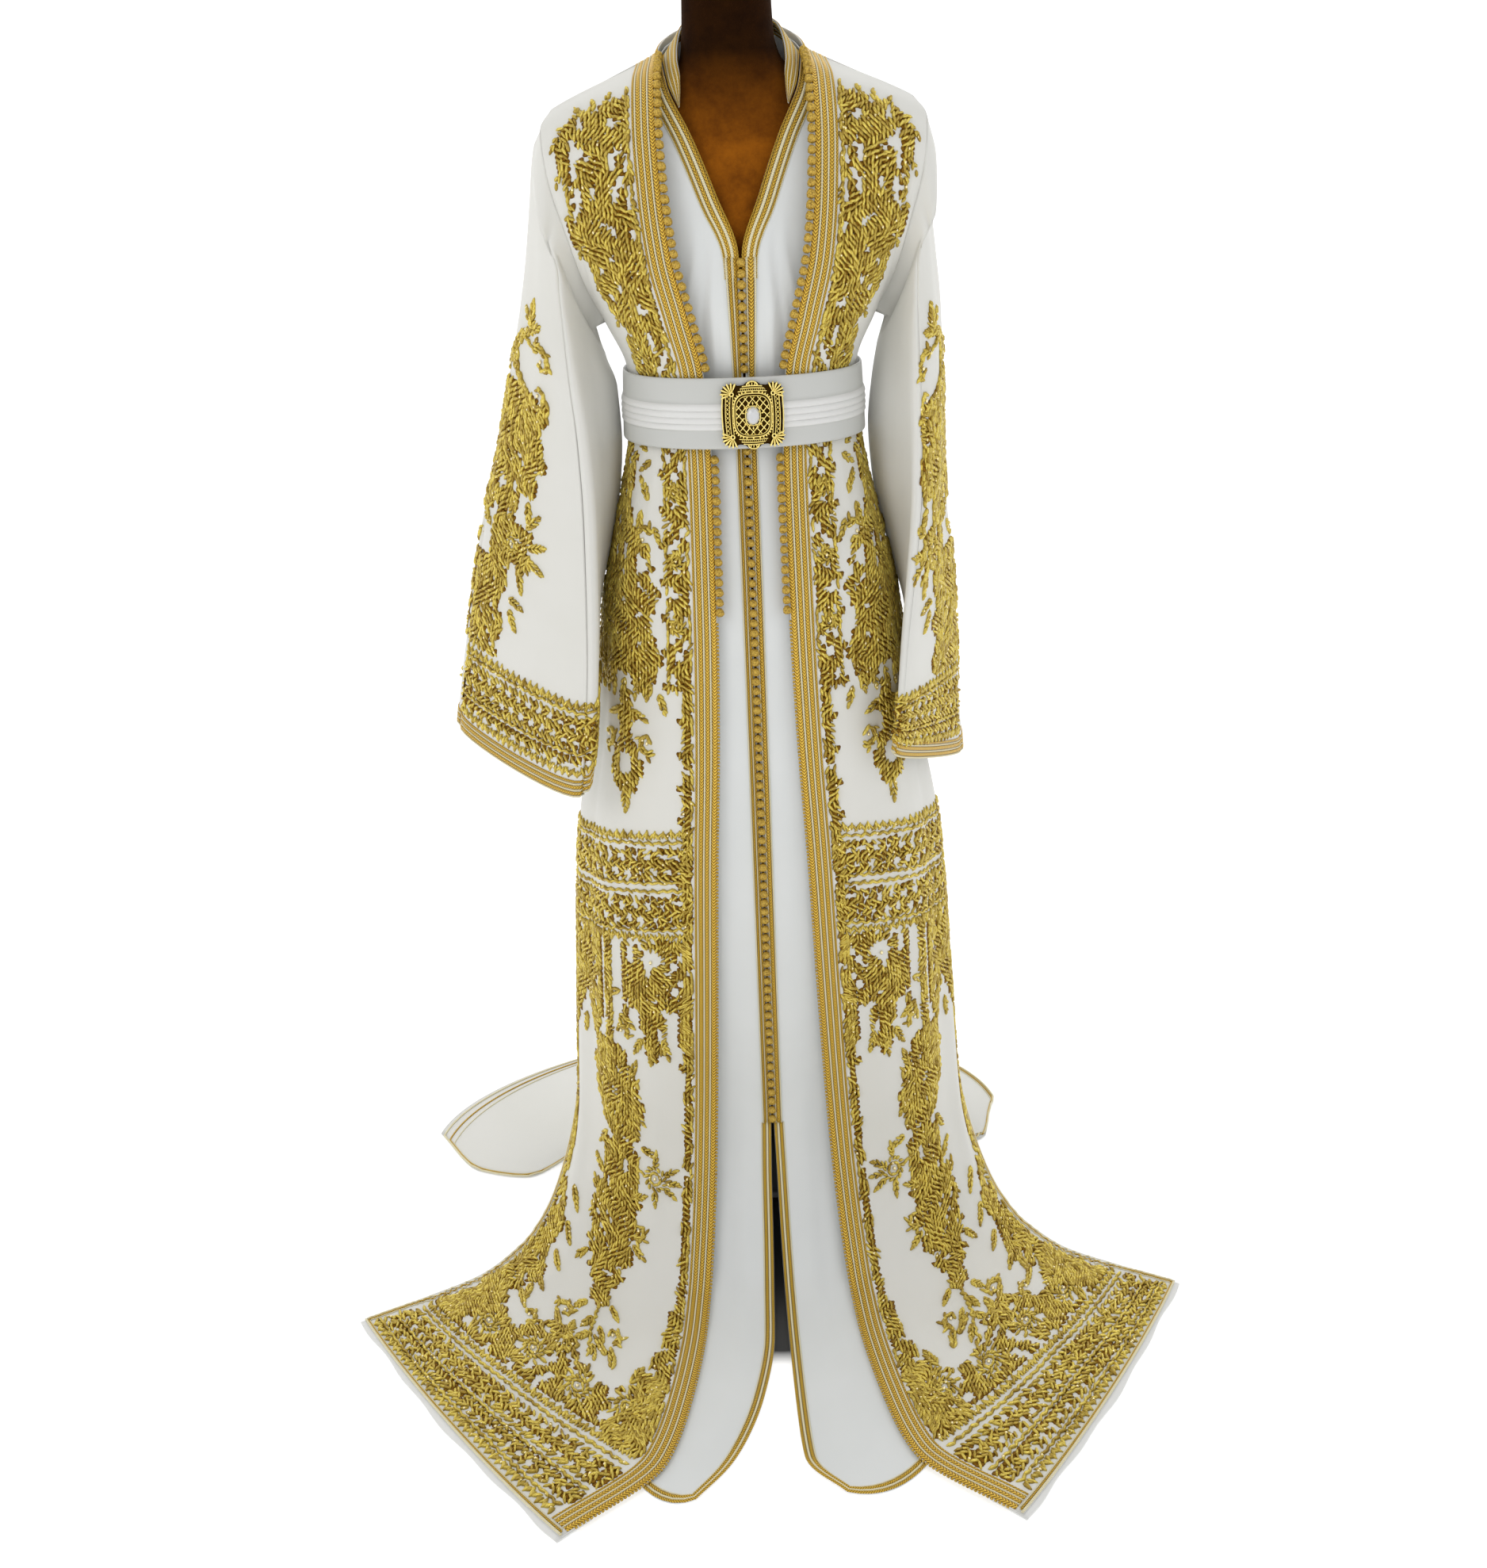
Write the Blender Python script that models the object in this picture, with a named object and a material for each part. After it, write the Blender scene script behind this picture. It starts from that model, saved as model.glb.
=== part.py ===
import math
import bpy
import numpy as np

# A takchita, an open robe over a closed inner dress, on a limbless dress form.
# Front faces -Y, up is +Z, the floor is z = 0, all sizes in metres.
# The closed inner dress lies next to the form, the open robe over it, the belt round both.
for item in list(bpy.data.objects):
    bpy.data.objects.remove(item, do_unlink=True)

garment = bpy.data.collections.new("takchita")
bpy.context.scene.collection.children.link(garment)

WALL_ROBE = 0.0016
WALL_INNER = 0.0012
LIFT = 0.00040
BRAID_WIDTH = 0.028
BRAID_THICK = 0.0016
CORD_WIDTH = 0.009
BEAD_PITCH = 0.0117
BEAD_RADIUS = 0.0047
FLOOR_ROBE = 0.0034
BELT_LOW = 1.0250
BELT_HIGH = 1.1050


def colour(name, rgb, rough, metal):
    mat = bpy.data.materials.new(name)
    mat.use_nodes = True
    shader = mat.node_tree.nodes["Principled BSDF"]
    shader.inputs["Base Color"].default_value = (rgb[0], rgb[1], rgb[2], 1.0)
    shader.inputs["Roughness"].default_value = rough
    shader.inputs["Metallic"].default_value = metal
    mat.diffuse_color = (rgb[0], rgb[1], rgb[2], 1.0)
    return mat


ivory = colour("robe_silk", (0.86, 0.84, 0.76), 0.55, 0.0)
white = colour("inner_satin", (0.80, 0.82, 0.85), 0.5, 0.0)
gold = colour("gold_braid", (0.55, 0.36, 0.08), 0.45, 0.3)
knots = colour("gold_buttons", (0.50, 0.31, 0.06), 0.5, 0.3)
suede = colour("form_suede", (0.16, 0.06, 0.02), 0.9, 0.0)
steel = colour("stand_steel", (0.12, 0.12, 0.12), 0.4, 1.0)
satin = colour("belt_satin", (0.78, 0.79, 0.80), 0.45, 0.0)
brass = colour("buckle_brass", (0.62, 0.45, 0.12), 0.3, 1.0)
clear = colour("crystal_clear", (0.9, 0.93, 0.95), 0.05, 0.0)


def put(name, verts, faces, mat):
    mesh = bpy.data.meshes.new(name)
    mesh.from_pydata([tuple(float(c) for c in p) for p in verts], [], faces)
    mesh.validate()
    # every sub-part has a material of its own
    own = mat.copy()
    own.name = name
    mesh.materials.append(own)
    thing = bpy.data.objects.new(name, mesh)
    garment.objects.link(thing)
    for poly in mesh.polygons:
        poly.use_smooth = True
    # the signed volume tells whether the faces look outward
    total = 0.0
    for face in faces:
        a = np.array(verts[face[0]])
        for k in range(1, len(face) - 1):
            b = np.array(verts[face[k]])
            c = np.array(verts[face[k + 1]])
            total += float(np.dot(a, np.cross(b, c)))
    if total < 0.0:
        mesh.flip_normals()
    return thing


# Smooth value of every column of a table at height index t, with no overshoot.
def row_at(table, t):
    last = len(table) - 1
    t = min(max(t, 0.0), float(last))
    k = min(int(t), last - 1)
    f = t - k
    out = []
    for c in range(len(table[0])):
        y0 = table[k][c]
        y1 = table[k + 1][c]
        d1 = y1 - y0
        d0 = y0 - table[k - 1][c] if k > 0 else d1
        d2 = table[k + 2][c] - y1 if k + 2 <= last else d1
        m0 = 2.0 * d0 * d1 / (d0 + d1) if d0 * d1 > 0.0 else 0.0
        m1 = 2.0 * d1 * d2 / (d1 + d2) if d1 * d2 > 0.0 else 0.0
        if k == 0:
            m0 = d1
        if k + 1 == last:
            m1 = d1
        h = f * f * (3.0 - 2.0 * f)
        out.append(y0 + d1 * h + m0 * f * (1.0 - f) ** 2 - m1 * f * f * (1.0 - f))
    return out


# Cloth between a front rail and a side rail: bow 1 is a quarter ellipse, bow 0 a straight line.
def between(front, side, bow, u):
    mid_x = 0.5 * (front[0] + side[0])
    mid_y = 0.5 * (front[1] + side[1])
    cen_x = mid_x + bow * (front[0] - mid_x)
    cen_y = mid_y + bow * (side[1] - mid_y)
    a = 0.5 * math.pi * u
    x = cen_x + (front[0] - cen_x) * math.cos(a) + (side[0] - cen_x) * math.sin(a)
    y = cen_y + (front[1] - cen_y) * math.cos(a) + (side[1] - cen_y) * math.sin(a)
    return x, y


# Robe front, right side: z, x, y of the front edge, then z, x, y of the side edge, then bow.
ROBE_FRONT = [
    (1.4490, 0.0820, 0.0120, 1.3940, 0.2060, 0.0040, 0.00),
    (1.4250, 0.0860, -0.0400, 1.3720, 0.2180, -0.0220, 0.25),
    (1.3750, 0.0870, -0.0780, 1.3250, 0.2130, -0.0460, 0.45),
    (1.3100, 0.0845, -0.1020, 1.2620, 0.1960, -0.0520, 0.60),
    (1.2400, 0.0770, -0.1200, 1.2050, 0.1790, -0.0270, 0.85),
    (1.1720, 0.0610, -0.1275, 1.1600, 0.1600, -0.0002, 0.97),
    (1.1100, 0.0470, -0.1150, 1.1050, 0.1370, -0.0002, 0.94),
    (1.0580, 0.0430, -0.1090, 1.0580, 0.1340, -0.0002, 0.94),
    (0.9950, 0.0415, -0.1150, 0.9950, 0.1440, -0.0002, 0.96),
    (0.8300, 0.0435, -0.1480, 0.8300, 0.1830, -0.0002, 1.00),
    (0.6750, 0.0485, -0.1630, 0.6750, 0.2060, -0.0002, 1.00),
    (0.5150, 0.0570, -0.1780, 0.5150, 0.2370, -0.0002, 0.95),
    (0.3500, 0.0640, -0.1900, 0.3500, 0.2510, -0.0002, 0.90),
    (0.2000, 0.0710, -0.2100, 0.2150, 0.2600, -0.0120, 0.85),
    (0.1050, 0.0770, -0.2450, 0.1200, 0.2660, -0.0450, 0.80),
    (0.0450, 0.0830, -0.3000, 0.0550, 0.2820, -0.1000, 0.70),
    (0.0110, 0.0890, -0.3600, 0.0150, 0.3060, -0.1650, 0.55),
    (FLOOR_ROBE, 0.0955, -0.4300, FLOOR_ROBE, 0.3350, -0.2250, 0.45),
    (FLOOR_ROBE, 0.1100, -0.5250, FLOOR_ROBE, 0.3760, -0.2820, 0.30),
    (FLOOR_ROBE, 0.1370, -0.6250, FLOOR_ROBE, 0.4360, -0.3210, 0.20),
    (FLOOR_ROBE, 0.2430, -0.7210, FLOOR_ROBE, 0.5080, -0.3600, 0.11),
]

# Robe back, right half: z, y of the centre back, then z, x, y of the side edge, then bow.
ROBE_BACK = [
    (1.4850, 0.0680, 1.3940, 0.2060, 0.0044, 0.30),
    (1.4140, 0.0840, 1.3720, 0.2180, 0.0300, 0.50),
    (1.3600, 0.0960, 1.3250, 0.2130, 0.0500, 0.60),
    (1.2900, 0.1060, 1.2620, 0.1960, 0.0560, 0.70),
    (1.2250, 0.1080, 1.2050, 0.1790, 0.0310, 0.90),
    (1.1600, 0.1010, 1.1600, 0.1600, 0.0002, 0.98),
    (1.1050, 0.0940, 1.1050, 0.1370, 0.0002, 0.97),
    (1.0580, 0.0930, 1.0580, 0.1340, 0.0002, 0.97),
    (0.9950, 0.1030, 0.9950, 0.1440, 0.0002, 0.97),
    (0.8300, 0.1380, 0.8300, 0.1830, 0.0002, 1.00),
    (0.6750, 0.1520, 0.6750, 0.2060, 0.0002, 1.00),
    (0.5150, 0.1640, 0.5150, 0.2370, 0.0002, 0.98),
    (0.3500, 0.1780, 0.3500, 0.2510, 0.0002, 0.96),
    (0.2150, 0.1950, 0.2150, 0.2600, 0.0050, 0.95),
    (0.1000, 0.2160, 0.1000, 0.2660, 0.0060, 0.95),
    (0.0260, 0.2400, 0.0260, 0.2760, -0.0100, 0.95),
    (0.0000, 0.2700, 0.0000, 0.2950, -0.0300, 0.95),
]
# The last rows of the back lie on the floor and differ at the two sides: centre y, x, y, bow.
BACK_TRAIN_LEFT = [
    (0.2850, 0.3450, -0.0700, 0.95),
    (0.3000, 0.4150, -0.0500, 0.90),
    (0.3200, 0.4840, 0.0500, 0.80),
]
BACK_TRAIN_RIGHT = [
    (0.2850, 0.3100, -0.0200, 0.95),
    (0.3000, 0.3250, 0.0350, 0.90),
    (0.3200, 0.3400, 0.0850, 0.80),
]

# Inner dress front, both sides: z, y of the front edge, its x left and right, then side z, x, y, bow.
INNER_FRONT = [
    (1.4440, 0.0110, 0.0795, 0.0795, 1.3870, 0.1970, 0.0030, 0.00),
    (1.4120, -0.0450, 0.0725, 0.0725, 1.3660, 0.2080, -0.0200, 0.25),
    (1.3600, -0.0710, 0.0475, 0.0475, 1.3190, 0.2040, -0.0410, 0.50),
    (1.3000, -0.0940, 0.0235, 0.0235, 1.2570, 0.1880, -0.0460, 0.70),
    (1.2350, -0.1115, 0.0015, 0.0015, 1.2000, 0.1710, -0.0220, 0.90),
    (1.1720, -0.1195, 0.0015, 0.0015, 1.1600, 0.1520, -0.0002, 0.95),
    (1.1100, -0.1080, 0.0015, 0.0015, 1.1050, 0.1300, -0.0002, 0.95),
    (1.0580, -0.1020, 0.0015, 0.0015, 1.0580, 0.1270, -0.0002, 0.95),
    (0.9950, -0.1080, 0.0015, 0.0015, 0.9950, 0.1370, -0.0002, 0.96),
    (0.8300, -0.1405, 0.0015, 0.0015, 0.8300, 0.1755, -0.0002, 1.00),
    (0.6750, -0.1555, 0.0015, 0.0015, 0.6750, 0.1985, -0.0002, 1.00),
    (0.5150, -0.1705, 0.0015, 0.0015, 0.5150, 0.2280, -0.0002, 0.98),
    (0.3500, -0.1825, 0.0015, 0.0015, 0.3500, 0.2420, -0.0002, 0.96),
    (0.2000, -0.2025, 0.0015, 0.0015, 0.2000, 0.2480, -0.0002, 0.95),
    (0.1050, -0.2370, 0.0040, 0.0030, 0.1050, 0.2490, -0.0020, 0.95),
    (0.0450, -0.2920, 0.0060, 0.0040, 0.0450, 0.2500, -0.0030, 0.95),
    (0.0100, -0.3530, 0.0085, 0.0050, 0.0100, 0.2500, -0.0040, 0.95),
    (0.0000, -0.4300, 0.0115, 0.0060, 0.0000, 0.2505, -0.0060, 0.95),
    (0.0000, -0.5300, 0.0290, 0.0080, 0.0000, 0.2510, -0.0080, 1.02),
    (0.0000, -0.6200, 0.0640, 0.0130, 0.0000, 0.2515, -0.0100, 1.14),
    (0.0000, -0.6740, 0.1080, 0.0560, 0.0000, 0.2520, -0.0120, 1.26),
]

# Inner dress back, right half: z, y of the centre back, then z, x, y of the side edge, then bow.
INNER_BACK = [
    (1.4760, 0.0610, 1.3870, 0.1970, 0.0034, 0.30),
    (1.4080, 0.0770, 1.3660, 0.2080, 0.0220, 0.50),
    (1.3550, 0.0880, 1.3190, 0.2040, 0.0430, 0.60),
    (1.2850, 0.0980, 1.2570, 0.1880, 0.0480, 0.70),
    (1.2200, 0.1000, 1.2000, 0.1710, 0.0240, 0.90),
    (1.1600, 0.0930, 1.1600, 0.1520, 0.0002, 0.97),
    (1.1050, 0.0860, 1.1050, 0.1300, 0.0002, 0.96),
    (1.0580, 0.0850, 1.0580, 0.1270, 0.0002, 0.96),
    (0.9950, 0.0950, 0.9950, 0.1370, 0.0002, 0.96),
    (0.8300, 0.1300, 0.8300, 0.1755, 0.0002, 1.00),
    (0.6750, 0.1440, 0.6750, 0.1985, 0.0002, 1.00),
    (0.5150, 0.1560, 0.5150, 0.2280, 0.0002, 0.98),
    (0.3500, 0.1690, 0.3500, 0.2420, 0.0002, 0.96),
    (0.2000, 0.1820, 0.2000, 0.2480, 0.0002, 0.95),
    (0.1050, 0.1900, 0.1050, 0.2490, 0.0002, 0.95),
    (0.0450, 0.1990, 0.0450, 0.2500, 0.0002, 0.95),
    (0.0000, 0.2120, 0.0000, 0.2505, 0.0002, 0.95),
]

# Main ridges of the robe fronts: u where it starts, u where it ends, height, width, from row, to row.
ROBE_FOLDS = [
    (0.60, 0.50, 0.0050, 0.10, 7.0, 15.5),
    (0.86, 0.80, 0.0060, 0.07, 10.3, 16.5),
    (0.34, 0.30, 0.0035, 0.07, 11.0, 17.0),
    (0.48, 0.56, 0.0030, 0.06, 16.0, 20.0),
]
BACK_FOLDS = [
    (0.22, 0.25, 0.0070, 0.08, 7.0, 16.5),
    (0.55, 0.52, 0.0080, 0.08, 7.5, 16.5),
    (0.82, 0.80, 0.0060, 0.06, 10.3, 16.0),
]
INNER_FOLDS = [
    (0.17, 0.22, 0.0030, 0.035, 9.0, 17.5),
    (0.30, 0.36, 0.0035, 0.045, 10.0, 19.5),
]


def ridges(table, u, t):
    total = 0.0
    for start, end, high, wide, first, last in table:
        if first < t < last:
            f = (t - first) / (last - first)
            centre = start + (end - start) * f
            total += high * math.sin(math.pi * f) ** 0.8 * math.exp(-((u - centre) / wide) ** 2)
    return total


def robe_front_point(side, u, t):
    zf, xf, yf, zs, xs, ys, bow = row_at(ROBE_FRONT, t)
    x, y = between((xf, yf), (xs, ys), bow, u)
    z = zf + (zs - zf) * u
    # the left corner lies a little further out than the right one
    spread = max(0.0, (t - 14.0) / 6.0)
    reach = 1.0 + (0.026 * spread if side < 0 else -0.026 * spread)
    return np.array([side * x * reach, y, z])


def inner_front_point(side, u, t):
    zf, yf, left, right, zs, xs, ys, bow = row_at(INNER_FRONT, t)
    xf = left if side < 0 else right
    x, y = between((xf, yf), (xs, ys), bow, u)
    z = zf + (zs - zf) * u
    return np.array([side * x, y, z])


def back_point(table, neck, u, t):
    side = -1.0 if u < 0 else 1.0
    a = abs(u)
    zb, yb, zs, xs, ys, bow = row_at(table, t)
    x, y = between((0.0, yb), (xs, ys), bow, a)
    z = zb + (zs - zb) * a
    point = np.array([side * x, y, z])
    # the top edge runs round the neck and then along the shoulder seam
    if t < 1.0:
        neck_x, neck_y, neck_z = neck
        if a < 0.4:
            c = 0.5 * math.pi * a / 0.4
            px = neck_x * math.sin(c)
            py = neck_y + (table[0][1] - neck_y) * math.cos(c)
            top = np.array([side * px, py, neck_z + (table[0][0] - neck_z) * math.cos(c)])
        else:
            f = (a - 0.4) / 0.6
            top = np.array([side * (neck_x + (table[0][3] - neck_x) * f),
                            neck_y + (table[0][4] - neck_y) * f,
                            neck_z + (table[0][2] - neck_z) * f])
        blend = t * t * (3.0 - 2.0 * t)
        point = top * (1.0 - blend) + point * blend
    return point


def robe_back_point(u, t):
    train = BACK_TRAIN_LEFT if u < 0 else BACK_TRAIN_RIGHT
    table = ROBE_BACK + [(0.0, r[0], 0.0, r[1], r[2], r[3]) for r in train]
    return back_point(table, (0.0820, 0.0124, 1.4490), u, t)


def inner_back_point(u, t):
    return back_point(INNER_BACK, (0.0795, 0.0114, 1.4440), u, t)


# Points and outward normals of a cloth grid; flip is -1 where the plain cross product looks inward.
def cloth_grid(point, folds, us_of, ts, flip):
    base = []
    norm = []
    e = 0.004
    for t in ts:
        base_row = []
        norm_row = []
        for u in us_of(t):
            pu = point(u + e, t) - point(u - e, t)
            ahead = 0.02 if t > 0.2 else 0.3
            pv = point(u, t + ahead) - point(u, max(t - 0.02, 0.0))
            n = np.cross(pu, pv) * flip
            n = n / max(np.linalg.norm(n), 1e-12)
            p = point(u, t)
            if p[2] < FLOOR_ROBE + 0.0005 and t > 12:
                n = np.array([0.0, 0.0, 1.0])
            base_row.append(p + n * ridges(folds, abs(u), t))
            norm_row.append(n)
        base.append(base_row)
        norm.append(norm_row)
    return np.array(base), np.array(norm)


# A closed wall between the base points and the same points moved out, one body with open hollows.
def cloth_wall(name, base, norm, thick, mat, ring=False):
    rows, cols = base.shape[0], base.shape[1]
    outer = base + norm * thick[..., None]
    outer[..., 2] = np.maximum(outer[..., 2], 0.0003)
    verts = list(base.reshape(-1, 3)) + list(outer.reshape(-1, 3))
    shift = rows * cols
    faces = []

    def at(j, i):
        return j * cols + (i % cols if ring else i)

    wide = cols if ring else cols - 1
    for j in range(rows - 1):
        for i in range(wide):
            a, b, c, d = at(j, i), at(j, i + 1), at(j + 1, i + 1), at(j + 1, i)
            faces += [(a + shift, b + shift, c + shift), (a + shift, c + shift, d + shift)]
            faces += [(a, c, b), (a, d, c)]
    for i in range(wide):
        a, b = at(0, i), at(0, i + 1)
        faces += [(a, b, b + shift), (a, b + shift, a + shift)]
        a, b = at(rows - 1, i), at(rows - 1, i + 1)
        faces += [(b, a, a + shift), (b, a + shift, b + shift)]
    if not ring:
        for j in range(rows - 1):
            a, b = at(j, 0), at(j + 1, 0)
            faces += [(b, a, a + shift), (b, a + shift, b + shift)]
            a, b = at(j, cols - 1), at(j + 1, cols - 1)
            faces += [(a, b, b + shift), (a, b + shift, a + shift)]
    put(name, verts, faces, mat)
    return outer


# A strip between two edges of points, its top raised by the profile (share across, height).
def strip(name, edge_a, edge_b, norm_a, norm_b, profile, mat, closed=False, lift=LIFT):
    loops = []
    for a, b, na, nb in zip(edge_a, edge_b, norm_a, norm_b):
        loop = [a + na * lift, b + nb * lift]
        for share, high in reversed(profile):
            n = na * (1.0 - share) + nb * share
            loop.append(a * (1.0 - share) + b * share + n * (lift + high))
        loops.append(loop)
    count = len(loops[0])
    verts = [p for loop in loops for p in loop]
    faces = []
    pairs = len(loops) if closed else len(loops) - 1
    for j in range(pairs):
        k = (j + 1) % len(loops)
        for i in range(count):
            a = j * count + i
            b = j * count + (i + 1) % count
            c = k * count + (i + 1) % count
            d = k * count + i
            # the top is split along the same diagonal as the cloth below it
            if i == 0:
                faces += [(a, b, c), (a, c, d)]
            else:
                faces += [(a, b, d), (b, c, d)]
    if not closed:
        faces.append(tuple(reversed(range(count))))
        faces.append(tuple(range((len(loops) - 1) * count, len(loops) * count)))
    put(name, verts, faces, mat)


BRAID_PROFILE = [(0.0, 0.0011), (0.05, 0.0018), (0.95, 0.0018), (1.0, 0.0010)]
BRAID_SHORT = [(0.0, 0.0010), (0.45, 0.0018), (0.55, 0.0011), (1.0, 0.0012)]
CORD_PROFILE = [(0.0, 0.0006), (0.35, 0.0016), (0.7, 0.0016), (1.0, 0.0007)]
THIN_PROFILE = [(0.0, 0.0006), (0.35, 0.0012), (0.7, 0.0012), (1.0, 0.0007)]


# A row of knotted buttons in one body: wide rings at the knots, narrow ones between.
def bead_row(name, path, outs, radius, thin, mat, sides=4):
    lengths = [0.0]
    for a, b in zip(path[:-1], path[1:]):
        lengths.append(lengths[-1] + float(np.linalg.norm(b - a)))
    count = int(lengths[-1] / BEAD_PITCH)
    step = lengths[-1] / count
    rings = []
    for k in range(2 * count + 1):
        s = min(k * step * 0.5, lengths[-1] - 1e-6)
        seg = 0
        while lengths[seg + 1] < s:
            seg += 1
        f = (s - lengths[seg]) / (lengths[seg + 1] - lengths[seg])
        p = path[seg] * (1.0 - f) + path[seg + 1] * f
        out = outs[seg] * (1.0 - f) + outs[seg + 1] * f
        along = path[seg + 1] - path[seg]
        along = along / np.linalg.norm(along)
        out = out - along * np.dot(out, along)
        out = out / np.linalg.norm(out)
        across = np.cross(along, out)
        hidden = BELT_LOW - 0.006 < p[2] < BELT_HIGH + 0.006
        r = radius if k % 2 and not hidden else thin
        centre = p + out * (r - radius * 0.5 if hidden else 0.0)
        ring = []
        for i in range(sides):
            a = 2.0 * math.pi * (i + 0.5) / sides
            ring.append(centre + (out * math.cos(a) + across * math.sin(a)) * r)
        rings.append(ring)
    verts = [p for ring in rings for p in ring]
    faces = []
    for j in range(len(rings) - 1):
        for i in range(sides):
            a = j * sides + i
            b = j * sides + (i + 1) % sides
            faces += [(a, b, b + sides), (a, b + sides, a + sides)]
    faces.append(tuple(reversed(range(sides))))
    faces.append(tuple(range((len(rings) - 1) * sides, len(rings) * sides)))
    put(name, verts, faces, mat)


# Share of the panel's width that lies a given distance from its front or side edge.
def share_at(point, t, distance, from_side=False):
    u = 1.0 if from_side else 0.0
    step = -0.004 if from_side else 0.004
    gone = 0.0
    last = point(u, t)
    while gone < distance and abs(step) < 1.0:
        u += step
        here = point(u, t)
        gone += float(np.linalg.norm(here - last))
        last = here
    return u


def spaced(first, last, count):
    return [first + (last - first) * k / count for k in range(count + 1)]


# The robe fronts: cloth, the three-strip braid, the button row and the corded hem and vent.
ROBE_TS = (spaced(0.0, 4.0, 6) + spaced(4.0, 7.0, 4)[1:] + spaced(7.0, 13.0, 9)[1:]
           + spaced(13.0, 17.0, 8)[1:] + spaced(17.0, 19.92, 4)[1:] + [20.0])
VENT_ROW = 13.0

# Raised embroidery on a robe front: from row, to row, from share, to share, height.
RAISED_FRONT = [
    (0.5, 6.6, 0.10, 0.62, 0.0012),
    (7.6, 9.6, 0.42, 0.85, 0.0014),
    (7.2, 19.8, 0.12, 0.20, 0.0010),
    (10.6, 11.6, 0.12, 0.92, 0.0014),
    (12.0, 15.5, 0.42, 0.62, 0.0012),
    (18.3, 19.9, 0.12, 0.90, 0.0014),
]


def raised_at(table, u, t):
    best = 0.0
    for first, last, near, far, high in table:
        if first <= t <= last and near <= u <= far:
            best = max(best, high)
    return best


robe_fronts = {}
for side, word in ((-1, "left"), (1, "right")):
    def point(u, t, side=side):
        return robe_front_point(side, u, t)

    def shares(t, point=point):
        near = share_at(point, t, BRAID_WIDTH)
        far = share_at(point, t, CORD_WIDTH, True)
        return [0.0] + spaced(near, far, 7) + [1.0]

    base, norm = cloth_grid(point, ROBE_FOLDS, shares, ROBE_TS, -side)
    thick = np.full(base.shape[:2], WALL_ROBE)
    for j, t in enumerate(ROBE_TS):
        for i, u in enumerate(shares(t)):
            if 1 < i < 8:
                thick[j, i] += raised_at(RAISED_FRONT, u, t)
    outer = cloth_wall("robe_front_" + word, base, norm, thick, ivory)
    robe_fronts[word] = (base, norm, outer)
    # the last braid row stops where the hem cord begins
    rows = len(ROBE_TS) - 1
    strip("robe_front_braid_" + word, outer[:rows, 0], outer[:rows, 1],
          norm[:rows, 0], norm[:rows, 1], BRAID_PROFILE, gold)
    first = min(k for k, t in enumerate(ROBE_TS) if t >= VENT_ROW)
    edge = [outer[j, -1] for j in range(first, rows - 1)] + [outer[rows, -1]]
    back = [outer[j, -2] for j in range(first, rows - 1)] + [outer[rows - 1, -2]]
    na = [norm[j, -1] for j in range(first, rows - 1)] + [norm[rows, -1]]
    nb = [norm[j, -2] for j in range(first, rows - 1)] + [norm[rows - 1, -2]]
    for i in range(7, -1, -1):
        gap = np.array([0.0, -0.0008, 0.0])
        edge.append(outer[rows, i])
        back.append(outer[rows - 1, i] + gap)
        na.append(norm[rows, i])
        nb.append(norm[rows - 1, i])
    strip("robe_front_cord_" + word, edge, back, na, nb, CORD_PROFILE, gold)
    last = min(k for k, t in enumerate(ROBE_TS) if t >= 9.05)
    path = []
    outs = []
    for j in range(1, last):
        inward = base[j, 0] - base[j, 1]
        inward = inward / np.linalg.norm(inward)
        path.append(base[j, 0] + inward * (BEAD_RADIUS * 0.7071 + 0.0004) + norm[j, 0] * 0.0022)
        outs.append(norm[j, 0])
    bead_row("robe_buttons_" + word, path, outs, BEAD_RADIUS, 0.0017, knots)

# The robe back: one panel from side seam to side seam, lying out behind as a short train.
BACK_TS = (spaced(0.0, 1.0, 2) + spaced(1.0, 7.0, 7)[1:] + spaced(7.0, 13.0, 6)[1:]
           + spaced(13.0, 17.0, 6)[1:] + spaced(17.0, 18.9, 3)[1:] + [19.0])
half = [0.14, 0.28, 0.4, 0.55, 0.72, 0.87, 1.0]
half_us = [-u for u in reversed(half)] + [0.0] + half


def robe_back_shares(t):
    return half_us


base, norm = cloth_grid(robe_back_point, BACK_FOLDS, robe_back_shares, BACK_TS, 1.0)
thick = np.full(base.shape[:2], WALL_ROBE)
outer = cloth_wall("robe_back", base, norm, thick, ivory)
mid = len(half)
cols = range(mid - 3, mid + 4)
# up and back together at every column, so that the braid keeps clear of the curved neck
lifted = [0.5 * (norm[0, i] + norm[1, i]) for i in cols]
edge = [outer[0, i] for i in cols]
back = [outer[1, i] for i in cols]
strip("robe_neck_braid", edge, back, lifted, lifted, BRAID_PROFILE, gold, False, 0.0013)

rows = len(BACK_TS) - 1
first = min(k for k, t in enumerate(BACK_TS) if t >= VENT_ROW)
end = len(half_us) - 1


def inset(j, i, toward):
    step = outer[j, toward] - outer[j, i]
    return outer[j, i] + step / np.linalg.norm(step) * CORD_WIDTH


edge = []
back = []
na = []
nb = []
for j in range(first, rows - 1):
    edge.append(outer[j, 0])
    back.append(inset(j, 0, 1))
    na.append(norm[j, 0])
    nb.append(norm[j, 0])
for i in range(0, end + 1):
    if i in (1, end - 1):
        continue
    edge.append(outer[rows, i])
    if i == 0:
        back.append(inset(rows - 1, 0, 1))
    elif i == end:
        back.append(inset(rows - 1, end, end - 1))
    else:
        back.append(outer[rows - 1, i])
    na.append(norm[rows, i])
    nb.append(norm[rows - 1, i])
for j in range(rows - 2, first - 1, -1):
    edge.append(outer[j, end])
    back.append(inset(j, end, end - 1))
    na.append(norm[j, end])
    nb.append(norm[j, end])
strip("robe_back_cord", edge, back, na, nb, CORD_PROFILE, gold)

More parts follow.
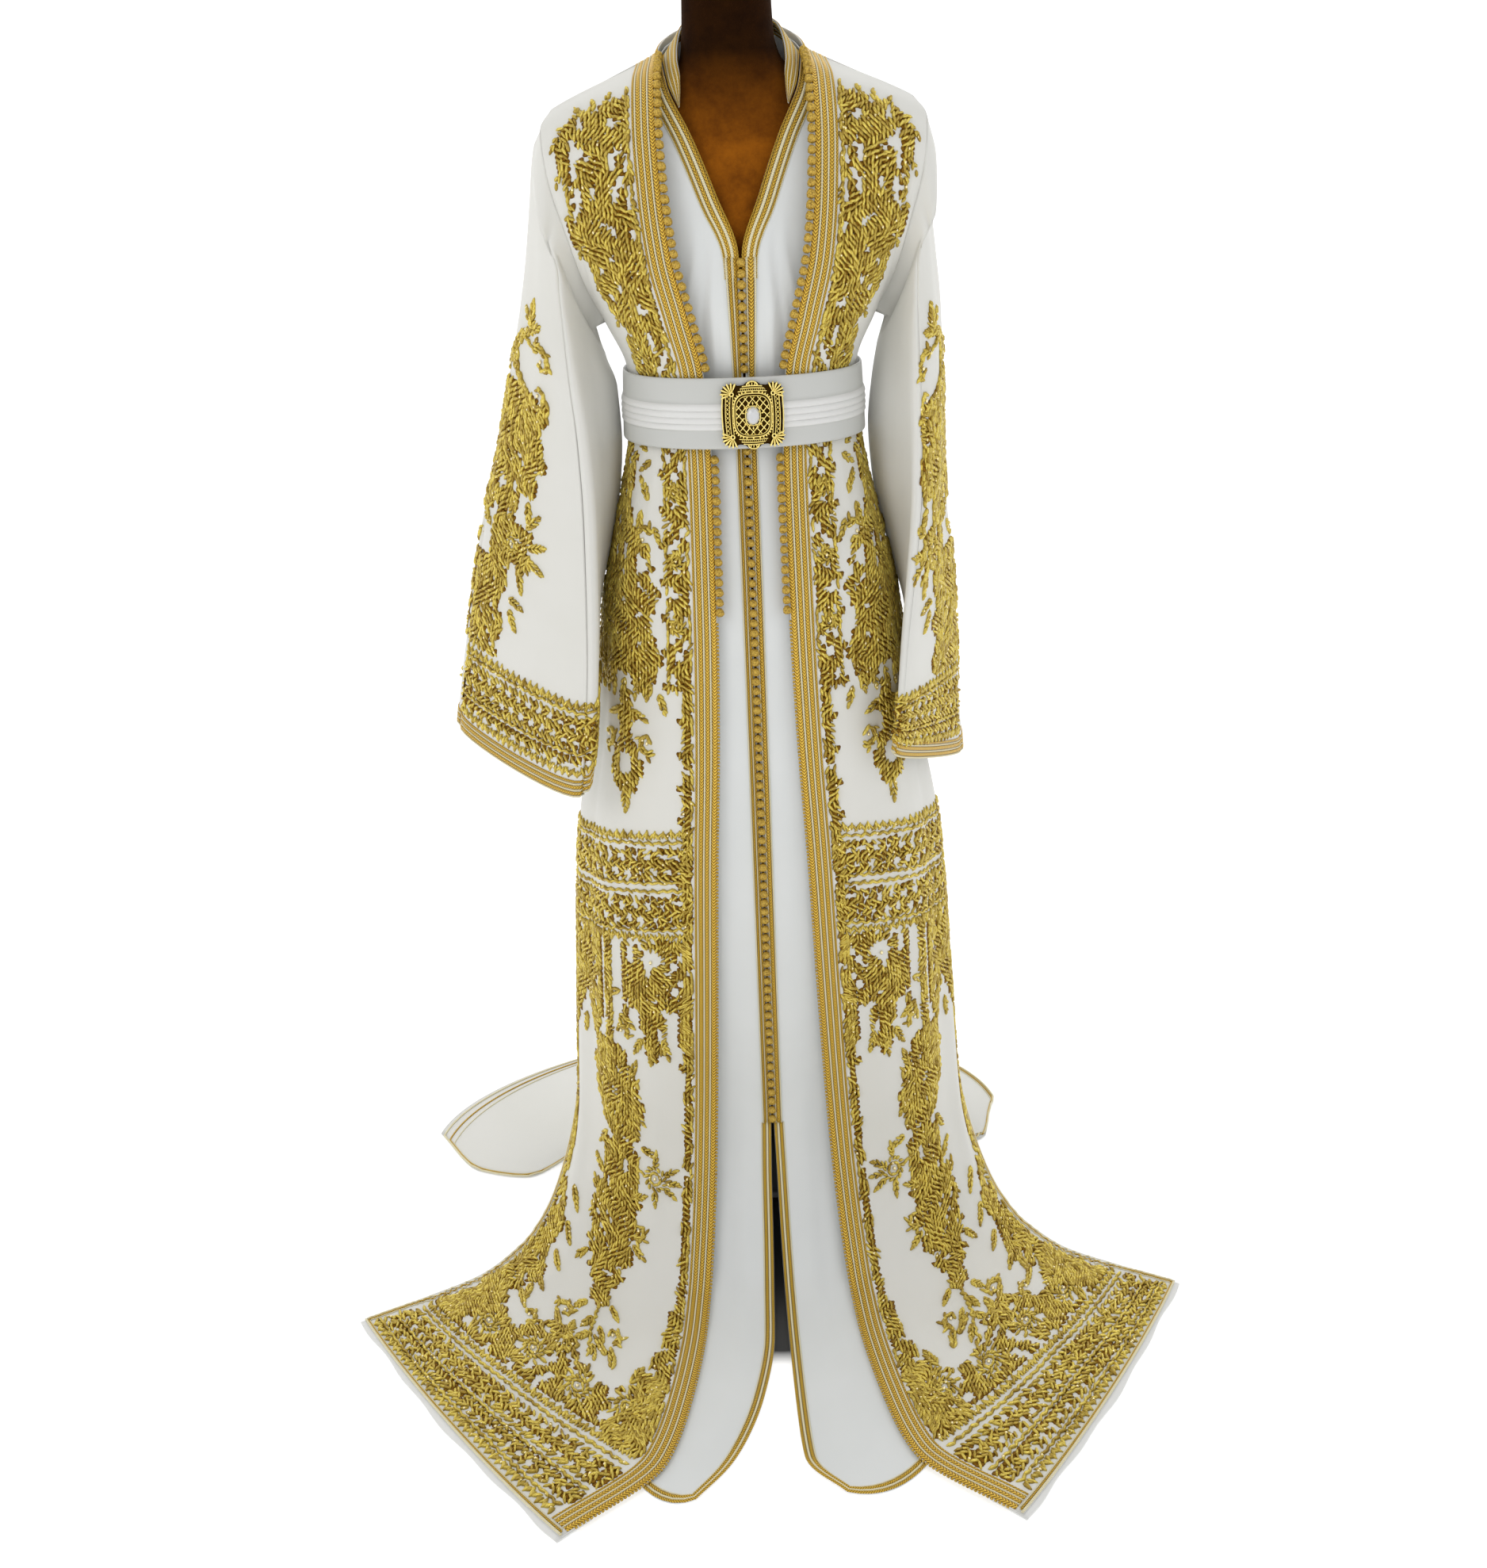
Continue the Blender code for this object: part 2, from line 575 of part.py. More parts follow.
# The pale lining lies on the floor under each front hem and peeks past it.
for side, word in ((-1, "left"), (1, "right")):
    base, norm, outer = robe_fronts[word]
    rows = len(ROBE_TS) - 1
    verts = []
    for i in range(10):
        a = base[rows, i]
        b = base[rows - 1, i]
        out = (a - b) / np.linalg.norm(a - b)
        out[2] = 0.0
        for reach, high in ((0.010, 0.0), (0.010, 0.0030), (-0.045, 0.0030), (-0.045, 0.0)):
            p = a + out * reach
            verts.append((p[0], p[1], high))
    faces = [(0, 1, 2, 3), (36, 39, 38, 37)]
    for i in range(9):
        for k in range(4):
            faces.append((i * 4 + k, i * 4 + 4 + k, i * 4 + 4 + (k + 1) % 4, i * 4 + (k + 1) % 4))
    put("robe_lining_" + word, verts, faces, white)

# The inner dress: two fronts that meet under the button placket, the slit open below it.
INNER_TS = (spaced(0.0, 4.0, 6) + spaced(4.0, 7.0, 3)[1:] + spaced(7.0, 13.0, 7)[1:] + [13.25]
            + spaced(13.0, 17.0, 8)[1:] + spaced(17.0, 19.8, 4)[1:] + [20.0])
SLIT_ROW = 13.25


def edge_strip_width(t):
    if t < 1.5:
        return 0.003 + 0.012 * t
    if t < 3.9:
        return 0.021
    if t < 4.1:
        return 0.0165
    if t < 13.2:
        return 0.013
    return 0.0115 if t < 13.3 else 0.010


inner = {}
for side, word in ((-1, "left"), (1, "right")):
    def point(u, t, side=side):
        return inner_front_point(side, u, t)

    def shares(t, point=point):
        near = share_at(point, t, edge_strip_width(t))
        return [0.0, near, 0.17, 0.27, 0.42, 0.68, 1.0]

    base, norm = cloth_grid(point, INNER_FOLDS, shares, INNER_TS, -side)
    thick = np.full(base.shape[:2], WALL_INNER)
    outer = cloth_wall("inner_front_" + word, base, norm, thick, white)
    inner[word] = (base, norm, outer)
    rows = len(INNER_TS) - 1
    neck = [j for j, t in enumerate(INNER_TS) if t <= 4.0]
    edge = [outer[j, 0] for j in neck]
    back = [outer[j, 1] for j in neck]
    edge[-1] = edge[-1] * 0.98 + edge[-2] * 0.02
    back[-1] = back[-1] * 0.98 + back[-2] * 0.02
    strip("inner_neck_braid_" + word, edge, back,
          [norm[j, 0] for j in neck], [norm[j, 1] for j in neck], BRAID_SHORT, gold)
    slit = [j for j, t in enumerate(INNER_TS) if t >= SLIT_ROW and j < rows - 1]
    edge = [outer[j, 0] for j in slit] + [outer[rows, 0]]
    back = [outer[j, 1] for j in slit] + [outer[rows - 1, 1]]
    na = [norm[j, 0] for j in slit] + [norm[rows, 0]]
    nb = [norm[j, 1] for j in slit] + [norm[rows - 1, 1]]
    edge[0] = edge[0] * 0.95 + edge[1] * 0.05
    back[0] = back[0] * 0.95 + back[1] * 0.05
    for i in range(2, 7):
        edge.append(outer[rows, i])
        back.append(outer[rows - 1, i])
        na.append(norm[rows, i])
        nb.append(norm[rows - 1, i])
    strip("inner_slit_braid_" + word, edge, back, na, nb, THIN_PROFILE, gold)

# The placket covers the join of the two fronts; the knotted buttons run down its middle.
ol, nl = inner["left"][2], inner["left"][1]
orr, nr = inner["right"][2], inner["right"][1]
js = [j for j, t in enumerate(INNER_TS) if 4.0 <= t <= SLIT_ROW]
PLACKET = [(0.0, 0.0010), (0.04, 0.0018), (0.34, 0.0018), (0.40, 0.0010),
           (0.60, 0.0010), (0.66, 0.0018), (0.96, 0.0018), (1.0, 0.0010)]
edge_a = [ol[j, 1] for j in js]
edge_b = [orr[j, 1] for j in js]
front = [0.5 * (nl[j, 0] + nr[j, 0]) for j in js]
bulge = [max(0.0, float(np.dot(0.5 * (ol[j, 0] + orr[j, 0]) - 0.5 * (ol[j, 1] + orr[j, 1]), n)))
         for j, n in zip(js, front)]
edge_a = [a + n * g for a, n, g in zip(edge_a, front, bulge)]
edge_b = [b + n * g for b, n, g in zip(edge_b, front, bulge)]
strip("inner_placket", edge_a, edge_b, front, front, PLACKET, gold)
path = [0.5 * (a + b) + n * (0.0010 + LIFT + 0.0004 + BEAD_RADIUS * 0.72)
        for a, b, n in zip(edge_a, edge_b, front)]
bead_row("inner_buttons", path, front, BEAD_RADIUS, 0.0017, knots)

# The inner back panel.
INNER_BACK_TS = spaced(0.0, 7.0, 7) + spaced(7.0, 13.0, 6)[1:] + spaced(13.0, 16.0, 3)[1:]
inner_half = [0.2, 0.4, 0.6, 0.8, 1.0]
inner_us = [-u for u in reversed(inner_half)] + [0.0] + inner_half


def inner_back_shares(t):
    return inner_us


base, norm = cloth_grid(inner_back_point, [], inner_back_shares, INNER_BACK_TS, 1.0)
norm[-1, :, 2] = 0.0
cloth_wall("inner_back", base, norm, np.full(base.shape[:2], WALL_INNER), white)

# The stand collar of the inner dress: a flared band from the neckline up to the neck, which runs
# down at each side of the throat to the braid. Columns: lower edge x, y, z, upper edge x, y, z.
COLLAR = [
    (0.0616, -0.0550, 1.3917, 0.0603, -0.0545, 1.3935),
    (0.0666, -0.0500, 1.4020, 0.0590, -0.0480, 1.4085),
    (0.0715, -0.0446, 1.4125, 0.0592, -0.0395, 1.4250),
    (0.0745, -0.0228, 1.4250, 0.0625, -0.0230, 1.4400),
    (0.0766, -0.0058, 1.4347, 0.0620, -0.0060, 1.4540),
    (0.0787, 0.0110, 1.4442, 0.0590, 0.0100, 1.4680),
    (0.0672, 0.0282, 1.4553, 0.0555, 0.0262, 1.4770),
    (0.0553, 0.0458, 1.4664, 0.0450, 0.0425, 1.4850),
    (0.0278, 0.0526, 1.4712, 0.0240, 0.0520, 1.4890),
]
right = [np.array(row) for row in COLLAR]
left = [row * np.array([-1.0, 1.0, 1.0, -1.0, 1.0, 1.0]) for row in right]
stations = right + [np.array([0.0, 0.0600, 1.4756, 0.0, 0.0541, 1.4910])] + left[::-1]
verts = []
steps = len(stations) - 1
for k in range(steps + 1):
    low, high = stations[k][:3], stations[k][3:]
    before = stations[max(0, k - 1)]
    after = stations[min(steps, k + 1)]
    across = np.cross(after[:3] + after[3:] - before[:3] - before[3:], high - low)
    across = across / np.linalg.norm(across)
    for p in (low, high, high - across * 0.0019, low - across * 0.0019):
        verts.append(tuple(p))
faces = [(0, 3, 2, 1), (steps * 4, steps * 4 + 1, steps * 4 + 2, steps * 4 + 3)]
for k in range(steps):
    for m in range(4):
        faces.append((k * 4 + m, k * 4 + (m + 1) % 4, k * 4 + 4 + (m + 1) % 4, k * 4 + 4 + m))
put("inner_collar", verts, faces, gold)

# Sleeves, right side signs: outer fold x, y, z, front fold x, y, z, inner fold x, y, z, back bulge.
SLEEVE_LEFT = [
    (0.2085, 0.0040, 1.3960, 0.1985, -0.0550, 1.2780, 0.1760, 0.0000, 1.1750, 0.055),
    (0.2290, 0.0030, 1.3450, 0.2060, -0.0560, 1.2500, 0.1720, 0.0000, 1.1500, 0.055),
    (0.2370, 0.0000, 1.2900, 0.2080, -0.0600, 1.2100, 0.1660, 0.0000, 1.1200, 0.055),
    (0.2460, 0.0000, 1.2300, 0.2060, -0.0660, 1.1600, 0.1560, 0.0000, 1.0850, 0.056),
    (0.2590, 0.0000, 1.1650, 0.2030, -0.0760, 1.1050, 0.1545, 0.0000, 1.0300, 0.058),
    (0.2770, 0.0000, 1.0900, 0.1980, -0.0880, 1.0350, 0.1600, 0.0000, 0.9700, 0.060),
    (0.2960, 0.0000, 1.0100, 0.1960, -0.1040, 0.9600, 0.1740, 0.0000, 0.9100, 0.060),
    (0.3200, 0.0000, 0.9300, 0.1980, -0.1200, 0.8800, 0.1930, 0.0000, 0.8500, 0.060),
    (0.3430, 0.0000, 0.8300, 0.2020, -0.1360, 0.7900, 0.2080, 0.0000, 0.8150, 0.060),
    (0.3700, 0.0000, 0.7000, 0.2130, -0.1560, 0.6680, 0.2220, 0.0080, 0.7880, 0.058),
    (0.3780, 0.0000, 0.6560, 0.2190, -0.1620, 0.6250, 0.2270, 0.0100, 0.7680, 0.056),
]
SLEEVE_RIGHT = [
    (0.2085, 0.0040, 1.3960, 0.1985, -0.0550, 1.2780, 0.1760, 0.0000, 1.1750, 0.055),
    (0.2220, 0.0030, 1.3450, 0.2060, -0.0560, 1.2500, 0.1720, 0.0000, 1.1500, 0.055),
    (0.2230, 0.0000, 1.2900, 0.2040, -0.0620, 1.2100, 0.1660, 0.0000, 1.1200, 0.055),
    (0.2290, 0.0000, 1.2300, 0.2030, -0.0700, 1.1600, 0.1600, 0.0000, 1.0800, 0.056),
    (0.2360, 0.0000, 1.1600, 0.2040, -0.0800, 1.1050, 0.1560, 0.0000, 1.0300, 0.058),
    (0.2390, 0.0000, 1.0800, 0.2050, -0.0900, 1.0350, 0.1600, 0.0000, 0.9700, 0.064),
    (0.2410, 0.0000, 1.0000, 0.2030, -0.1020, 0.9600, 0.1740, 0.0020, 0.9000, 0.070),
    (0.2460, 0.0000, 0.9200, 0.1960, -0.1140, 0.8800, 0.1900, 0.0020, 0.8400, 0.076),
    (0.2560, 0.0000, 0.8200, 0.1850, -0.1350, 0.7900, 0.2090, 0.0000, 0.7800, 0.076),
    (0.2620, -0.0050, 0.6600, 0.1740, -0.1600, 0.6920, 0.2270, -0.0060, 0.7000, 0.074),
    (0.2660, -0.0080, 0.5950, 0.1670, -0.1680, 0.6570, 0.2330, -0.0080, 0.6650, 0.070),
]
SLEEVE_TS = spaced(0.0, 9.35, 11) + [10.0]
AROUND = 16


def sleeve_point(table, side, turn, t):
    r = row_at(table, t)
    outer_p = np.array(r[0:3])
    front_p = np.array(r[3:6])
    inner_p = np.array(r[6:9])
    mid_p = 0.5 * (outer_p + inner_p)
    back_p = mid_p + np.array([0.01, r[9] + 0.5 * abs(mid_p[1]), 0.0])
    corners = [outer_p, front_p, inner_p, back_p]
    s = (turn % 1.0) * 4.0
    k = int(s) % 4
    f = s - int(s)
    p0, p1, p2, p3 = corners[(k - 1) % 4], corners[k], corners[(k + 1) % 4], corners[(k + 2) % 4]
    # a closed smooth curve through the four folds
    m1 = 0.55 * (p2 - p0)
    m2 = 0.55 * (p3 - p1)
    h = f * f * (3.0 - 2.0 * f)
    p = p1 + (p2 - p1) * h + (m1 - (p2 - p1)) * f * (1 - f) ** 2 - (m2 - (p2 - p1)) * f * f * (1 - f)
    return np.array([side * p[0], p[1], p[2]])


for side, word, table in ((-1, "left", SLEEVE_LEFT), (1, "right", SLEEVE_RIGHT)):
    base = []
    norm = []
    for t in SLEEVE_TS:
        base_row = []
        norm_row = []
        for i in range(AROUND):
            turn = i / AROUND
            pu = sleeve_point(table, side, turn + 0.01, t) - sleeve_point(table, side, turn - 0.01, t)
            hi = min(t + 0.05, 10.0)
            lo = max(t - 0.05, 0.0)
            pv = sleeve_point(table, side, turn, hi) - sleeve_point(table, side, turn, lo)
            n = np.cross(pu, pv) * side
            n = n / np.linalg.norm(n)
            base_row.append(sleeve_point(table, side, turn, t))
            norm_row.append(n)
        base.append(base_row)
        norm.append(norm_row)
    base = np.array(base)
    norm = np.array(norm)
    centre = base.mean(axis=1, keepdims=True)
    if float((norm * (base - centre)).sum()) < 0.0:
        norm = -norm
    # the first ring follows the armhole edges of the front and back panels, a seam's gap outside them
    for i in range(AROUND):
        t = 5.0 * (i if i <= 8 else AROUND - i) / 8.0
        rail = robe_front_point(side, 1.0, t) if i <= 8 else robe_back_point(float(side), t)
        if i in (0, 8):
            rail[1] = 0.5 * (rail[1] + robe_back_point(float(side), t)[1])
        under = math.sin(math.pi * i / AROUND) ** 2
        above = max(0.0, math.cos(2.0 * math.pi * i / AROUND)) ** 4
        base[0, i] = rail + np.array([side * (0.0026 - 0.0019 * above + 0.0032 * under), 0.0, 0.0])
        least = abs(rail[0]) + 0.0075 + 0.0040 * under
        if abs(base[1, i, 0]) < least:
            base[1, i, 0] = side * least
    thick = np.full(base.shape[:2], WALL_ROBE)
    thick[6:11, 14:16] += 0.0012
    thick[6:11, 0:3] += 0.0012
    outer = cloth_wall("sleeve_" + word, base, norm, thick, ivory, True)
    low = len(SLEEVE_TS) - 1
    ring = list(range(AROUND))
    raised = outer + norm * 0.0003
    strip("cuff_braid_" + word, [raised[low, i] for i in ring], [raised[low - 1, i] for i in ring],
          [norm[low, i] for i in ring], [norm[low - 1, i] for i in ring], BRAID_SHORT, gold, True)

# The belt: a stiff satin band with three soft pleats along its middle.
BELT = [
    (BELT_LOW, 0.0000),
    (BELT_LOW, 0.0022),
    (1.0419, 0.0024),
    (1.0438, 0.0034),
    (1.0551, 0.0030),
    (1.0570, 0.0038),
    (1.0664, 0.0032),
    (1.0683, 0.0040),
    (1.0796, 0.0034),
    (1.0810, 0.0024),
    (BELT_HIGH, 0.0022),
    (BELT_HIGH, 0.0000),
]
BELT_POWER = 2.0 / 2.3
verts = []
around = 34


def belt_ring(z):
    f = (BELT_HIGH - z) / (BELT_HIGH - BELT_LOW)
    return 0.1413 + 0.0037 * f, 0.1267 + 0.0025 * f, 0.0989 + 0.0051 * f


for k in range(around):
    a = 2.0 * math.pi * k / around
    for z, out in BELT:
        side_r, front_r, back_r = belt_ring(z)
        deep = front_r if math.sin(a) < 0 else back_r
        x = math.copysign(abs(math.cos(a)) ** BELT_POWER, math.cos(a))
        y = math.copysign(abs(math.sin(a)) ** BELT_POWER, math.sin(a))
        verts.append(((side_r + out) * x, (deep + out) * y, z))
count = len(BELT)
faces = []
for k in range(around):
    n = (k + 1) % around
    for m in range(count):
        faces.append((k * count + m, n * count + m, n * count + (m + 1) % count, k * count + (m + 1) % count))
put("belt_band", verts, faces, satin)


# The buckle: a bent gold plate with shell corners, a stepped raised frame and a clear stone.
BUCKLE_X = 0.0075


def bent(x, z, out):
    x += BUCKLE_X
    side_r, front_r, back_r = belt_ring(z)
    y = -(front_r + 0.0040) * (1.0 - abs(x / (side_r + 0.0040)) ** 2.3) ** (1.0 / 2.3)
    return (x, y - out, z)


PLATE = [
    (0.000, 0.0385), (0.006, 0.0385), (0.010, 0.0355), (0.016, 0.0345), (0.022, 0.0365),
    (0.028, 0.0360), (0.033, 0.0330), (0.0365, 0.0280), (0.0360, 0.0220), (0.0340, 0.0160),
    (0.0350, 0.0080), (0.0350, 0.0000),
]
FRAME = [
    (0.000, 0.0365), (0.005, 0.0365), (0.008, 0.0320), (0.015, 0.0300), (0.020, 0.0240),
    (0.021, 0.0120), (0.021, 0.0000),
]


def outline(quarter):
    one = [(x, z) for x, z in quarter]
    two = [(x, -z) for x, z in reversed(quarter[:-1])]
    right = one + two
    left = [(-x, z) for x, z in reversed(right[1:-1])]
    return right + left


middle = 1.0635
plate = outline(PLATE)
verts = []
scales = (1.0, 0.62, 0.25)
for out in (0.0005, 0.0028):
    for scale in scales:
        for x, z in plate:
            verts.append(bent(x * scale, middle + z * scale, out))
count = len(plate)
faces = []
for k in range(count):
    n = (k + 1) % count
    for s in range(2):
        faces.append((s * count + k, (s + 1) * count + k, (s + 1) * count + n, s * count + n))
        top = 3 * count
        faces.append((top + s * count + k, top + s * count + n, top + (s + 1) * count + n, top + (s + 1) * count + k))
    faces.append((k, n, 3 * count + n, 3 * count + k))
verts.append(bent(0.0, middle, 0.0005))
verts.append(bent(0.0, middle, 0.0028))
for k in range(count):
    n = (k + 1) % count
    faces.append((2 * count + k, 6 * count, 2 * count + n))
    faces.append((5 * count + k, 5 * count + n, 6 * count + 1))
put("buckle_plate", verts, faces, brass)

frame_line = outline(FRAME)
verts = []
for x, z in frame_line:
    for scale, out in ((1.0, 0.0032), (1.0, 0.0050), (0.80, 0.0050), (0.80, 0.0032)):
        verts.append(bent(x * scale, middle + z * scale, out))
count = len(frame_line)
faces = []
for k in range(count):
    n = (k + 1) % count
    for m in range(4):
        faces.append((k * 4 + m, n * 4 + m, n * 4 + (m + 1) % 4, k * 4 + (m + 1) % 4))
put("buckle_frame", verts, faces, brass)

stone = [(0.0, 0.0085), (0.0042, 0.0080), (0.0062, 0.0050), (0.0066, 0.0)]
stone_line = outline(stone)
verts = []
for scale, out in ((0.9, 0.0032), (1.0, 0.0055), (0.55, 0.0080)):
    for x, z in stone_line:
        verts.append(bent(x * scale, middle + z * scale, out))
count = len(stone_line)
faces = [tuple(range(count)), tuple(reversed(range(2 * count, 3 * count)))]
for k in range(count):
    n = (k + 1) % count
    for s in range(2):
        faces.append((s * count + n, s * count + k, (s + 1) * count + k, (s + 1) * count + n))
put("buckle_stone", verts, faces, clear)

# The dress form: half width, front depth, back depth and centre y at each height.
FORM = [
    (0.7450, 0.020, 0.020, 0.020, 0.0),
    (0.7450, 0.162, 0.106, 0.106, 0.0),
    (0.8000, 0.163, 0.112, 0.110, 0.0),
    (0.8800, 0.152, 0.112, 0.106, 0.0),
    (0.9600, 0.130, 0.100, 0.088, 0.0),
    (1.0200, 0.118, 0.088, 0.078, 0.0),
    (1.0600, 0.115, 0.086, 0.076, 0.0),
    (1.1100, 0.118, 0.090, 0.077, 0.0),
    (1.1800, 0.140, 0.104, 0.084, 0.0),
    (1.2500, 0.158, 0.100, 0.090, 0.0),
    (1.3200, 0.170, 0.080, 0.086, 0.0),
    (1.3700, 0.168, 0.060, 0.078, 0.002),
    (1.3950, 0.142, 0.050, 0.060, 0.003),
    (1.4150, 0.104, 0.046, 0.050, 0.004),
    (1.4300, 0.068, 0.045, 0.044, 0.005),
    (1.4450, 0.056, 0.045, 0.042, 0.006),
    (1.4700, 0.0520, 0.044, 0.042, 0.008),
    (1.5150, 0.0500, 0.044, 0.044, 0.010),
]
verts = []
around = 24
for z, side_r, front_r, back_r, cen in FORM:
    # the neck stands a little to the left of the shoulders' middle
    sway = -0.003 * min(1.0, max(0.0, (z - 1.430) / 0.030))
    for k in range(around):
        a = 2.0 * math.pi * k / around
        deep = front_r if math.sin(a) < 0 else back_r
        verts.append((sway + side_r * math.cos(a), cen + deep * math.sin(a), z))
faces = [tuple(reversed(range(around))), tuple(range((len(FORM) - 1) * around, len(FORM) * around))]
for j in range(len(FORM) - 1):
    for k in range(around):
        n = (k + 1) % around
        faces.append((j * around + k, j * around + n, (j + 1) * around + n, (j + 1) * around + k))
put("form_torso", verts, faces, suede)


def turned(name, profile, cen_y, mat, around=24):
    verts = []
    for r, z in profile:
        for k in range(around):
            a = 2.0 * math.pi * k / around
            verts.append((r * math.cos(a), cen_y + r * math.sin(a), z))
    last = len(profile) - 1
    faces = [tuple(reversed(range(around))), tuple(range(last * around, (last + 1) * around))]
    for j in range(last):
        for k in range(around):
            n = (k + 1) % around
            faces.append((j * around + k, j * around + n, (j + 1) * around + n, (j + 1) * around + k))
    put(name, verts, faces, mat)


turned("form_neck_cap", [(0.046, 1.5154), (0.049, 1.5170), (0.049, 1.5230), (0.040, 1.5280)], 0.010, steel)
turned("stand_pole", [(0.0125, 0.0126), (0.0125, 0.7446)], 0.0, steel, 16)
turned("stand_base", [(0.150, 0.0), (0.150, 0.006), (0.140, 0.0120), (0.030, 0.0122)], 0.0, steel, 32)
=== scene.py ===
import math
import random

import bpy
import numpy as np
from mathutils import Matrix, Vector


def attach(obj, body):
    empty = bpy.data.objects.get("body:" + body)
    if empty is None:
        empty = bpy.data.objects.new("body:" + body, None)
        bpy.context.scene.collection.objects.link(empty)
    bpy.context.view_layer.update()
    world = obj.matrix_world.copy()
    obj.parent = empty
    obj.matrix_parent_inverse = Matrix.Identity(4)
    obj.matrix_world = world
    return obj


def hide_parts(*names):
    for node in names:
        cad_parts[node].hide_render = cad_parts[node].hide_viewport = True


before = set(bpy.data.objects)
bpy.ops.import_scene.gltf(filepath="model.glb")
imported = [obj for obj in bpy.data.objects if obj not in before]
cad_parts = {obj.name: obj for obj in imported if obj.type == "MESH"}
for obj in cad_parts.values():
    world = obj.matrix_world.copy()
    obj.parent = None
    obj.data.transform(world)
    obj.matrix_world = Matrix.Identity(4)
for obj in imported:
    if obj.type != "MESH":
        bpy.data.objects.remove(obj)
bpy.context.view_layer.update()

# The camera stands in front of the gown, at the height of its shoulders, and looks down at it.
# The floor and the light are plain and pale, as in a small studio.
BEARING, PITCH, ROLL = math.radians(-0.7), math.radians(21.935), math.radians(-2.245)
EYE_BACK, EYE_ASIDE, EYE_HIGH = 2.052, 0.018, 1.383
SENSOR, FOCAL_PIXELS, PHOTO_HIGH = 36.0, 2100.0, 1978.0
eye = Vector((math.sin(BEARING) * EYE_BACK - EYE_ASIDE, -math.cos(BEARING) * EYE_BACK, EYE_HIGH))
ahead = Vector((-math.sin(BEARING) * math.cos(PITCH), math.cos(BEARING) * math.cos(PITCH), -math.sin(PITCH)))
level = Vector((math.cos(BEARING), math.sin(BEARING), 0.0))
upright = level.cross(ahead)
right_axis = level * math.cos(ROLL) + upright * math.sin(ROLL)
up_axis = upright * math.cos(ROLL) - level * math.sin(ROLL)


def in_scene(name, data):
    thing = bpy.data.objects.new(name, data)
    bpy.context.scene.collection.objects.link(thing)
    return thing


camera_data = bpy.data.cameras.new("camera")
camera_data.sensor_width = SENSOR
camera_data.lens = SENSOR * FOCAL_PIXELS / PHOTO_HIGH
camera_data.clip_start = 0.05
camera = in_scene("camera", camera_data)
columns = (right_axis, up_axis, -ahead, eye)
camera.matrix_world = Matrix([[column[k] for column in columns] for k in range(3)] + [[0.0, 0.0, 0.0, 1.0]])
bpy.context.scene.camera = camera
bpy.context.scene.view_settings.view_transform = "Standard"


def soft_light(name, place, aim, size, power, tint):
    lamp = bpy.data.lights.new(name, "AREA")
    lamp.shape = "RECTANGLE"
    lamp.size, lamp.size_y = size
    lamp.energy = power
    lamp.color = tint
    holder = in_scene(name, lamp)
    holder.location = place
    holder.rotation_euler = (Vector(aim) - Vector(place)).to_track_quat("-Z", "Y").to_euler()


soft_light("light_left", (-2.4, -2.3, 2.6), (0.0, 0.0, 0.9), (1.6, 2.0), 21.0, (1.0, 0.98, 0.95))
soft_light("light_right", (2.6, -1.9, 2.2), (0.0, 0.0, 0.9), (1.6, 2.0), 9.0, (0.97, 0.98, 1.0))
soft_light("light_top", (0.0, 0.6, 3.4), (0.0, -0.1, 0.6), (2.2, 2.2), 8.0, (1.0, 1.0, 1.0))
soft_light("light_back", (0.4, 3.0, 2.2), (0.0, 0.0, 0.9), (1.8, 1.8), 6.0, (1.0, 1.0, 1.0))


def feed(tree, target, given):
    """Gives each named input of a node a plain value, or links it to another node's output."""
    for key, value in given.items():
        if isinstance(value, bpy.types.NodeSocket):
            tree.links.new(value, target.inputs[key])
        else:
            target.inputs[key].default_value = value


def add_node(tree, kind, given=None, **settings):
    made = tree.nodes.new(kind)
    for key, value in settings.items():
        setattr(made, key, value)
    feed(tree, made, given or {})
    return made


def ramp_node(tree, value, stops, interpolation="LINEAR"):
    """A colour ramp with two or more stops, each a place and a colour."""
    made = add_node(tree, "ShaderNodeValToRGB", {"Fac": value})
    made.color_ramp.interpolation = interpolation
    spots_on = made.color_ramp.elements
    for k, (place, rgb) in enumerate(stops):
        stop = spots_on[k] if k < 2 else spots_on.new(place)
        stop.position = place
        stop.color = (*rgb, 1.0)
    return made.outputs["Color"]


def new_finish(name, rgb, rough, metal=0.0):
    finish = bpy.data.materials.new(name)
    finish.use_nodes = True
    shader = finish.node_tree.nodes["Principled BSDF"]
    feed(finish.node_tree, shader, {"Base Color": (*rgb, 1.0), "Roughness": rough, "Metallic": metal})
    return finish, finish.node_tree, shader


def staged_sheet(name, corners, finish):
    mesh = bpy.data.meshes.new(name)
    mesh.from_pydata(corners, [], [(0, 1, 2, 3)])
    mesh.materials.append(finish)
    in_scene(name, mesh)


WHITE = (1.0, 1.0, 1.0)
world = bpy.data.worlds.new("studio")
world.use_nodes = True
feed(world.node_tree, world.node_tree.nodes["Background"], {"Color": (*WHITE, 1.0), "Strength": 0.66})
bpy.context.scene.world = world

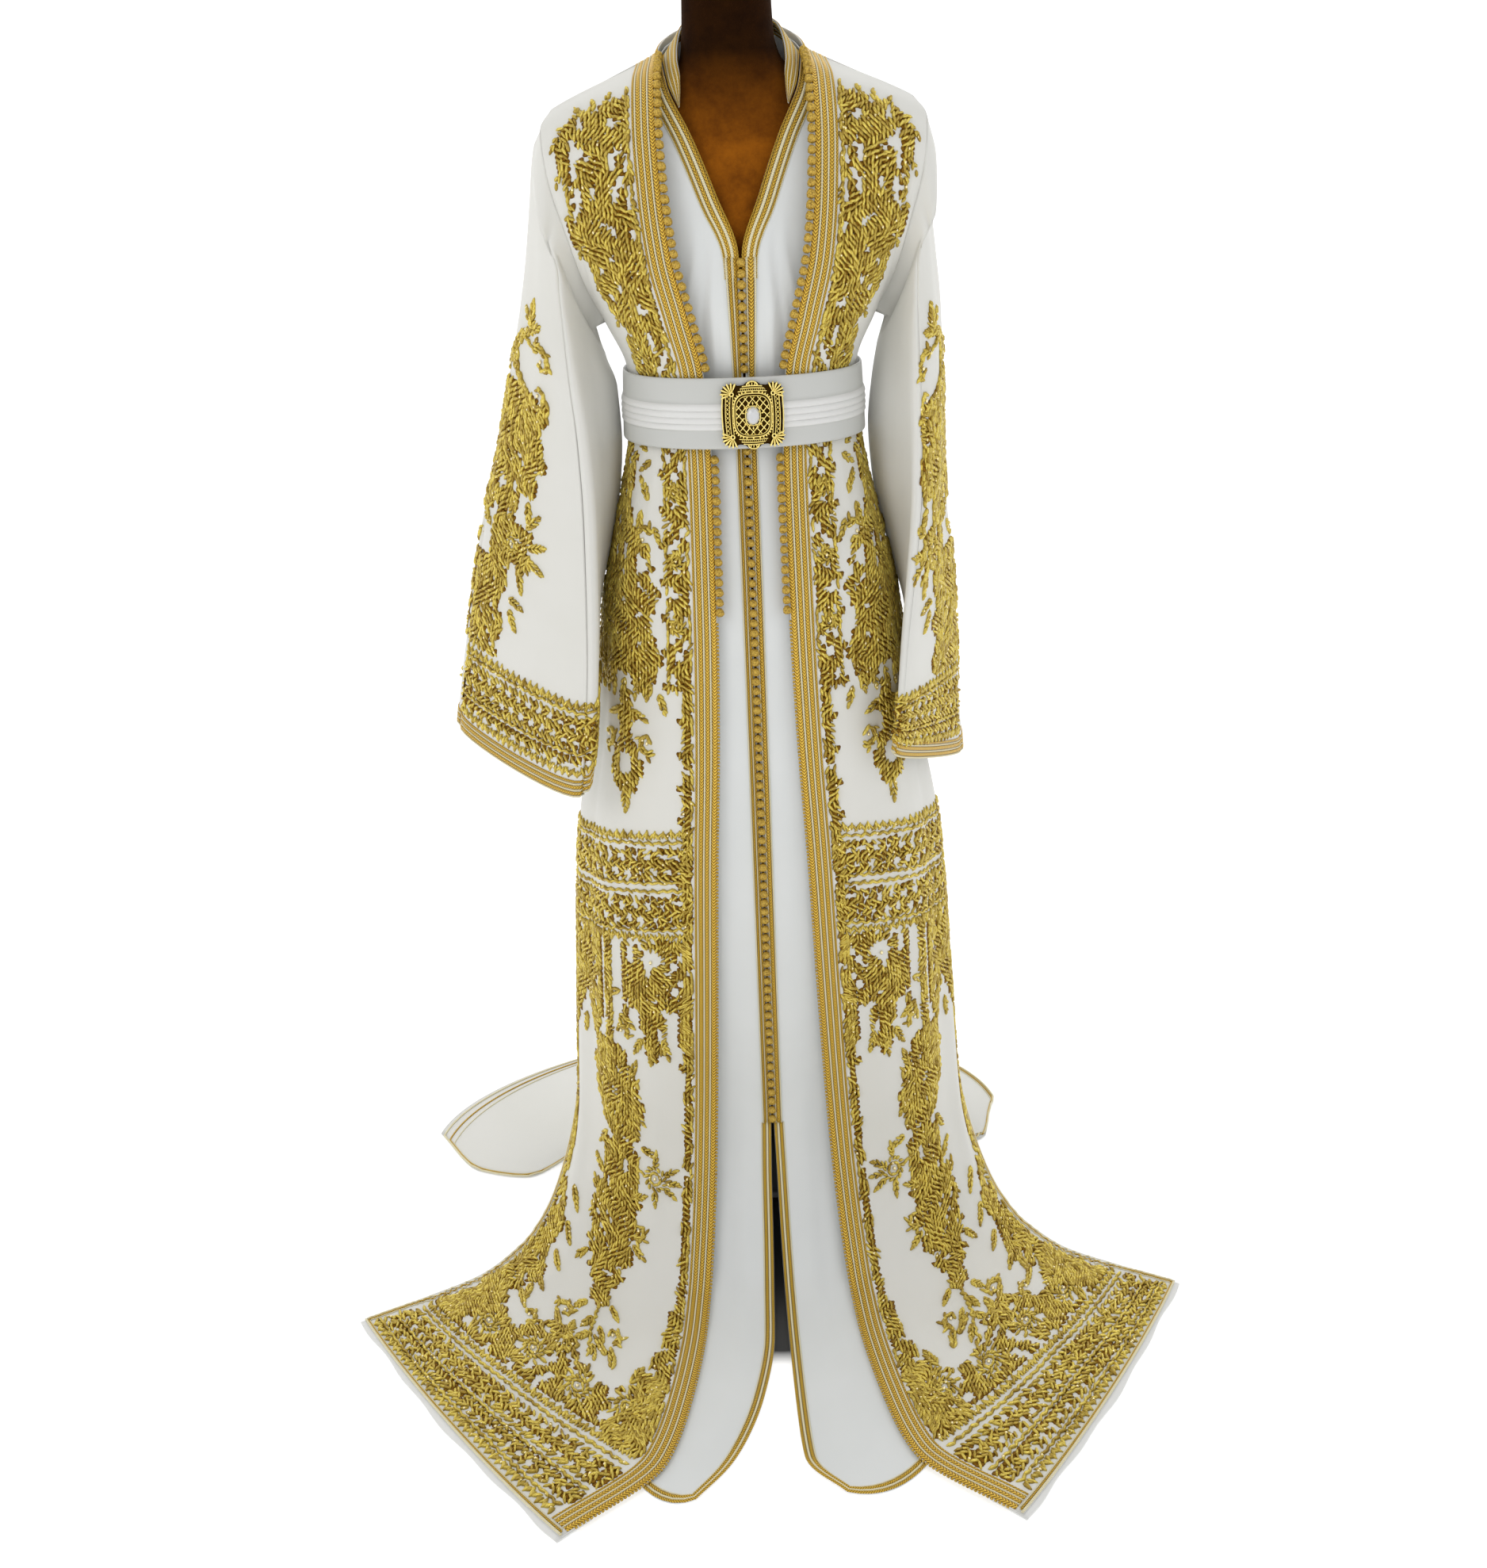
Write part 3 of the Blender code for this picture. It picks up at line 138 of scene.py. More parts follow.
# the floor glows a little and evenly round the gown; in the hollow of its skirt its colour is painted near black and
# its glow fades out, a painted shade
FLOOR_HALF, FLOOR_LEVEL = 40, -0.0006
HOLLOW_Y, HOLLOW_WIDE, HOLLOW_DEEP = 0.16, 0.15, 0.3
floor_paint, tree, shader = new_finish("pale_floor_painted_hollow_shade", (0.8, 0.8, 0.8), 0.8)
place = add_node(tree, "ShaderNodeTexCoord").outputs["Object"]
hollow = add_node(tree, "ShaderNodeMapping", {
    "Vector": place, "Location": (0.0, HOLLOW_Y / HOLLOW_DEEP, 0.0),
    "Scale": (1.0 / HOLLOW_WIDE, 1.0 / HOLLOW_DEEP, 0.0)})
reach = add_node(tree, "ShaderNodeVectorMath", {0: hollow.outputs["Vector"]}, operation="LENGTH")
glow_and_painted_shade_mask = add_node(tree, "ShaderNodeMapRange", {
    "Value": reach.outputs["Value"], "From Min": 0.96, "From Max": 1.04, "To Max": 0.3}).outputs["Result"]
# inside the hollow the floor's colour is painted near black: painted shade under the skirt
painted_hollow_shade = ramp_node(tree, glow_and_painted_shade_mask, ((0.0, (0.03, 0.03, 0.03)), (0.3, (0.96, 0.96, 0.96))))
feed(tree, shader, {"Emission Color": (*WHITE, 1.0), "Emission Strength": glow_and_painted_shade_mask, "Base Color": painted_hollow_shade})
staged_sheet("floor", [(x * FLOOR_HALF, y * FLOOR_HALF, FLOOR_LEVEL)
                       for x, y in ((-1, -1), (1, -1), (1, 1), (-1, 1))], floor_paint)
wall_paint, tree, shader = new_finish("white_backdrop", (0.5, 0.5, 0.5), 0.5)
feed(tree, shader, {"Emission Color": (*WHITE, 1.0), "Emission Strength": 0.85})
staged_sheet("backdrop", [(-40, 14, -0.001), (40, 14, -0.001), (40, 14, 30), (-40, 14, 30)], wall_paint)

# The robe fronts: two long panels of ivory silk that hang open and spread over the floor in front.
# Each row of the table is a level from the shoulder down; t counts the rows.
# Columns: z, x, y of the front edge, z, x, y of the side edge, then how far the cloth bows out.
WALL_ROBE = 0.0016
FLOOR_ROBE = 0.0034
FLOOR_ROW = 12.0
ROBE_FRONT = [
    (1.449, 0.082, 0.012, 1.394, 0.206, 0.004, 0.0),
    (1.425, 0.086, -0.04, 1.372, 0.218, -0.022, 0.25),
    (1.375, 0.087, -0.078, 1.325, 0.213, -0.046, 0.45),
    (1.31, 0.0845, -0.102, 1.262, 0.196, -0.052, 0.6),
    (1.24, 0.077, -0.12, 1.205, 0.179, -0.027, 0.85),
    (1.172, 0.061, -0.1275, 1.16, 0.16, -0.0002, 0.97),
    (1.11, 0.047, -0.115, 1.105, 0.137, -0.0002, 0.94),
    (1.058, 0.043, -0.109, 1.058, 0.134, -0.0002, 0.94),
    (0.995, 0.0415, -0.115, 0.995, 0.144, -0.0002, 0.96),
    (0.83, 0.0435, -0.148, 0.83, 0.183, -0.0002, 1.0),
    (0.675, 0.0485, -0.163, 0.675, 0.206, -0.0002, 1.0),
    (0.515, 0.057, -0.178, 0.515, 0.237, -0.0002, 0.95),
    (0.35, 0.064, -0.19, 0.35, 0.251, -0.0002, 0.9),
    (0.2, 0.071, -0.21, 0.215, 0.26, -0.012, 0.85),
    (0.105, 0.077, -0.245, 0.12, 0.266, -0.045, 0.8),
    (0.045, 0.083, -0.3, 0.055, 0.282, -0.1, 0.7),
    (0.011, 0.089, -0.36, 0.015, 0.306, -0.165, 0.55),
    (FLOOR_ROBE, 0.0955, -0.43, FLOOR_ROBE, 0.335, -0.225, 0.45),
    (FLOOR_ROBE, 0.11, -0.525, FLOOR_ROBE, 0.376, -0.282, 0.3),
    (FLOOR_ROBE, 0.137, -0.625, FLOOR_ROBE, 0.436, -0.321, 0.2),
    (FLOOR_ROBE, 0.243, -0.721, FLOOR_ROBE, 0.508, -0.36, 0.11),
]
# Folds: share across where each starts and ends, height, width, from row, to row.
ROBE_FOLDS = [
    (0.6, 0.5, 0.005, 0.1, 7.0, 15.5),
    (0.86, 0.8, 0.006, 0.07, 10.3, 16.5),
    (0.34, 0.3, 0.0035, 0.07, 11.0, 17.0),
    (0.48, 0.56, 0.003, 0.06, 16.0, 20.0),
]
ROBE_CREASES = [
    (0.45, 0.52, 0.0016, 0.03, 7.4, 11.5),
    (0.72, 0.7, -0.0022, 0.035, 8.0, 13.5),
    (0.92, 0.93, 0.0022, 0.025, 2.0, 5.0),
    (0.78, 0.84, -0.0016, 0.03, 1.0, 4.6),
    (0.25, 0.3, 0.0014, 0.025, 12.0, 16.0),
    (0.66, 0.76, 0.0018, 0.04, 14.0, 18.5),
    (0.2, 0.26, 0.0012, 0.04, 16.5, 19.8),
    (0.85, 0.9, -0.0014, 0.03, 11.0, 15.0),
]


def row_at(table, t):
    last = len(table) - 1
    t = min(max(t, 0.0), float(last))
    k = min(int(t), last - 1)
    f = t - k
    out = []
    for c in range(len(table[0])):
        y0 = table[k][c]
        y1 = table[k + 1][c]
        d1 = y1 - y0
        d0 = y0 - table[k - 1][c] if k > 0 else d1
        d2 = table[k + 2][c] - y1 if k + 2 <= last else d1
        m0 = 2.0 * d0 * d1 / (d0 + d1) if d0 * d1 > 0.0 else 0.0
        m1 = 2.0 * d1 * d2 / (d1 + d2) if d1 * d2 > 0.0 else 0.0
        if k == 0:
            m0 = d1
        if k + 1 == last:
            m1 = d1
        h = f * f * (3.0 - 2.0 * f)
        out.append(y0 + d1 * h + m0 * f * (1.0 - f) ** 2 - m1 * f * f * (1.0 - f))
    return out


def between(front, side, bow, u):
    mid_x = 0.5 * (front[0] + side[0])
    mid_y = 0.5 * (front[1] + side[1])
    cen_x = mid_x + bow * (front[0] - mid_x)
    cen_y = mid_y + bow * (side[1] - mid_y)
    a = 0.5 * np.pi * u
    x = cen_x + (front[0] - cen_x) * np.cos(a) + (side[0] - cen_x) * np.sin(a)
    y = cen_y + (front[1] - cen_y) * np.cos(a) + (side[1] - cen_y) * np.sin(a)
    return x, y


def robe_front_points(side, us, ts):
    rows = []
    for t in ts:
        zf, xf, yf, zs, xs, ys, bow = row_at(ROBE_FRONT, t)
        x, y = between((xf, yf), (xs, ys), bow, us)
        spread = max(0.0, (t - 14.0) / 6.0)
        reach = 1.0 + (0.026 * spread if side < 0 else -0.026 * spread)
        rows.append(np.stack([side * x * reach, y, zf + (zs - zf) * us], axis=1))
    return np.array(rows)


def fold_rise(table, us, ts):
    """Rise of the folds over the whole grid; every fold fades in and out along its length."""
    rise = np.zeros((len(ts), len(us)))
    for start, end, high, wide, first, last in table:
        f = (ts - first) / (last - first)
        live = (f > 0.0) & (f < 1.0)
        f = np.clip(f, 0.0, 1.0)
        centre = start + (end - start) * f
        along = np.where(live, high * np.sin(np.pi * f) ** 0.8, 0.0)
        rise += along[:, None] * np.exp(-((np.abs(us)[None, :] - centre[:, None]) / wide) ** 2)
    return rise


def grid_normals(grid, ring=False):
    if ring:
        du = np.roll(grid, -1, axis=1) - np.roll(grid, 1, axis=1)
    else:
        du = np.gradient(grid, axis=1)
    dv = np.gradient(grid, axis=0)
    n = np.cross(du, dv)
    return n / np.maximum(np.linalg.norm(n, axis=2, keepdims=True), 1e-12)


def unit(vectors, least=1e-9):
    return vectors / np.maximum(np.linalg.norm(vectors, axis=-1, keepdims=True), least)


def lengths_along(points):
    """How far each point of a line is from its start."""
    return np.concatenate([[0.0], np.cumsum(np.linalg.norm(np.diff(points, axis=0), axis=1))])


# A laid-out panel: points on its outer face, normals, and the measured way across and down it.
# Places on the panel are then given in metres from the front edge and from the shoulder.
def lay_out(grid, flip, wall, rise, us, ts, down_col, ring=False):
    flat = (grid[..., 2] < FLOOR_ROBE + 0.0005) & (ts[:, None] > FLOOR_ROW)

    def facing(points):
        return np.where(flat[..., None], np.array([0.0, 0.0, 1.0]), grid_normals(points, ring) * flip)

    normal = facing(grid)
    base = grid + normal * rise[..., None]
    face = base + normal * wall
    face[..., 2] = np.maximum(face[..., 2], 0.0003)
    step = np.linalg.norm(np.diff(face, axis=1), axis=2)
    across = np.concatenate([np.zeros((len(ts), 1)), np.cumsum(step, axis=1)], axis=1)
    return {"base": base, "face": face, "normal": facing(face), "across": across,
            "down": lengths_along(face[:, down_col]), "us": us, "ts": ts, "ring": ring}


def spots(panel, xs, ys):
    """Points and normals on a panel at distances xs from its front edge and ys down it."""
    xs = np.asarray(xs, dtype=float)
    ys = np.asarray(ys, dtype=float)
    down = panel["down"]
    row = np.interp(ys, down, np.arange(len(down)))
    j = np.minimum(row.astype(int), len(down) - 2)
    fj = row - j
    cols = panel["across"].shape[1]
    width = panel["across"][j] * (1.0 - fj)[:, None] + panel["across"][j + 1] * fj[:, None]
    over = (width <= xs[:, None]).sum(axis=1) - 1
    i = np.clip(over, 0, cols - 2)
    lo = width[np.arange(len(xs)), i]
    hi = width[np.arange(len(xs)), i + 1]
    fi = (xs - lo) / np.maximum(hi - lo, 1e-9)
    found = []
    for key in ("face", "normal"):
        g = panel[key]
        a = g[j, i] * (1 - fi)[:, None] + g[j, i + 1] * fi[:, None]
        b = g[j + 1, i] * (1 - fi)[:, None] + g[j + 1, i + 1] * fi[:, None]
        found.append(a * (1 - fj)[:, None] + b * fj[:, None])
    return found[0], unit(found[1])


def down_at(panel, t):
    return float(np.interp(t, panel["ts"], panel["down"]))


def panel_width(panel, y):
    last = len(panel["down"]) - 1
    return float(panel["across"][min(int(np.interp(y, panel["down"], np.arange(last + 1))), last), -1])


def mesh_piece(name, verts, faces, finish, uvs=None):
    mesh = bpy.data.meshes.new(name)
    mesh.from_pydata(np.asarray(verts).tolist(), [], [tuple(int(v) for v in f) for f in faces])
    if uvs is not None:
        layer = mesh.uv_layers.new(name="UVMap")
        loops = np.zeros(len(mesh.loops), dtype=np.int32)
        mesh.loops.foreach_get("vertex_index", loops)
        layer.data.foreach_set("uv", np.asarray(uvs, dtype=np.float32)[loops].ravel())
    mesh.polygons.foreach_set("use_smooth", [True] * len(mesh.polygons))
    mesh.materials.append(finish)
    mesh.validate()
    mesh.update()
    return in_scene(name, mesh)


def outward(thing):
    mesh = thing.data
    mesh.calc_loop_triangles()
    co = np.zeros(len(mesh.vertices) * 3)
    mesh.vertices.foreach_get("co", co)
    co = co.reshape(-1, 3)
    tri = np.zeros(len(mesh.loop_triangles) * 3, dtype=np.int32)
    mesh.loop_triangles.foreach_get("vertices", tri)
    tri = tri.reshape(-1, 3)
    a, b, c = co[tri[:, 0]], co[tri[:, 1]], co[tri[:, 2]]
    if float(np.einsum("ij,ij->i", a, np.cross(b, c)).sum()) < 0.0:
        mesh.flip_normals()
    return thing


def cloth_shell(name, panel, finish):
    """A thin closed shell from a laid-out panel, with its weave measured in metres along the cloth."""
    base, face = panel["base"], panel["face"]
    rows, cols = base.shape[:2]
    ring = panel["ring"]
    wide = cols if ring else cols - 1
    shift = rows * cols
    verts = np.concatenate([base.reshape(-1, 3), face.reshape(-1, 3)])
    uv = np.stack([panel["across"], np.repeat(panel["down"][:, None], cols, axis=1)], axis=2).reshape(-1, 2)
    uvs = np.concatenate([uv, uv])
    faces = []
    for j in range(rows - 1):
        for i in range(wide):
            n = (i + 1) % cols
            a, b, c, d = j * cols + i, j * cols + n, (j + 1) * cols + n, (j + 1) * cols + i
            faces += [(a + shift, b + shift, c + shift, d + shift), (a, d, c, b)]
    rims = []
    for i in range(wide):
        n = (i + 1) % cols
        rims += [(i, n), ((rows - 1) * cols + n, (rows - 1) * cols + i)]
    for j in range(0 if ring else rows - 1):
        rims += [((j + 1) * cols, j * cols), ((j + 1) * cols - 1, (j + 2) * cols - 1)]
    faces += [(a, b, b + shift, a + shift) for a, b in rims]
    return outward(mesh_piece(name, verts, faces, finish, uvs))


def mixed(tree, factor, a, b, blend="MIX"):
    return add_node(tree, "ShaderNodeMix", {"Factor": factor, "A": a, "B": b},
                    data_type="RGBA", blend_type=blend).outputs["Result"]


def new_group(name, *numbers):
    """A shader group that is given a place, some numbers and two colours, and its own inputs."""
    group = bpy.data.node_groups.new(name, "ShaderNodeTree")
    kinds = {"Place": "Vector", **dict.fromkeys(numbers, "Float"),
             "Light": "Color", "Dark": "Color", "Depth": "Float"}
    for label, kind in kinds.items():
        group.interface.new_socket(label, in_out="INPUT", socket_type="NodeSocket" + kind)
    for label, kind in (("Color", "Color"), ("Normal", "Vector")):
        group.interface.new_socket(label, in_out="OUTPUT", socket_type="NodeSocket" + kind)
    return group, add_node(group, "NodeGroupInput").outputs


def end_group(group, given, height, factor, distance):
    bump = add_node(group, "ShaderNodeBump", {"Strength": given["Depth"], "Distance": distance, "Height": height})
    add_node(group, "NodeGroupOutput", {"Color": mixed(group, factor, given["Dark"], given["Light"]),
                                        "Normal": bump.outputs["Normal"]})
    return group


def worked_finish(name, group, light, dark, rough, metal, **given):
    """A finish whose colour and relief come from a group, laid along the piece's own measures."""
    finish, tree, shader = new_finish(name, light, rough, metal)
    place = add_node(tree, "ShaderNodeUVMap", uv_map="UVMap").outputs["UV"]
    made = add_node(tree, "ShaderNodeGroup", {
        "Place": place, "Light": (*light, 1.0), "Dark": (*dark, 1.0), **given}, node_tree=group)
    feed(tree, shader, {"Base Color": made.outputs["Color"], "Normal": made.outputs["Normal"]})
    return finish


# The weave group: fine crossed threads and slow soft mottling, from the cloth's own measures.
def weave_group():
    group, given = new_group("woven_cloth", "Threads")
    warp, weft = (
        add_node(group, "ShaderNodeTexWave", {"Distortion": 0.6, "Detail": 1.0, "Vector": given["Place"],
                                              "Scale": given["Threads"]},
                 wave_type="BANDS", bands_direction=axis).outputs["Fac"] for axis in ("X", "Y"))
    height = add_node(group, "ShaderNodeMath", {0: warp, 1: weft}, operation="MULTIPLY").outputs[0]
    mottle = add_node(group, "ShaderNodeTexNoise", {"Scale": 9.0, "Detail": 3.0, "Vector": given["Place"]})
    return end_group(group, given, height, mottle.outputs["Fac"], 0.0002)


WOVEN = weave_group()


def woven_finish(name, light, dark, rough, sheen, threads, depth):
    finish = worked_finish(name, WOVEN, light, dark, rough, 0.0, Threads=threads, Depth=depth)
    tree = finish.node_tree
    feed(tree, tree.nodes["Principled BSDF"], {"Sheen Weight": sheen, "Sheen Roughness": 0.4})
    return finish


def dress(piece, slot_name, *nodes):
    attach(piece, "root")
    if nodes:
        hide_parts(*nodes)


robe_silk = woven_finish("robe_silk_finish", (0.755, 0.75, 0.715), (0.7, 0.695, 0.645), 0.62, 0.15, 420.0, 0.25)
ROBE_US = np.linspace(0.0, 1.0, 46)
ROBE_TS = np.concatenate([np.linspace(0.0, 12.0, 105)[:-1], np.linspace(12.0, 17.0, 50)[:-1],
                          np.linspace(17.0, 20.0, 34)])
robe_panels = {}
robe_cloth = {}
for side, word in ((-1, "left"), (1, "right")):
    rise = fold_rise(ROBE_FOLDS, ROBE_US, ROBE_TS) + fold_rise(ROBE_CREASES, ROBE_US, ROBE_TS)
    grid = robe_front_points(side, ROBE_US, ROBE_TS)
    panel = lay_out(grid, -side, WALL_ROBE, rise, ROBE_US, ROBE_TS, 4)
    robe_panels[word] = panel
    robe_cloth[word] = cloth_shell("robe_front_cloth_" + word, panel, robe_silk)
    dress(robe_cloth[word], "robe_silk", "robe_front_" + word)

# The robe back: one panel of the same silk from side seam to side seam, with a short train.
# Columns: z, y of the centre back, z, x, y of the side edge, bow; the train: centre y, x, y, bow.
ROBE_BACK = [
    (1.485, 0.068, 1.394, 0.206, 0.0044, 0.3),
    (1.414, 0.084, 1.372, 0.218, 0.03, 0.5),
    (1.36, 0.096, 1.325, 0.213, 0.05, 0.6),
    (1.29, 0.106, 1.262, 0.196, 0.056, 0.7),
    (1.225, 0.108, 1.205, 0.179, 0.031, 0.9),
    (1.16, 0.101, 1.16, 0.16, 0.0002, 0.98),
    (1.105, 0.094, 1.105, 0.137, 0.0002, 0.97),
    (1.058, 0.093, 1.058, 0.134, 0.0002, 0.97),
    (0.995, 0.103, 0.995, 0.144, 0.0002, 0.97),
    (0.83, 0.138, 0.83, 0.183, 0.0002, 1.0),
    (0.675, 0.152, 0.675, 0.206, 0.0002, 1.0),
    (0.515, 0.164, 0.515, 0.237, 0.0002, 0.98),
    (0.35, 0.178, 0.35, 0.251, 0.0002, 0.96),
    (0.215, 0.195, 0.215, 0.26, 0.005, 0.95),
    (0.1, 0.216, 0.1, 0.266, 0.006, 0.95),
    (0.026, 0.24, 0.026, 0.276, -0.01, 0.95),
    (0.0, 0.27, 0.0, 0.295, -0.03, 0.95),
]
BACK_TRAIN = {
    -1: [(0.285, 0.345, -0.07, 0.95), (0.3, 0.415, -0.05, 0.9), (0.32, 0.484, 0.05, 0.8)],
    1: [(0.285, 0.31, -0.02, 0.95), (0.3, 0.325, 0.035, 0.9), (0.32, 0.34, 0.085, 0.8)],
}
BACK_FOLDS = [
    (0.22, 0.25, 0.007, 0.08, 7.0, 16.5),
    (0.55, 0.52, 0.008, 0.08, 7.5, 16.5),
    (0.82, 0.8, 0.006, 0.06, 10.3, 16.0),
]
BACK_CREASES = [
    (0.1, 0.08, 0.002, 0.035, 8.0, 13.5),
    (0.38, 0.4, -0.0026, 0.04, 9.0, 15.5),
    (0.68, 0.7, 0.0024, 0.035, 7.6, 13.0),
    (0.6, 0.66, 0.0016, 0.05, 1.4, 5.6),
    (0.3, 0.34, -0.0012, 0.05, 1.8, 6.0),
    (0.16, 0.12, 0.0012, 0.03, 13.0, 17.5),
]


NECK_SHARE = 0.4


def back_points(table_of, neck, us, ts):
    rows = []
    for t in ts:
        line = []
        for u in us:
            side = -1 if u < 0 else 1
            a = abs(u)
            table = table_of[side]
            zb, yb, zs, xs, ys, bow = row_at(table, t)
            x, y = between((0.0, yb), (xs, ys), bow, a)
            point = np.array([side * x, y, zb + (zs - zb) * a])
            if t < 1.0:
                neck_x, neck_y, neck_z = neck
                top_z, top_y, edge_z, edge_x, edge_y = table[0][:5]
                if a < NECK_SHARE:
                    c = 0.5 * math.pi * a / NECK_SHARE
                    top = np.array([side * neck_x * math.sin(c), neck_y + (top_y - neck_y) * math.cos(c),
                                    neck_z + (top_z - neck_z) * math.cos(c)])
                else:
                    f = (a - NECK_SHARE) / 0.6
                    top = np.array([side * (neck_x + (edge_x - neck_x) * f), neck_y + (edge_y - neck_y) * f,
                                    neck_z + (edge_z - neck_z) * f])
                blend = t * t * (3.0 - 2.0 * t)
                point = top * (1.0 - blend) + point * blend
            line.append(point)
        rows.append(line)
    return np.array(rows)


BACK_US = np.linspace(-1.0, 1.0, 71)
BACK_TS = np.concatenate([np.linspace(0.0, 13.0, 66)[:-1], np.linspace(13.0, 19.0, 45)])
back_tables = {}
for side in (-1, 1):
    back_tables[side] = ROBE_BACK + [(0.0, r[0], 0.0, r[1], r[2], r[3]) for r in BACK_TRAIN[side]]
robe_back_neck = (0.082, 0.0124, 1.449)
grid = back_points(back_tables, robe_back_neck, BACK_US, BACK_TS)
rise = fold_rise(BACK_FOLDS, BACK_US, BACK_TS) + fold_rise(BACK_CREASES, BACK_US, BACK_TS)
back_panel = lay_out(grid, 1.0, WALL_ROBE, rise, BACK_US, BACK_TS, 35)
robe_back_cloth = cloth_shell("robe_back_cloth", back_panel, robe_silk)
dress(robe_back_cloth, "robe_silk", "robe_back")

# The sleeves: wide flared tubes of the same silk, set into the dropped armholes, flattened by hanging.
# Columns, for the right side: outer fold x, y, z, front fold x, y, z, inner fold x, y, z, back bulge.
SLEEVES = {
    -1: [
        (0.2085, 0.004, 1.396, 0.1985, -0.055, 1.278, 0.176, 0.0, 1.175, 0.055),
        (0.229, 0.003, 1.345, 0.206, -0.056, 1.25, 0.172, 0.0, 1.15, 0.055),
        (0.237, 0.0, 1.29, 0.208, -0.06, 1.21, 0.166, 0.0, 1.12, 0.055),
        (0.246, 0.0, 1.23, 0.206, -0.066, 1.16, 0.156, 0.0, 1.085, 0.056),
        (0.259, 0.0, 1.165, 0.203, -0.076, 1.105, 0.1545, 0.0, 1.03, 0.058),
        (0.277, 0.0, 1.09, 0.198, -0.088, 1.035, 0.16, 0.0, 0.97, 0.06),
        (0.296, 0.0, 1.01, 0.196, -0.104, 0.96, 0.174, 0.0, 0.91, 0.06),
        (0.32, 0.0, 0.93, 0.198, -0.12, 0.88, 0.193, 0.0, 0.85, 0.06),
        (0.343, 0.0, 0.83, 0.202, -0.136, 0.79, 0.208, 0.0, 0.815, 0.06),
        (0.37, 0.0, 0.7, 0.213, -0.156, 0.668, 0.222, 0.008, 0.788, 0.058),
        (0.378, 0.0, 0.656, 0.219, -0.162, 0.625, 0.227, 0.01, 0.768, 0.056),
    ],
    1: [
        (0.2085, 0.004, 1.396, 0.1985, -0.055, 1.278, 0.176, 0.0, 1.175, 0.055),
        (0.222, 0.003, 1.345, 0.206, -0.056, 1.25, 0.172, 0.0, 1.15, 0.055),
        (0.223, 0.0, 1.29, 0.204, -0.062, 1.21, 0.166, 0.0, 1.12, 0.055),
        (0.229, 0.0, 1.23, 0.203, -0.07, 1.16, 0.16, 0.0, 1.08, 0.056),
        (0.236, 0.0, 1.16, 0.204, -0.08, 1.105, 0.156, 0.0, 1.03, 0.058),
        (0.239, 0.0, 1.08, 0.205, -0.09, 1.035, 0.16, 0.0, 0.97, 0.064),
        (0.241, 0.0, 1.0, 0.203, -0.102, 0.96, 0.174, 0.002, 0.9, 0.07),
        (0.246, 0.0, 0.92, 0.196, -0.114, 0.88, 0.19, 0.002, 0.84, 0.076),
        (0.256, 0.0, 0.82, 0.185, -0.135, 0.79, 0.209, 0.0, 0.78, 0.076),
        (0.262, -0.005, 0.66, 0.174, -0.16, 0.692, 0.227, -0.006, 0.7, 0.074),
        (0.266, -0.008, 0.595, 0.167, -0.168, 0.657, 0.233, -0.008, 0.665, 0.07),
    ],
}
# Soft folds down each sleeve: turn where it starts and ends, height, width, from row, to row.
SLEEVE_CREASES = [
    (0.14, 0.12, 0.003, 0.022, 1.0, 9.0),
    (0.205, 0.215, -0.0046, 0.026, 1.5, 9.8),
    (0.3, 0.29, 0.0046, 0.022, 2.5, 9.6),
    (0.37, 0.37, -0.0036, 0.025, 1.5, 8.0),
    (0.6, 0.62, 0.0036, 0.03, 1.5, 9.0),
    (0.72, 0.71, -0.004, 0.028, 2.5, 9.6),
    (0.85, 0.86, 0.003, 0.03, 1.5, 8.5),
]


def sleeve_ring(side, turns, t):
    r = row_at(SLEEVES[side], t)
    outer_p, front_p, inner_p = np.array(r[0:3]), np.array(r[3:6]), np.array(r[6:9])
    mid_p = 0.5 * (outer_p + inner_p)
    back_p = mid_p + np.array([0.01, r[9] + 0.5 * abs(mid_p[1]), 0.0])
    corners = [outer_p, front_p, inner_p, back_p]
    ring = []
    for turn in turns:
        s = (turn % 1.0) * 4.0
        k = int(s) % 4
        f = s - int(s)
        p0, p1, p2, p3 = corners[(k - 1) % 4], corners[k], corners[(k + 1) % 4], corners[(k + 2) % 4]
        m1 = 0.55 * (p2 - p0)
        m2 = 0.55 * (p3 - p1)
        h = f * f * (3.0 - 2.0 * f)
        p = p1 + (p2 - p1) * h + (m1 - (p2 - p1)) * f * (1 - f) ** 2 - (m2 - (p2 - p1)) * f * f * (1 - f)
        ring.append((side * p[0], p[1], p[2]))
    return np.array(ring)


def armhole_ring(side, turns):
    ring = []
    for turn in turns:
        t = 5.0 * (turn if turn <= 0.5 else 1.0 - turn) / 0.5
        front = robe_front_points(side, np.array([1.0]), [t])[0, 0]
        back = back_points(back_tables, robe_back_neck, [float(side)], [t])[0, 0]
        rail = front if turn <= 0.5 else back
        if turn in (0.0, 0.5):
            rail = 0.5 * (front + back)
        ring.append(rail + np.array([side * 0.0002, 0.0, 0.0]))
    return np.array(ring)


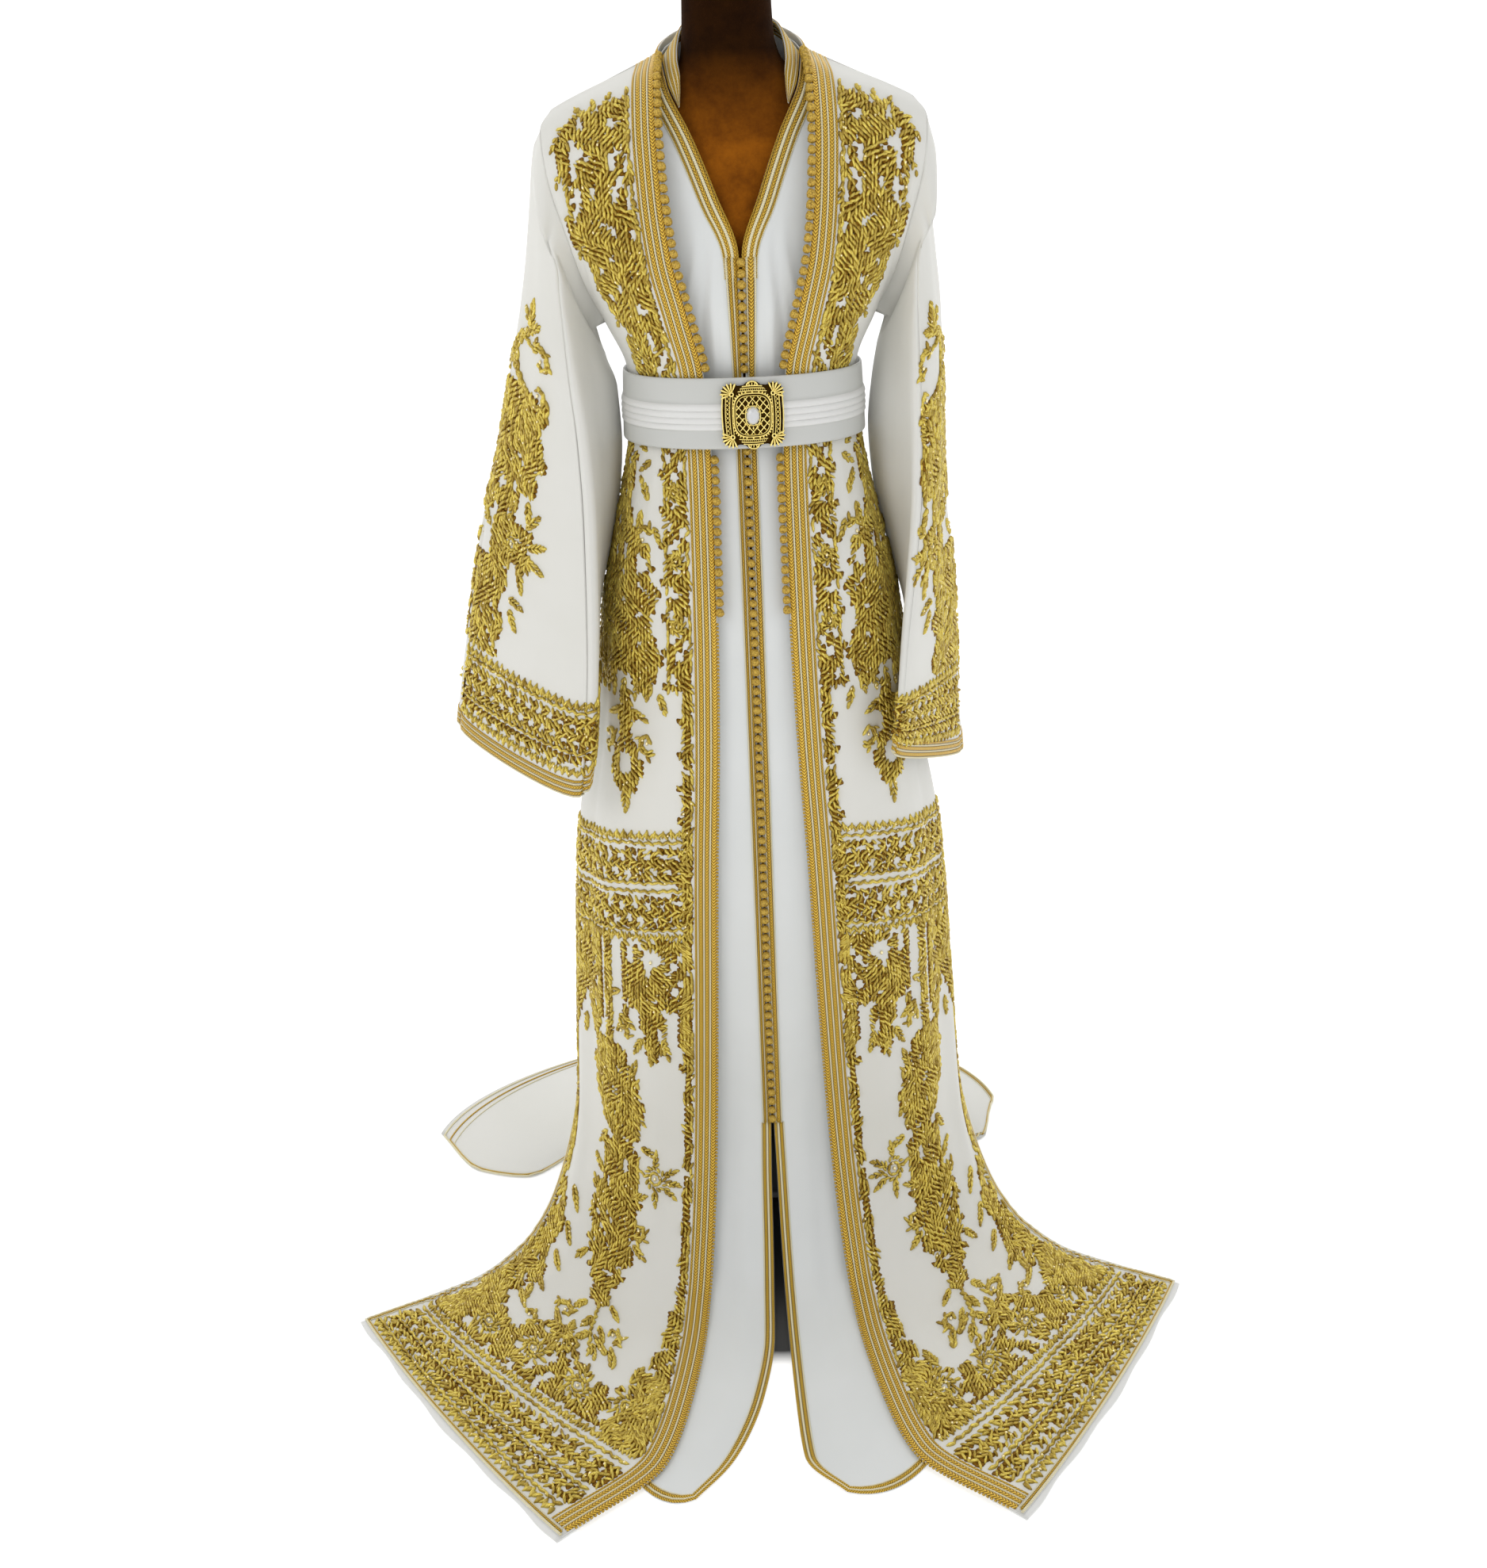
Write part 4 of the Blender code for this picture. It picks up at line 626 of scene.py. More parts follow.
SEAM_END = 0.85
SLEEVE_TURNS = np.linspace(0.0, 1.0, 65)[:-1]
SLEEVE_TS = np.concatenate([np.linspace(0.0, SEAM_END, 8)[:-1], np.linspace(SEAM_END, 10.0, 62)])
sleeve_panels = {}
sleeve_cloth = {}
for side, word in ((-1, "left"), (1, "right")):
    seam = armhole_ring(side, SLEEVE_TURNS)
    near = sleeve_ring(side, SLEEVE_TURNS, SEAM_END)
    least = np.abs(seam[:, 0]) + 0.0098 + 0.004 * np.sin(np.pi * SLEEVE_TURNS) ** 2
    push = np.maximum(0.0, least - np.abs(near[:, 0]))
    near[:, 0] += side * push
    rows = []
    for t in SLEEVE_TS:
        if t < SEAM_END:
            f = t / SEAM_END
            rows.append(seam * (1.0 - f) + near * f)
        else:
            row = sleeve_ring(side, SLEEVE_TURNS, t)
            row[:, 0] += side * push * max(0.0, 1.0 - (t - SEAM_END) / SEAM_END)
            rows.append(row)
    grid = np.array(rows)
    rise = fold_rise(SLEEVE_CREASES, SLEEVE_TURNS, SLEEVE_TS)
    panel = lay_out(grid, 1.0, WALL_ROBE, rise, SLEEVE_TURNS, SLEEVE_TS, 4, ring=True)
    out = panel["face"] - grid.mean(axis=1, keepdims=True)
    if float((panel["normal"] * out).sum()) < 0.0:
        panel = lay_out(grid, -1.0, WALL_ROBE, rise, SLEEVE_TURNS, SLEEVE_TS, 4, ring=True)
    sleeve_panels[word] = panel
    sleeve_cloth[word] = cloth_shell("sleeve_cloth_" + word, panel, robe_silk)
    dress(sleeve_cloth[word], "robe_silk", "sleeve_" + word)

# The inner dress: cool white crepe satin, closed in front by a buttoned placket, slit from the knee.
# Columns: z, y of the front edge, its x at the left and the right, side z, x, y, then the bow.
WALL_INNER = 0.0012
INNER_FRONT = [
    (1.444, 0.011, 0.0795, 0.0795, 1.387, 0.197, 0.003, 0.0),
    (1.412, -0.045, 0.0725, 0.0725, 1.366, 0.208, -0.02, 0.25),
    (1.36, -0.071, 0.0475, 0.0475, 1.319, 0.204, -0.041, 0.5),
    (1.3, -0.094, 0.0235, 0.0235, 1.257, 0.188, -0.046, 0.7),
    (1.235, -0.1115, 0.0015, 0.0015, 1.2, 0.171, -0.022, 0.9),
    (1.172, -0.1195, 0.0015, 0.0015, 1.16, 0.152, -0.0002, 0.95),
    (1.11, -0.108, 0.0015, 0.0015, 1.105, 0.13, -0.0002, 0.95),
    (1.058, -0.102, 0.0015, 0.0015, 1.058, 0.127, -0.0002, 0.95),
    (0.995, -0.108, 0.0015, 0.0015, 0.995, 0.137, -0.0002, 0.96),
    (0.83, -0.1405, 0.0015, 0.0015, 0.83, 0.1755, -0.0002, 1.0),
    (0.675, -0.1555, 0.0015, 0.0015, 0.675, 0.1985, -0.0002, 1.0),
    (0.515, -0.1705, 0.0015, 0.0015, 0.515, 0.228, -0.0002, 0.98),
    (0.35, -0.1825, 0.0015, 0.0015, 0.35, 0.242, -0.0002, 0.96),
    (0.2, -0.2025, 0.0015, 0.0015, 0.2, 0.248, -0.0002, 0.95),
    (0.105, -0.237, 0.004, 0.003, 0.105, 0.249, -0.002, 0.95),
    (0.045, -0.292, 0.006, 0.004, 0.045, 0.25, -0.003, 0.95),
    (0.01, -0.353, 0.0085, 0.005, 0.01, 0.25, -0.004, 0.95),
    (0.0, -0.43, 0.0115, 0.006, 0.0, 0.2505, -0.006, 0.95),
    (0.0, -0.53, 0.029, 0.008, 0.0, 0.251, -0.008, 1.02),
    (0.0, -0.62, 0.064, 0.013, 0.0, 0.2515, -0.01, 1.14),
    (0.0, -0.674, 0.108, 0.056, 0.0, 0.252, -0.012, 1.26),
]
INNER_BACK = [
    (1.476, 0.061, 1.387, 0.197, 0.0034, 0.3),
    (1.408, 0.077, 1.366, 0.208, 0.022, 0.5),
    (1.355, 0.088, 1.319, 0.204, 0.043, 0.6),
    (1.285, 0.098, 1.257, 0.188, 0.048, 0.7),
    (1.22, 0.1, 1.2, 0.171, 0.024, 0.9),
    (1.16, 0.093, 1.16, 0.152, 0.0002, 0.97),
    (1.105, 0.086, 1.105, 0.13, 0.0002, 0.96),
    (1.058, 0.085, 1.058, 0.127, 0.0002, 0.96),
    (0.995, 0.095, 0.995, 0.137, 0.0002, 0.96),
    (0.83, 0.13, 0.83, 0.1755, 0.0002, 1.0),
    (0.675, 0.144, 0.675, 0.1985, 0.0002, 1.0),
    (0.515, 0.156, 0.515, 0.228, 0.0002, 0.98),
    (0.35, 0.169, 0.35, 0.242, 0.0002, 0.96),
    (0.2, 0.182, 0.2, 0.248, 0.0002, 0.95),
    (0.105, 0.19, 0.105, 0.249, 0.0002, 0.95),
    (0.045, 0.199, 0.045, 0.25, 0.0002, 0.95),
    (0.0, 0.212, 0.0, 0.2505, 0.0002, 0.95),
]
INNER_FOLDS = [
    (0.17, 0.22, 0.003, 0.035, 9.0, 17.5),
    (0.3, 0.36, 0.0035, 0.045, 10.0, 19.5),
]
# Small gathers fan out from the foot of the neck opening; long soft folds fall in the skirt.
INNER_CREASES = [
    (0.1, 0.17, 0.0022, 0.012, 3.5, 6.4),
    (0.12, 0.24, -0.002, 0.013, 3.4, 6.2),
    (0.14, 0.32, 0.002, 0.015, 3.2, 5.6),
    (0.16, 0.14, 0.0016, 0.02, 8.6, 13.0),
    (0.13, 0.15, -0.002, 0.025, 12.0, 17.5),
    (0.24, 0.29, 0.0014, 0.03, 13.5, 18.5),
    (0.09, 0.11, 0.0014, 0.02, 14.5, 18.8),
]


def inner_front_points(side, us, ts):
    rows = []
    for t in ts:
        zf, yf, left, right, zs, xs, ys, bow = row_at(INNER_FRONT, t)
        x, y = between((left if side < 0 else right, yf), (xs, ys), bow, us)
        rows.append(np.stack([side * x, y, zf + (zs - zf) * us], axis=1))
    return np.array(rows)


inner_satin = woven_finish("inner_satin_finish", (0.77, 0.79, 0.79), (0.69, 0.715, 0.715), 0.42, 0.1, 520.0, 0.2)
INNER_US = np.concatenate([np.linspace(0.0, 0.45, 27)[:-1], np.linspace(0.45, 1.0, 12)])
INNER_TS = np.concatenate([np.linspace(0.0, 13.0, 92)[:-1], np.linspace(13.0, 20.0, 60)])
inner_panels = {}
inner_cloth = {}
for side, word in ((-1, "left"), (1, "right")):
    rise = fold_rise(INNER_FOLDS, INNER_US, INNER_TS) + fold_rise(INNER_CREASES, INNER_US, INNER_TS)
    panel = lay_out(inner_front_points(side, INNER_US, INNER_TS), -side, WALL_INNER, rise, INNER_US, INNER_TS, 1)
    inner_panels[word] = panel
    inner_cloth[word] = cloth_shell("inner_front_cloth_" + word, panel, inner_satin)
    dress(inner_cloth[word], "inner_satin", "inner_front_" + word)
inner_us = np.linspace(-1.0, 1.0, 41)
inner_ts = np.linspace(0.0, 16.0, 60)
grid = back_points({-1: INNER_BACK, 1: INNER_BACK}, (0.0795, 0.0114, 1.444), inner_us, inner_ts)
inner_back_panel = lay_out(grid, 1.0, WALL_INNER, np.zeros((60, 41)), inner_us, inner_ts, 20)
inner_back_cloth = cloth_shell("inner_back_cloth", inner_back_panel, inner_satin)
dress(inner_back_cloth, "inner_satin", "inner_back")

# The trims are made of flat plaited strands of gold thread, with round white cords between them.
# Each strand follows its panel at a set distance from the edge, and the plait shows as fine chevrons.


def plait_group():
    group, given = new_group("plaited_thread", "Plaits", "Slant")
    parts = add_node(group, "ShaderNodeSeparateXYZ", {0: given["Place"]}).outputs

    def worked(kind, *terms):
        return add_node(group, "ShaderNodeMath", dict(enumerate(terms)), operation=kind).outputs[0]

    lean = worked("MULTIPLY", worked("ABSOLUTE", parts["X"]), given["Slant"])
    run = worked("MULTIPLY", parts["Y"], given["Plaits"])
    wave = worked("SINE", worked("MULTIPLY", worked("ADD", run, lean), 6.28318))
    height = worked("MULTIPLY_ADD", wave, 0.5, 0.5)
    # the colour follows the relief: the Dark colour fills the grooves between the chevrons as painted shade
    return end_group(group, given, height, height, 0.0006)


PLAITED = plait_group()


def plaited_finish(name, light, dark, rough, metal, plaits, slant, depth):
    return worked_finish(name, PLAITED, light, dark, rough, metal, Plaits=plaits, Slant=slant, Depth=depth)


# each dark colour below is the painted shade in the grooves of the plait
gold_plait = plaited_finish("gold_plait", (0.96, 0.64, 0.09), (0.24, 0.12, 0.006), 0.36, 0.6, 260.0, 1.0, 1.0)
white_cord = plaited_finish("white_cord", (0.9, 0.84, 0.6), (0.64, 0.57, 0.34), 0.6, 0.0, 420.0, 0.7, 0.6)
gold_cord = plaited_finish("gold_cord", (0.92, 0.61, 0.08), (0.22, 0.11, 0.006), 0.36, 0.6, 360.0, 0.8, 1.0)


def ring_faces(rings, around, closed=False, ends=True):
    """The faces of a tube of rings, with its two ends shut unless it closes on itself."""
    faces = []
    for j in range(rings if closed else rings - 1):
        a, b = j * around, (j + 1) % rings * around
        for k in range(around):
            m = (k + 1) % around
            faces.append((a + k, a + m, b + m, b + k))
    if ends and not closed:
        faces.append(tuple(range(around))[::-1])
        faces.append(tuple(range((rings - 1) * around, rings * around)))
    return faces


def strand(points, outs, half, high, sides=6, lift=0.0, closed=False):
    """A strand along a path: half round above, flat below, UV across -1..1 and metres along."""
    points = np.asarray(points, dtype=float)
    outs = np.asarray(outs, dtype=float)
    if closed:
        along = np.roll(points, -1, axis=0) - np.roll(points, 1, axis=0)
    else:
        along = np.gradient(points, axis=0)
    along = unit(along)
    outs = unit(outs - along * (outs * along).sum(axis=1, keepdims=True))
    side = np.cross(outs, along)
    half = np.broadcast_to(half, len(points))
    verts, uvs = [], []
    length = lengths_along(points)
    for k in range(sides + 1):
        a = math.pi * k / sides
        verts.append(points + side * (half * math.cos(a))[:, None] + outs * (lift + high * math.sin(a) ** 0.7))
        uvs.append(np.stack([np.full(len(points), math.cos(a)), length], axis=1))
    verts = np.stack(verts, axis=1).reshape(-1, 3)
    uvs = np.stack(uvs, axis=1).reshape(-1, 2)
    return verts, ring_faces(len(points), sides + 1, closed), uvs


def strand_piece(name, strands, finish):
    verts, faces, uvs, shift = [], [], [], 0
    for v, f, uv in strands:
        corner = v[0]
        volume = 0.0
        for face in f[:400]:
            for k in range(1, len(face) - 1):
                sides = np.cross(v[face[k]] - corner, v[face[k + 1]] - corner)
                volume += float(np.dot(v[face[0]] - corner, sides))
        if volume < 0.0:
            f = [tuple(reversed(face)) for face in f]
        verts.append(v)
        uvs.append(uv)
        faces += [tuple(i + shift for i in face) for face in f]
        shift += len(v)
    return mesh_piece(name, np.concatenate(verts), faces, finish, np.concatenate(uvs))


def run_down(panel, x, y0, y1, pitch=0.006):
    count = max(3, int(abs(y1 - y0) / pitch))
    return spots(panel, np.full(count, x), np.linspace(y0, y1, count))


CORD_LIFT = 0.0002


def trim(gold_name, white_name, white_slot, nodes, rows, path,
         sides=6, gold=gold_plait, lift=CORD_LIFT, closed=False):
    """The gold piece and the white piece of a trim, each row of which lies along its own path."""
    kinds = {"gold": [], "white": []}
    for row, half, high, kind in rows:
        points, outs = path(row)
        kinds[kind].append(strand(points, outs, half, high, sides, lift, closed))
    gold_piece = strand_piece(gold_name, kinds["gold"], gold)
    dress(gold_piece, "gold_braid", *nodes)
    white_piece = strand_piece(white_name, kinds["white"], white_cord)
    dress(white_piece, white_slot)
    return [gold_piece, white_piece]


# The robe's front braid: four gold strands with three white cords between them, all sewn down flat.
# Columns: distance of the strand's middle from the edge, half its width, its height, white or gold.
ROBE_BRAID = [
    (0.0041, 0.0034, 0.0016, "gold"), (0.0088, 0.0011, 0.0016, "white"), (0.0126, 0.0026, 0.0016, "gold"),
    (0.0164, 0.0011, 0.0016, "white"), (0.0202, 0.0026, 0.0016, "gold"), (0.024, 0.0011, 0.0014, "white"),
    (0.0266, 0.0014, 0.0014, "gold"),
]
robe_trim = {}
for word in ("left", "right"):
    panel = robe_panels[word]
    end = panel["down"][-1] - 0.009
    robe_trim[word] = trim("robe_front_gold_braid_" + word, "robe_front_white_cords_" + word, "robe_silk",
                           ["robe_front_braid_" + word], ROBE_BRAID, lambda x: run_down(panel, x, 0.001, end))

# The hem and vent edges are bound with a white piping, a thin gold cord beside it and a finer white one.
# Columns: distance from the edge, half width, height, white or gold.
HEM_CORDS = [
    (0.0016, 0.0015, 0.0015, "white"), (0.0044, 0.0012, 0.0014, "gold"), (0.0066, 0.0008, 0.0011, "white"),
]
TRAIN_ROW = 13.0


def hem_path(panel, x):
    """Down the side edge from the vent's top to the corner, then along the hem to the front edge."""
    low = panel["down"][-1] - x
    ys = np.linspace(down_at(panel, TRAIN_ROW), low, 120)
    xs = np.array([panel_width(panel, y) for y in ys]) - x
    hem_x = np.linspace(panel_width(panel, low) - x, x, 90)[1:]
    return spots(panel, np.concatenate([xs, hem_x]), np.concatenate([ys, np.full(89, low)]))


for word in ("left", "right"):
    robe_trim[word] += trim("robe_hem_gold_cords_" + word, "robe_hem_white_piping_" + word, "robe_silk",
                            ["robe_front_cord_" + word], HEM_CORDS,
                            lambda x: hem_path(robe_panels[word], x), 5, gold_cord)


# The back panel has the same binding round its train, and the front braid runs on round the neck.
# Both are laid on the panel from its left edge to its right edge.
def train_path(x):
    low = back_panel["down"][-1] - x
    ys = np.linspace(down_at(back_panel, TRAIN_ROW), low, 60)
    near = spots(back_panel, np.full(60, x), ys)
    hem_x = np.linspace(x, panel_width(back_panel, low) - x, 140)[1:-1]
    hem = spots(back_panel, hem_x, np.full(138, low))
    far_x = np.array([panel_width(back_panel, y) for y in ys[::-1]]) - x
    far = spots(back_panel, far_x, ys[::-1])
    return [np.concatenate([near[k], hem[k], far[k]]) for k in (0, 1)]


def point_on(line, x):
    """The point at distance x along a line of points."""
    fall = lengths_along(line)
    return [float(np.interp(x, fall, line[:, c])) for c in range(3)]


def neck_path(x):
    cols = [i for i, u in enumerate(BACK_US) if abs(u) <= NECK_SHARE + 0.001]
    return [point_on(back_panel["face"][:14, i], x) for i in cols], [back_panel["normal"][3, i] for i in cols]


back_trim = trim("robe_back_gold_cords", "robe_back_white_piping", "robe_silk", ["robe_back_cord"],
                 HEM_CORDS, train_path, 5, gold_cord)
back_trim += trim("robe_neck_gold_braid", "robe_neck_white_cords", "robe_silk", ["robe_neck_braid"],
                  ROBE_BRAID, neck_path)

# The cuffs end in three strands of gold braid with white cords beside them, sewn round each mouth.
# Columns: distance from the cuff's edge, half width, height, white or gold.
CUFF_CORDS = [
    (0.0012, 0.0011, 0.0014, "white"), (0.005, 0.0023, 0.0015, "gold"), (0.0088, 0.001, 0.0015, "white"),
    (0.0126, 0.0023, 0.0015, "gold"), (0.0164, 0.001, 0.0015, "white"), (0.0196, 0.0016, 0.0014, "gold"),
]
cuff_trim = {}


def cuff_path(panel, x):
    face = panel["face"]
    turns = range(face.shape[1])
    return [point_on(face[::-1, i][:20], x) for i in turns], [panel["normal"][-3, i] for i in turns]


for word in ("left", "right"):
    cuff_trim[word] = trim("cuff_gold_braid_" + word, "cuff_white_cords_" + word, "robe_silk",
                           ["cuff_braid_" + word], CUFF_CORDS,
                           lambda x: cuff_path(sleeve_panels[word], x), closed=True)

# The inner dress has the same trims, narrower: round the neck, down the placket and round the slit.
# Columns: distance from the edge, half width, height, white or gold.
NECK_BRAID = [
    (0.001, 0.001, 0.002, "gold"), (0.0043, 0.0021, 0.0015, "gold"), (0.0084, 0.0018, 0.0019, "white"),
    (0.0126, 0.0022, 0.0015, "gold"), (0.0166, 0.0016, 0.0017, "white"), (0.0197, 0.0012, 0.0013, "gold"),
    (0.0215, 0.0007, 0.001, "white"),
]
SLIT_CORDS = [
    (0.0019, 0.0018, 0.0015, "gold"), (0.0053, 0.0014, 0.0015, "white"), (0.009, 0.0021, 0.0015, "gold"),
    (0.0122, 0.0009, 0.0012, "white"),
]
SLIT_ROW = 13.3


def throat_path(panel, x):
    """At the foot of the opening the braid narrows and turns down into the placket."""
    ys = np.linspace(0.001, down_at(panel, 4.35), 90)
    turn_in = np.clip((ys - down_at(panel, 3.3)) / (down_at(panel, 4.2) - down_at(panel, 3.3)), 0.0, 1.0)
    return spots(panel, x * (1.0 - 0.22 * turn_in), ys)


def slit_path(panel, x):
    low = panel["down"][-1] - x
    ys = np.linspace(down_at(panel, SLIT_ROW), low, 110)
    hem_x = np.linspace(x, panel_width(panel, low) - 0.001, 60)[1:]
    return spots(panel, np.concatenate([np.full(110, x), hem_x]), np.concatenate([ys, np.full(59, low)]))


inner_trim = {}
for word in ("left", "right"):
    panel = inner_panels[word]
    inner_trim[word] = trim("inner_neck_gold_braid_" + word, "inner_neck_white_cords_" + word, "inner_satin",
                            ["inner_neck_braid_" + word], NECK_BRAID, lambda x: throat_path(panel, x))
    inner_trim[word] += trim("inner_slit_gold_cords_" + word, "inner_slit_white_cords_" + word, "inner_satin",
                             ["inner_slit_braid_" + word], SLIT_CORDS, lambda x: slit_path(panel, x), 5, gold_cord)

# The placket covers the join in front: thin gold and white cords at the left of the row of buttons,
# and a wide herringbone strand between white cords at the right. It swells at the foot of the neck.
PLACKET_CORDS = [
    (-0.0118, 0.0009, 0.0013, "white"), (-0.0093, 0.0014, 0.0016, "gold"), (-0.0069, 0.0009, 0.0015, "white"),
    (-0.0046, 0.0014, 0.0015, "gold"), (0.0046, 0.0009, 0.0015, "white"), (0.008, 0.0026, 0.0016, "gold"),
    (0.0117, 0.0009, 0.0013, "white"),
]
left_panel, right_panel = inner_panels["left"], inner_panels["right"]
ys = np.linspace(down_at(left_panel, 4.02), down_at(left_panel, SLIT_ROW), 150)
left_line, left_out = spots(left_panel, np.full(150, 0.0125), ys)
right_line, right_out = spots(right_panel, np.full(150, 0.0125), ys)
edges = [spots(side_panel, np.full(150, 0.0002), ys)[0] for side_panel in (left_panel, right_panel)]
centre_line = 0.5 * (edges[0] + edges[1])
centre_line[:, 1] = np.minimum(centre_line[:, 1], 0.5 * (left_line + right_line)[:, 1] - 0.0004)
front_out = left_out + right_out
front_out[:, 0] = 0.0
front_out = unit(front_out)
swell = 1.0 + 0.42 * np.clip(1.0 - (ys - ys[0]) / 0.16, 0.0, 1.0) ** 1.2
placket_rows = [(x, half * swell, high + 0.0008, kind) for x, half, high, kind in PLACKET_CORDS]
trim("inner_placket_gold", "inner_placket_white", "inner_satin", ["inner_placket"], placket_rows,
     lambda x: (centre_line + np.stack([x * swell, np.zeros(150), np.zeros(150)], axis=1), front_out))

# The stand collar of the inner dress: a flared band in rows of braid from the neckline to the neck,
# which runs down at each side of the throat and ends behind the braid of the neck opening.
# Columns: lower edge x, y, z, upper edge x, y, z.
COLLAR = np.array([
    (0.0616, -0.055, 1.3917, 0.0603, -0.0545, 1.3935), (0.0666, -0.05, 1.402, 0.059, -0.048, 1.4085),
    (0.0715, -0.0446, 1.4125, 0.0592, -0.0395, 1.425), (0.0745, -0.0228, 1.425, 0.0625, -0.023, 1.44),
    (0.0766, -0.0058, 1.4347, 0.062, -0.006, 1.454), (0.0787, 0.011, 1.4442, 0.059, 0.01, 1.468),
    (0.0672, 0.0282, 1.4553, 0.0555, 0.0262, 1.477), (0.0553, 0.0458, 1.4664, 0.045, 0.0425, 1.485),
    (0.0278, 0.0526, 1.4712, 0.024, 0.052, 1.489), (0.0, 0.06, 1.4756, 0.0, 0.0546, 1.491),
])
COLLAR_THICK = 0.0019
mirror = np.array([-1.0, 1.0, 1.0, -1.0, 1.0, 1.0])
stations = np.concatenate([COLLAR, (COLLAR[:-1] * mirror)[::-1]])
for _ in range(2):
    # each pass puts a point between the stations and rounds the line a little
    middle = 0.5 * (stations[1:] + stations[:-1])
    dense = np.empty((len(stations) + len(middle), 6))
    dense[0::2] = stations
    dense[1::2] = middle
    dense[2:-2:2] = 0.75 * dense[2:-2:2] + 0.125 * (dense[1:-3:2] + dense[3:-1:2])
    stations = dense
low, high = stations[:, :3], stations[:, 3:]
along = np.gradient(0.5 * (low + high), axis=0)
lean_out = unit(np.cross(along, high - low))
verts, uvs = [], []
COLLAR_WALL = [(0.0, 0.0), (0.0, 0.5), (0.0, 1.0), (0.5, 1.05), (1.0, 1.0), (1.0, 0.5), (1.0, 0.0)]
for k in range(len(stations)):
    for depth, share in COLLAR_WALL:
        verts.append(low[k] + (high[k] - low[k]) * share - lean_out[k] * COLLAR_THICK * depth)
        uvs.append((share * 0.02, k * 0.007))
count = len(COLLAR_WALL)
faces = ring_faces(len(stations), count, ends=False)
faces.append(tuple(range(count)))
faces.append(tuple(range((len(stations) - 1) * count, len(stations) * count))[::-1])
collar = outward(mesh_piece("inner_collar_band", verts, faces, inner_satin, uvs))
dress(collar, "gold_braid", "inner_collar")
COLLAR_CORDS = [(0.08, 0.0014, "gold"), (0.22, 0.0009, "white"), (0.38, 0.002, "gold"), (0.54, 0.001, "white"),
                (0.7, 0.002, "gold"), (0.84, 0.0009, "white"), (0.96, 0.0014, "gold")]
narrow = np.clip(np.linalg.norm(high - low, axis=1) / 0.021, 0.2, 1.0)
collar_rows = [((inside, share), half * narrow, 0.001, kind) for inside in (False, True)
               for share, half, kind in COLLAR_CORDS]


def collar_path(row):
    inside, share = row
    points = low + (high - low) * share - (lean_out * COLLAR_THICK if inside else 0.0)
    return points, -lean_out if inside else lean_out


collar_trim = trim("inner_collar_gold_braid", "inner_collar_white_cords", "inner_satin", [],
                   collar_rows, collar_path, lift=0.0001)

# The knotted buttons are small balls worked in gold cord, set close together down each edge.
# One ball of a few dozen faces is repeated along a line of points by a node tree.


def knot_ball():
    rings, around = 5, 10
    verts = [(0.0, 0.0, 1.0)]
    for j in range(1, rings):
        a = math.pi * j / rings
        for i in range(around):
            b = 2.0 * math.pi * (i + 0.5 * (j % 2)) / around
            swell = 1.0 + 0.1 * math.cos(2.5 * b + 1.6 * j)
            verts.append((math.sin(a) * math.cos(b) * swell, math.sin(a) * math.sin(b) * swell, math.cos(a) * swell))
    verts.append((0.0, 0.0, -1.0))
    faces = []
    last = len(verts) - 1
    for i in range(around):
        n = (i + 1) % around
        faces.append((0, 1 + i, 1 + n))
        faces.append((last, last - around + n, last - around + i))
    for j in range(rings - 2):
        for i in range(around):
            n = (i + 1) % around
            a = 1 + j * around
            faces.append((a + i, a + around + i, a + around + n, a + n))
    mesh = bpy.data.meshes.new("knot_ball")
    mesh.from_pydata(verts, [], faces)
    mesh.polygons.foreach_set("use_smooth", [True] * len(mesh.polygons))
    return bpy.data.objects.new("knot_ball", mesh)


# The tree sets one small shape at every point, turned and sized by the point's own values.
def repeat_tree():
    tree = bpy.data.node_groups.new("repeat_on_points", "GeometryNodeTree")
    for label, way, kind in (("Geometry", "INPUT", "Geometry"), ("Shape", "INPUT", "Object"),
                             ("Finish", "INPUT", "Material"), ("Geometry", "OUTPUT", "Geometry")):
        tree.interface.new_socket(label, in_out=way, socket_type="NodeSocket" + kind)
    given = add_node(tree, "NodeGroupInput").outputs
    shape = add_node(tree, "GeometryNodeObjectInfo", {"Object": given["Shape"]})
    along, out, measure = (
        add_node(tree, "GeometryNodeInputNamedAttribute", {"Name": label}, data_type="FLOAT_VECTOR")
        .outputs["Attribute"] for label in ("along", "out", "measure"))
    turn = add_node(tree, "FunctionNodeAxesToRotation", {"Primary Axis": out, "Secondary Axis": along},
                    primary_axis="Z", secondary_axis="X")
    points = add_node(tree, "GeometryNodeMeshToPoints", {"Mesh": given["Geometry"]})
    place = add_node(tree, "GeometryNodeInstanceOnPoints", {
        "Points": points.outputs["Points"], "Instance": shape.outputs["Geometry"],
        "Rotation": turn.outputs["Rotation"], "Scale": measure})
    whole = add_node(tree, "GeometryNodeRealizeInstances", {"Geometry": place.outputs["Instances"]})
    smooth = add_node(tree, "GeometryNodeSetShadeSmooth", {"Geometry": whole.outputs["Geometry"]})
    coat = add_node(tree, "GeometryNodeSetMaterial", {
        "Geometry": smooth.outputs["Geometry"], "Material": given["Finish"]})
    add_node(tree, "NodeGroupOutput", {"Geometry": coat.outputs["Geometry"]})
    return tree


REPEAT = repeat_tree()


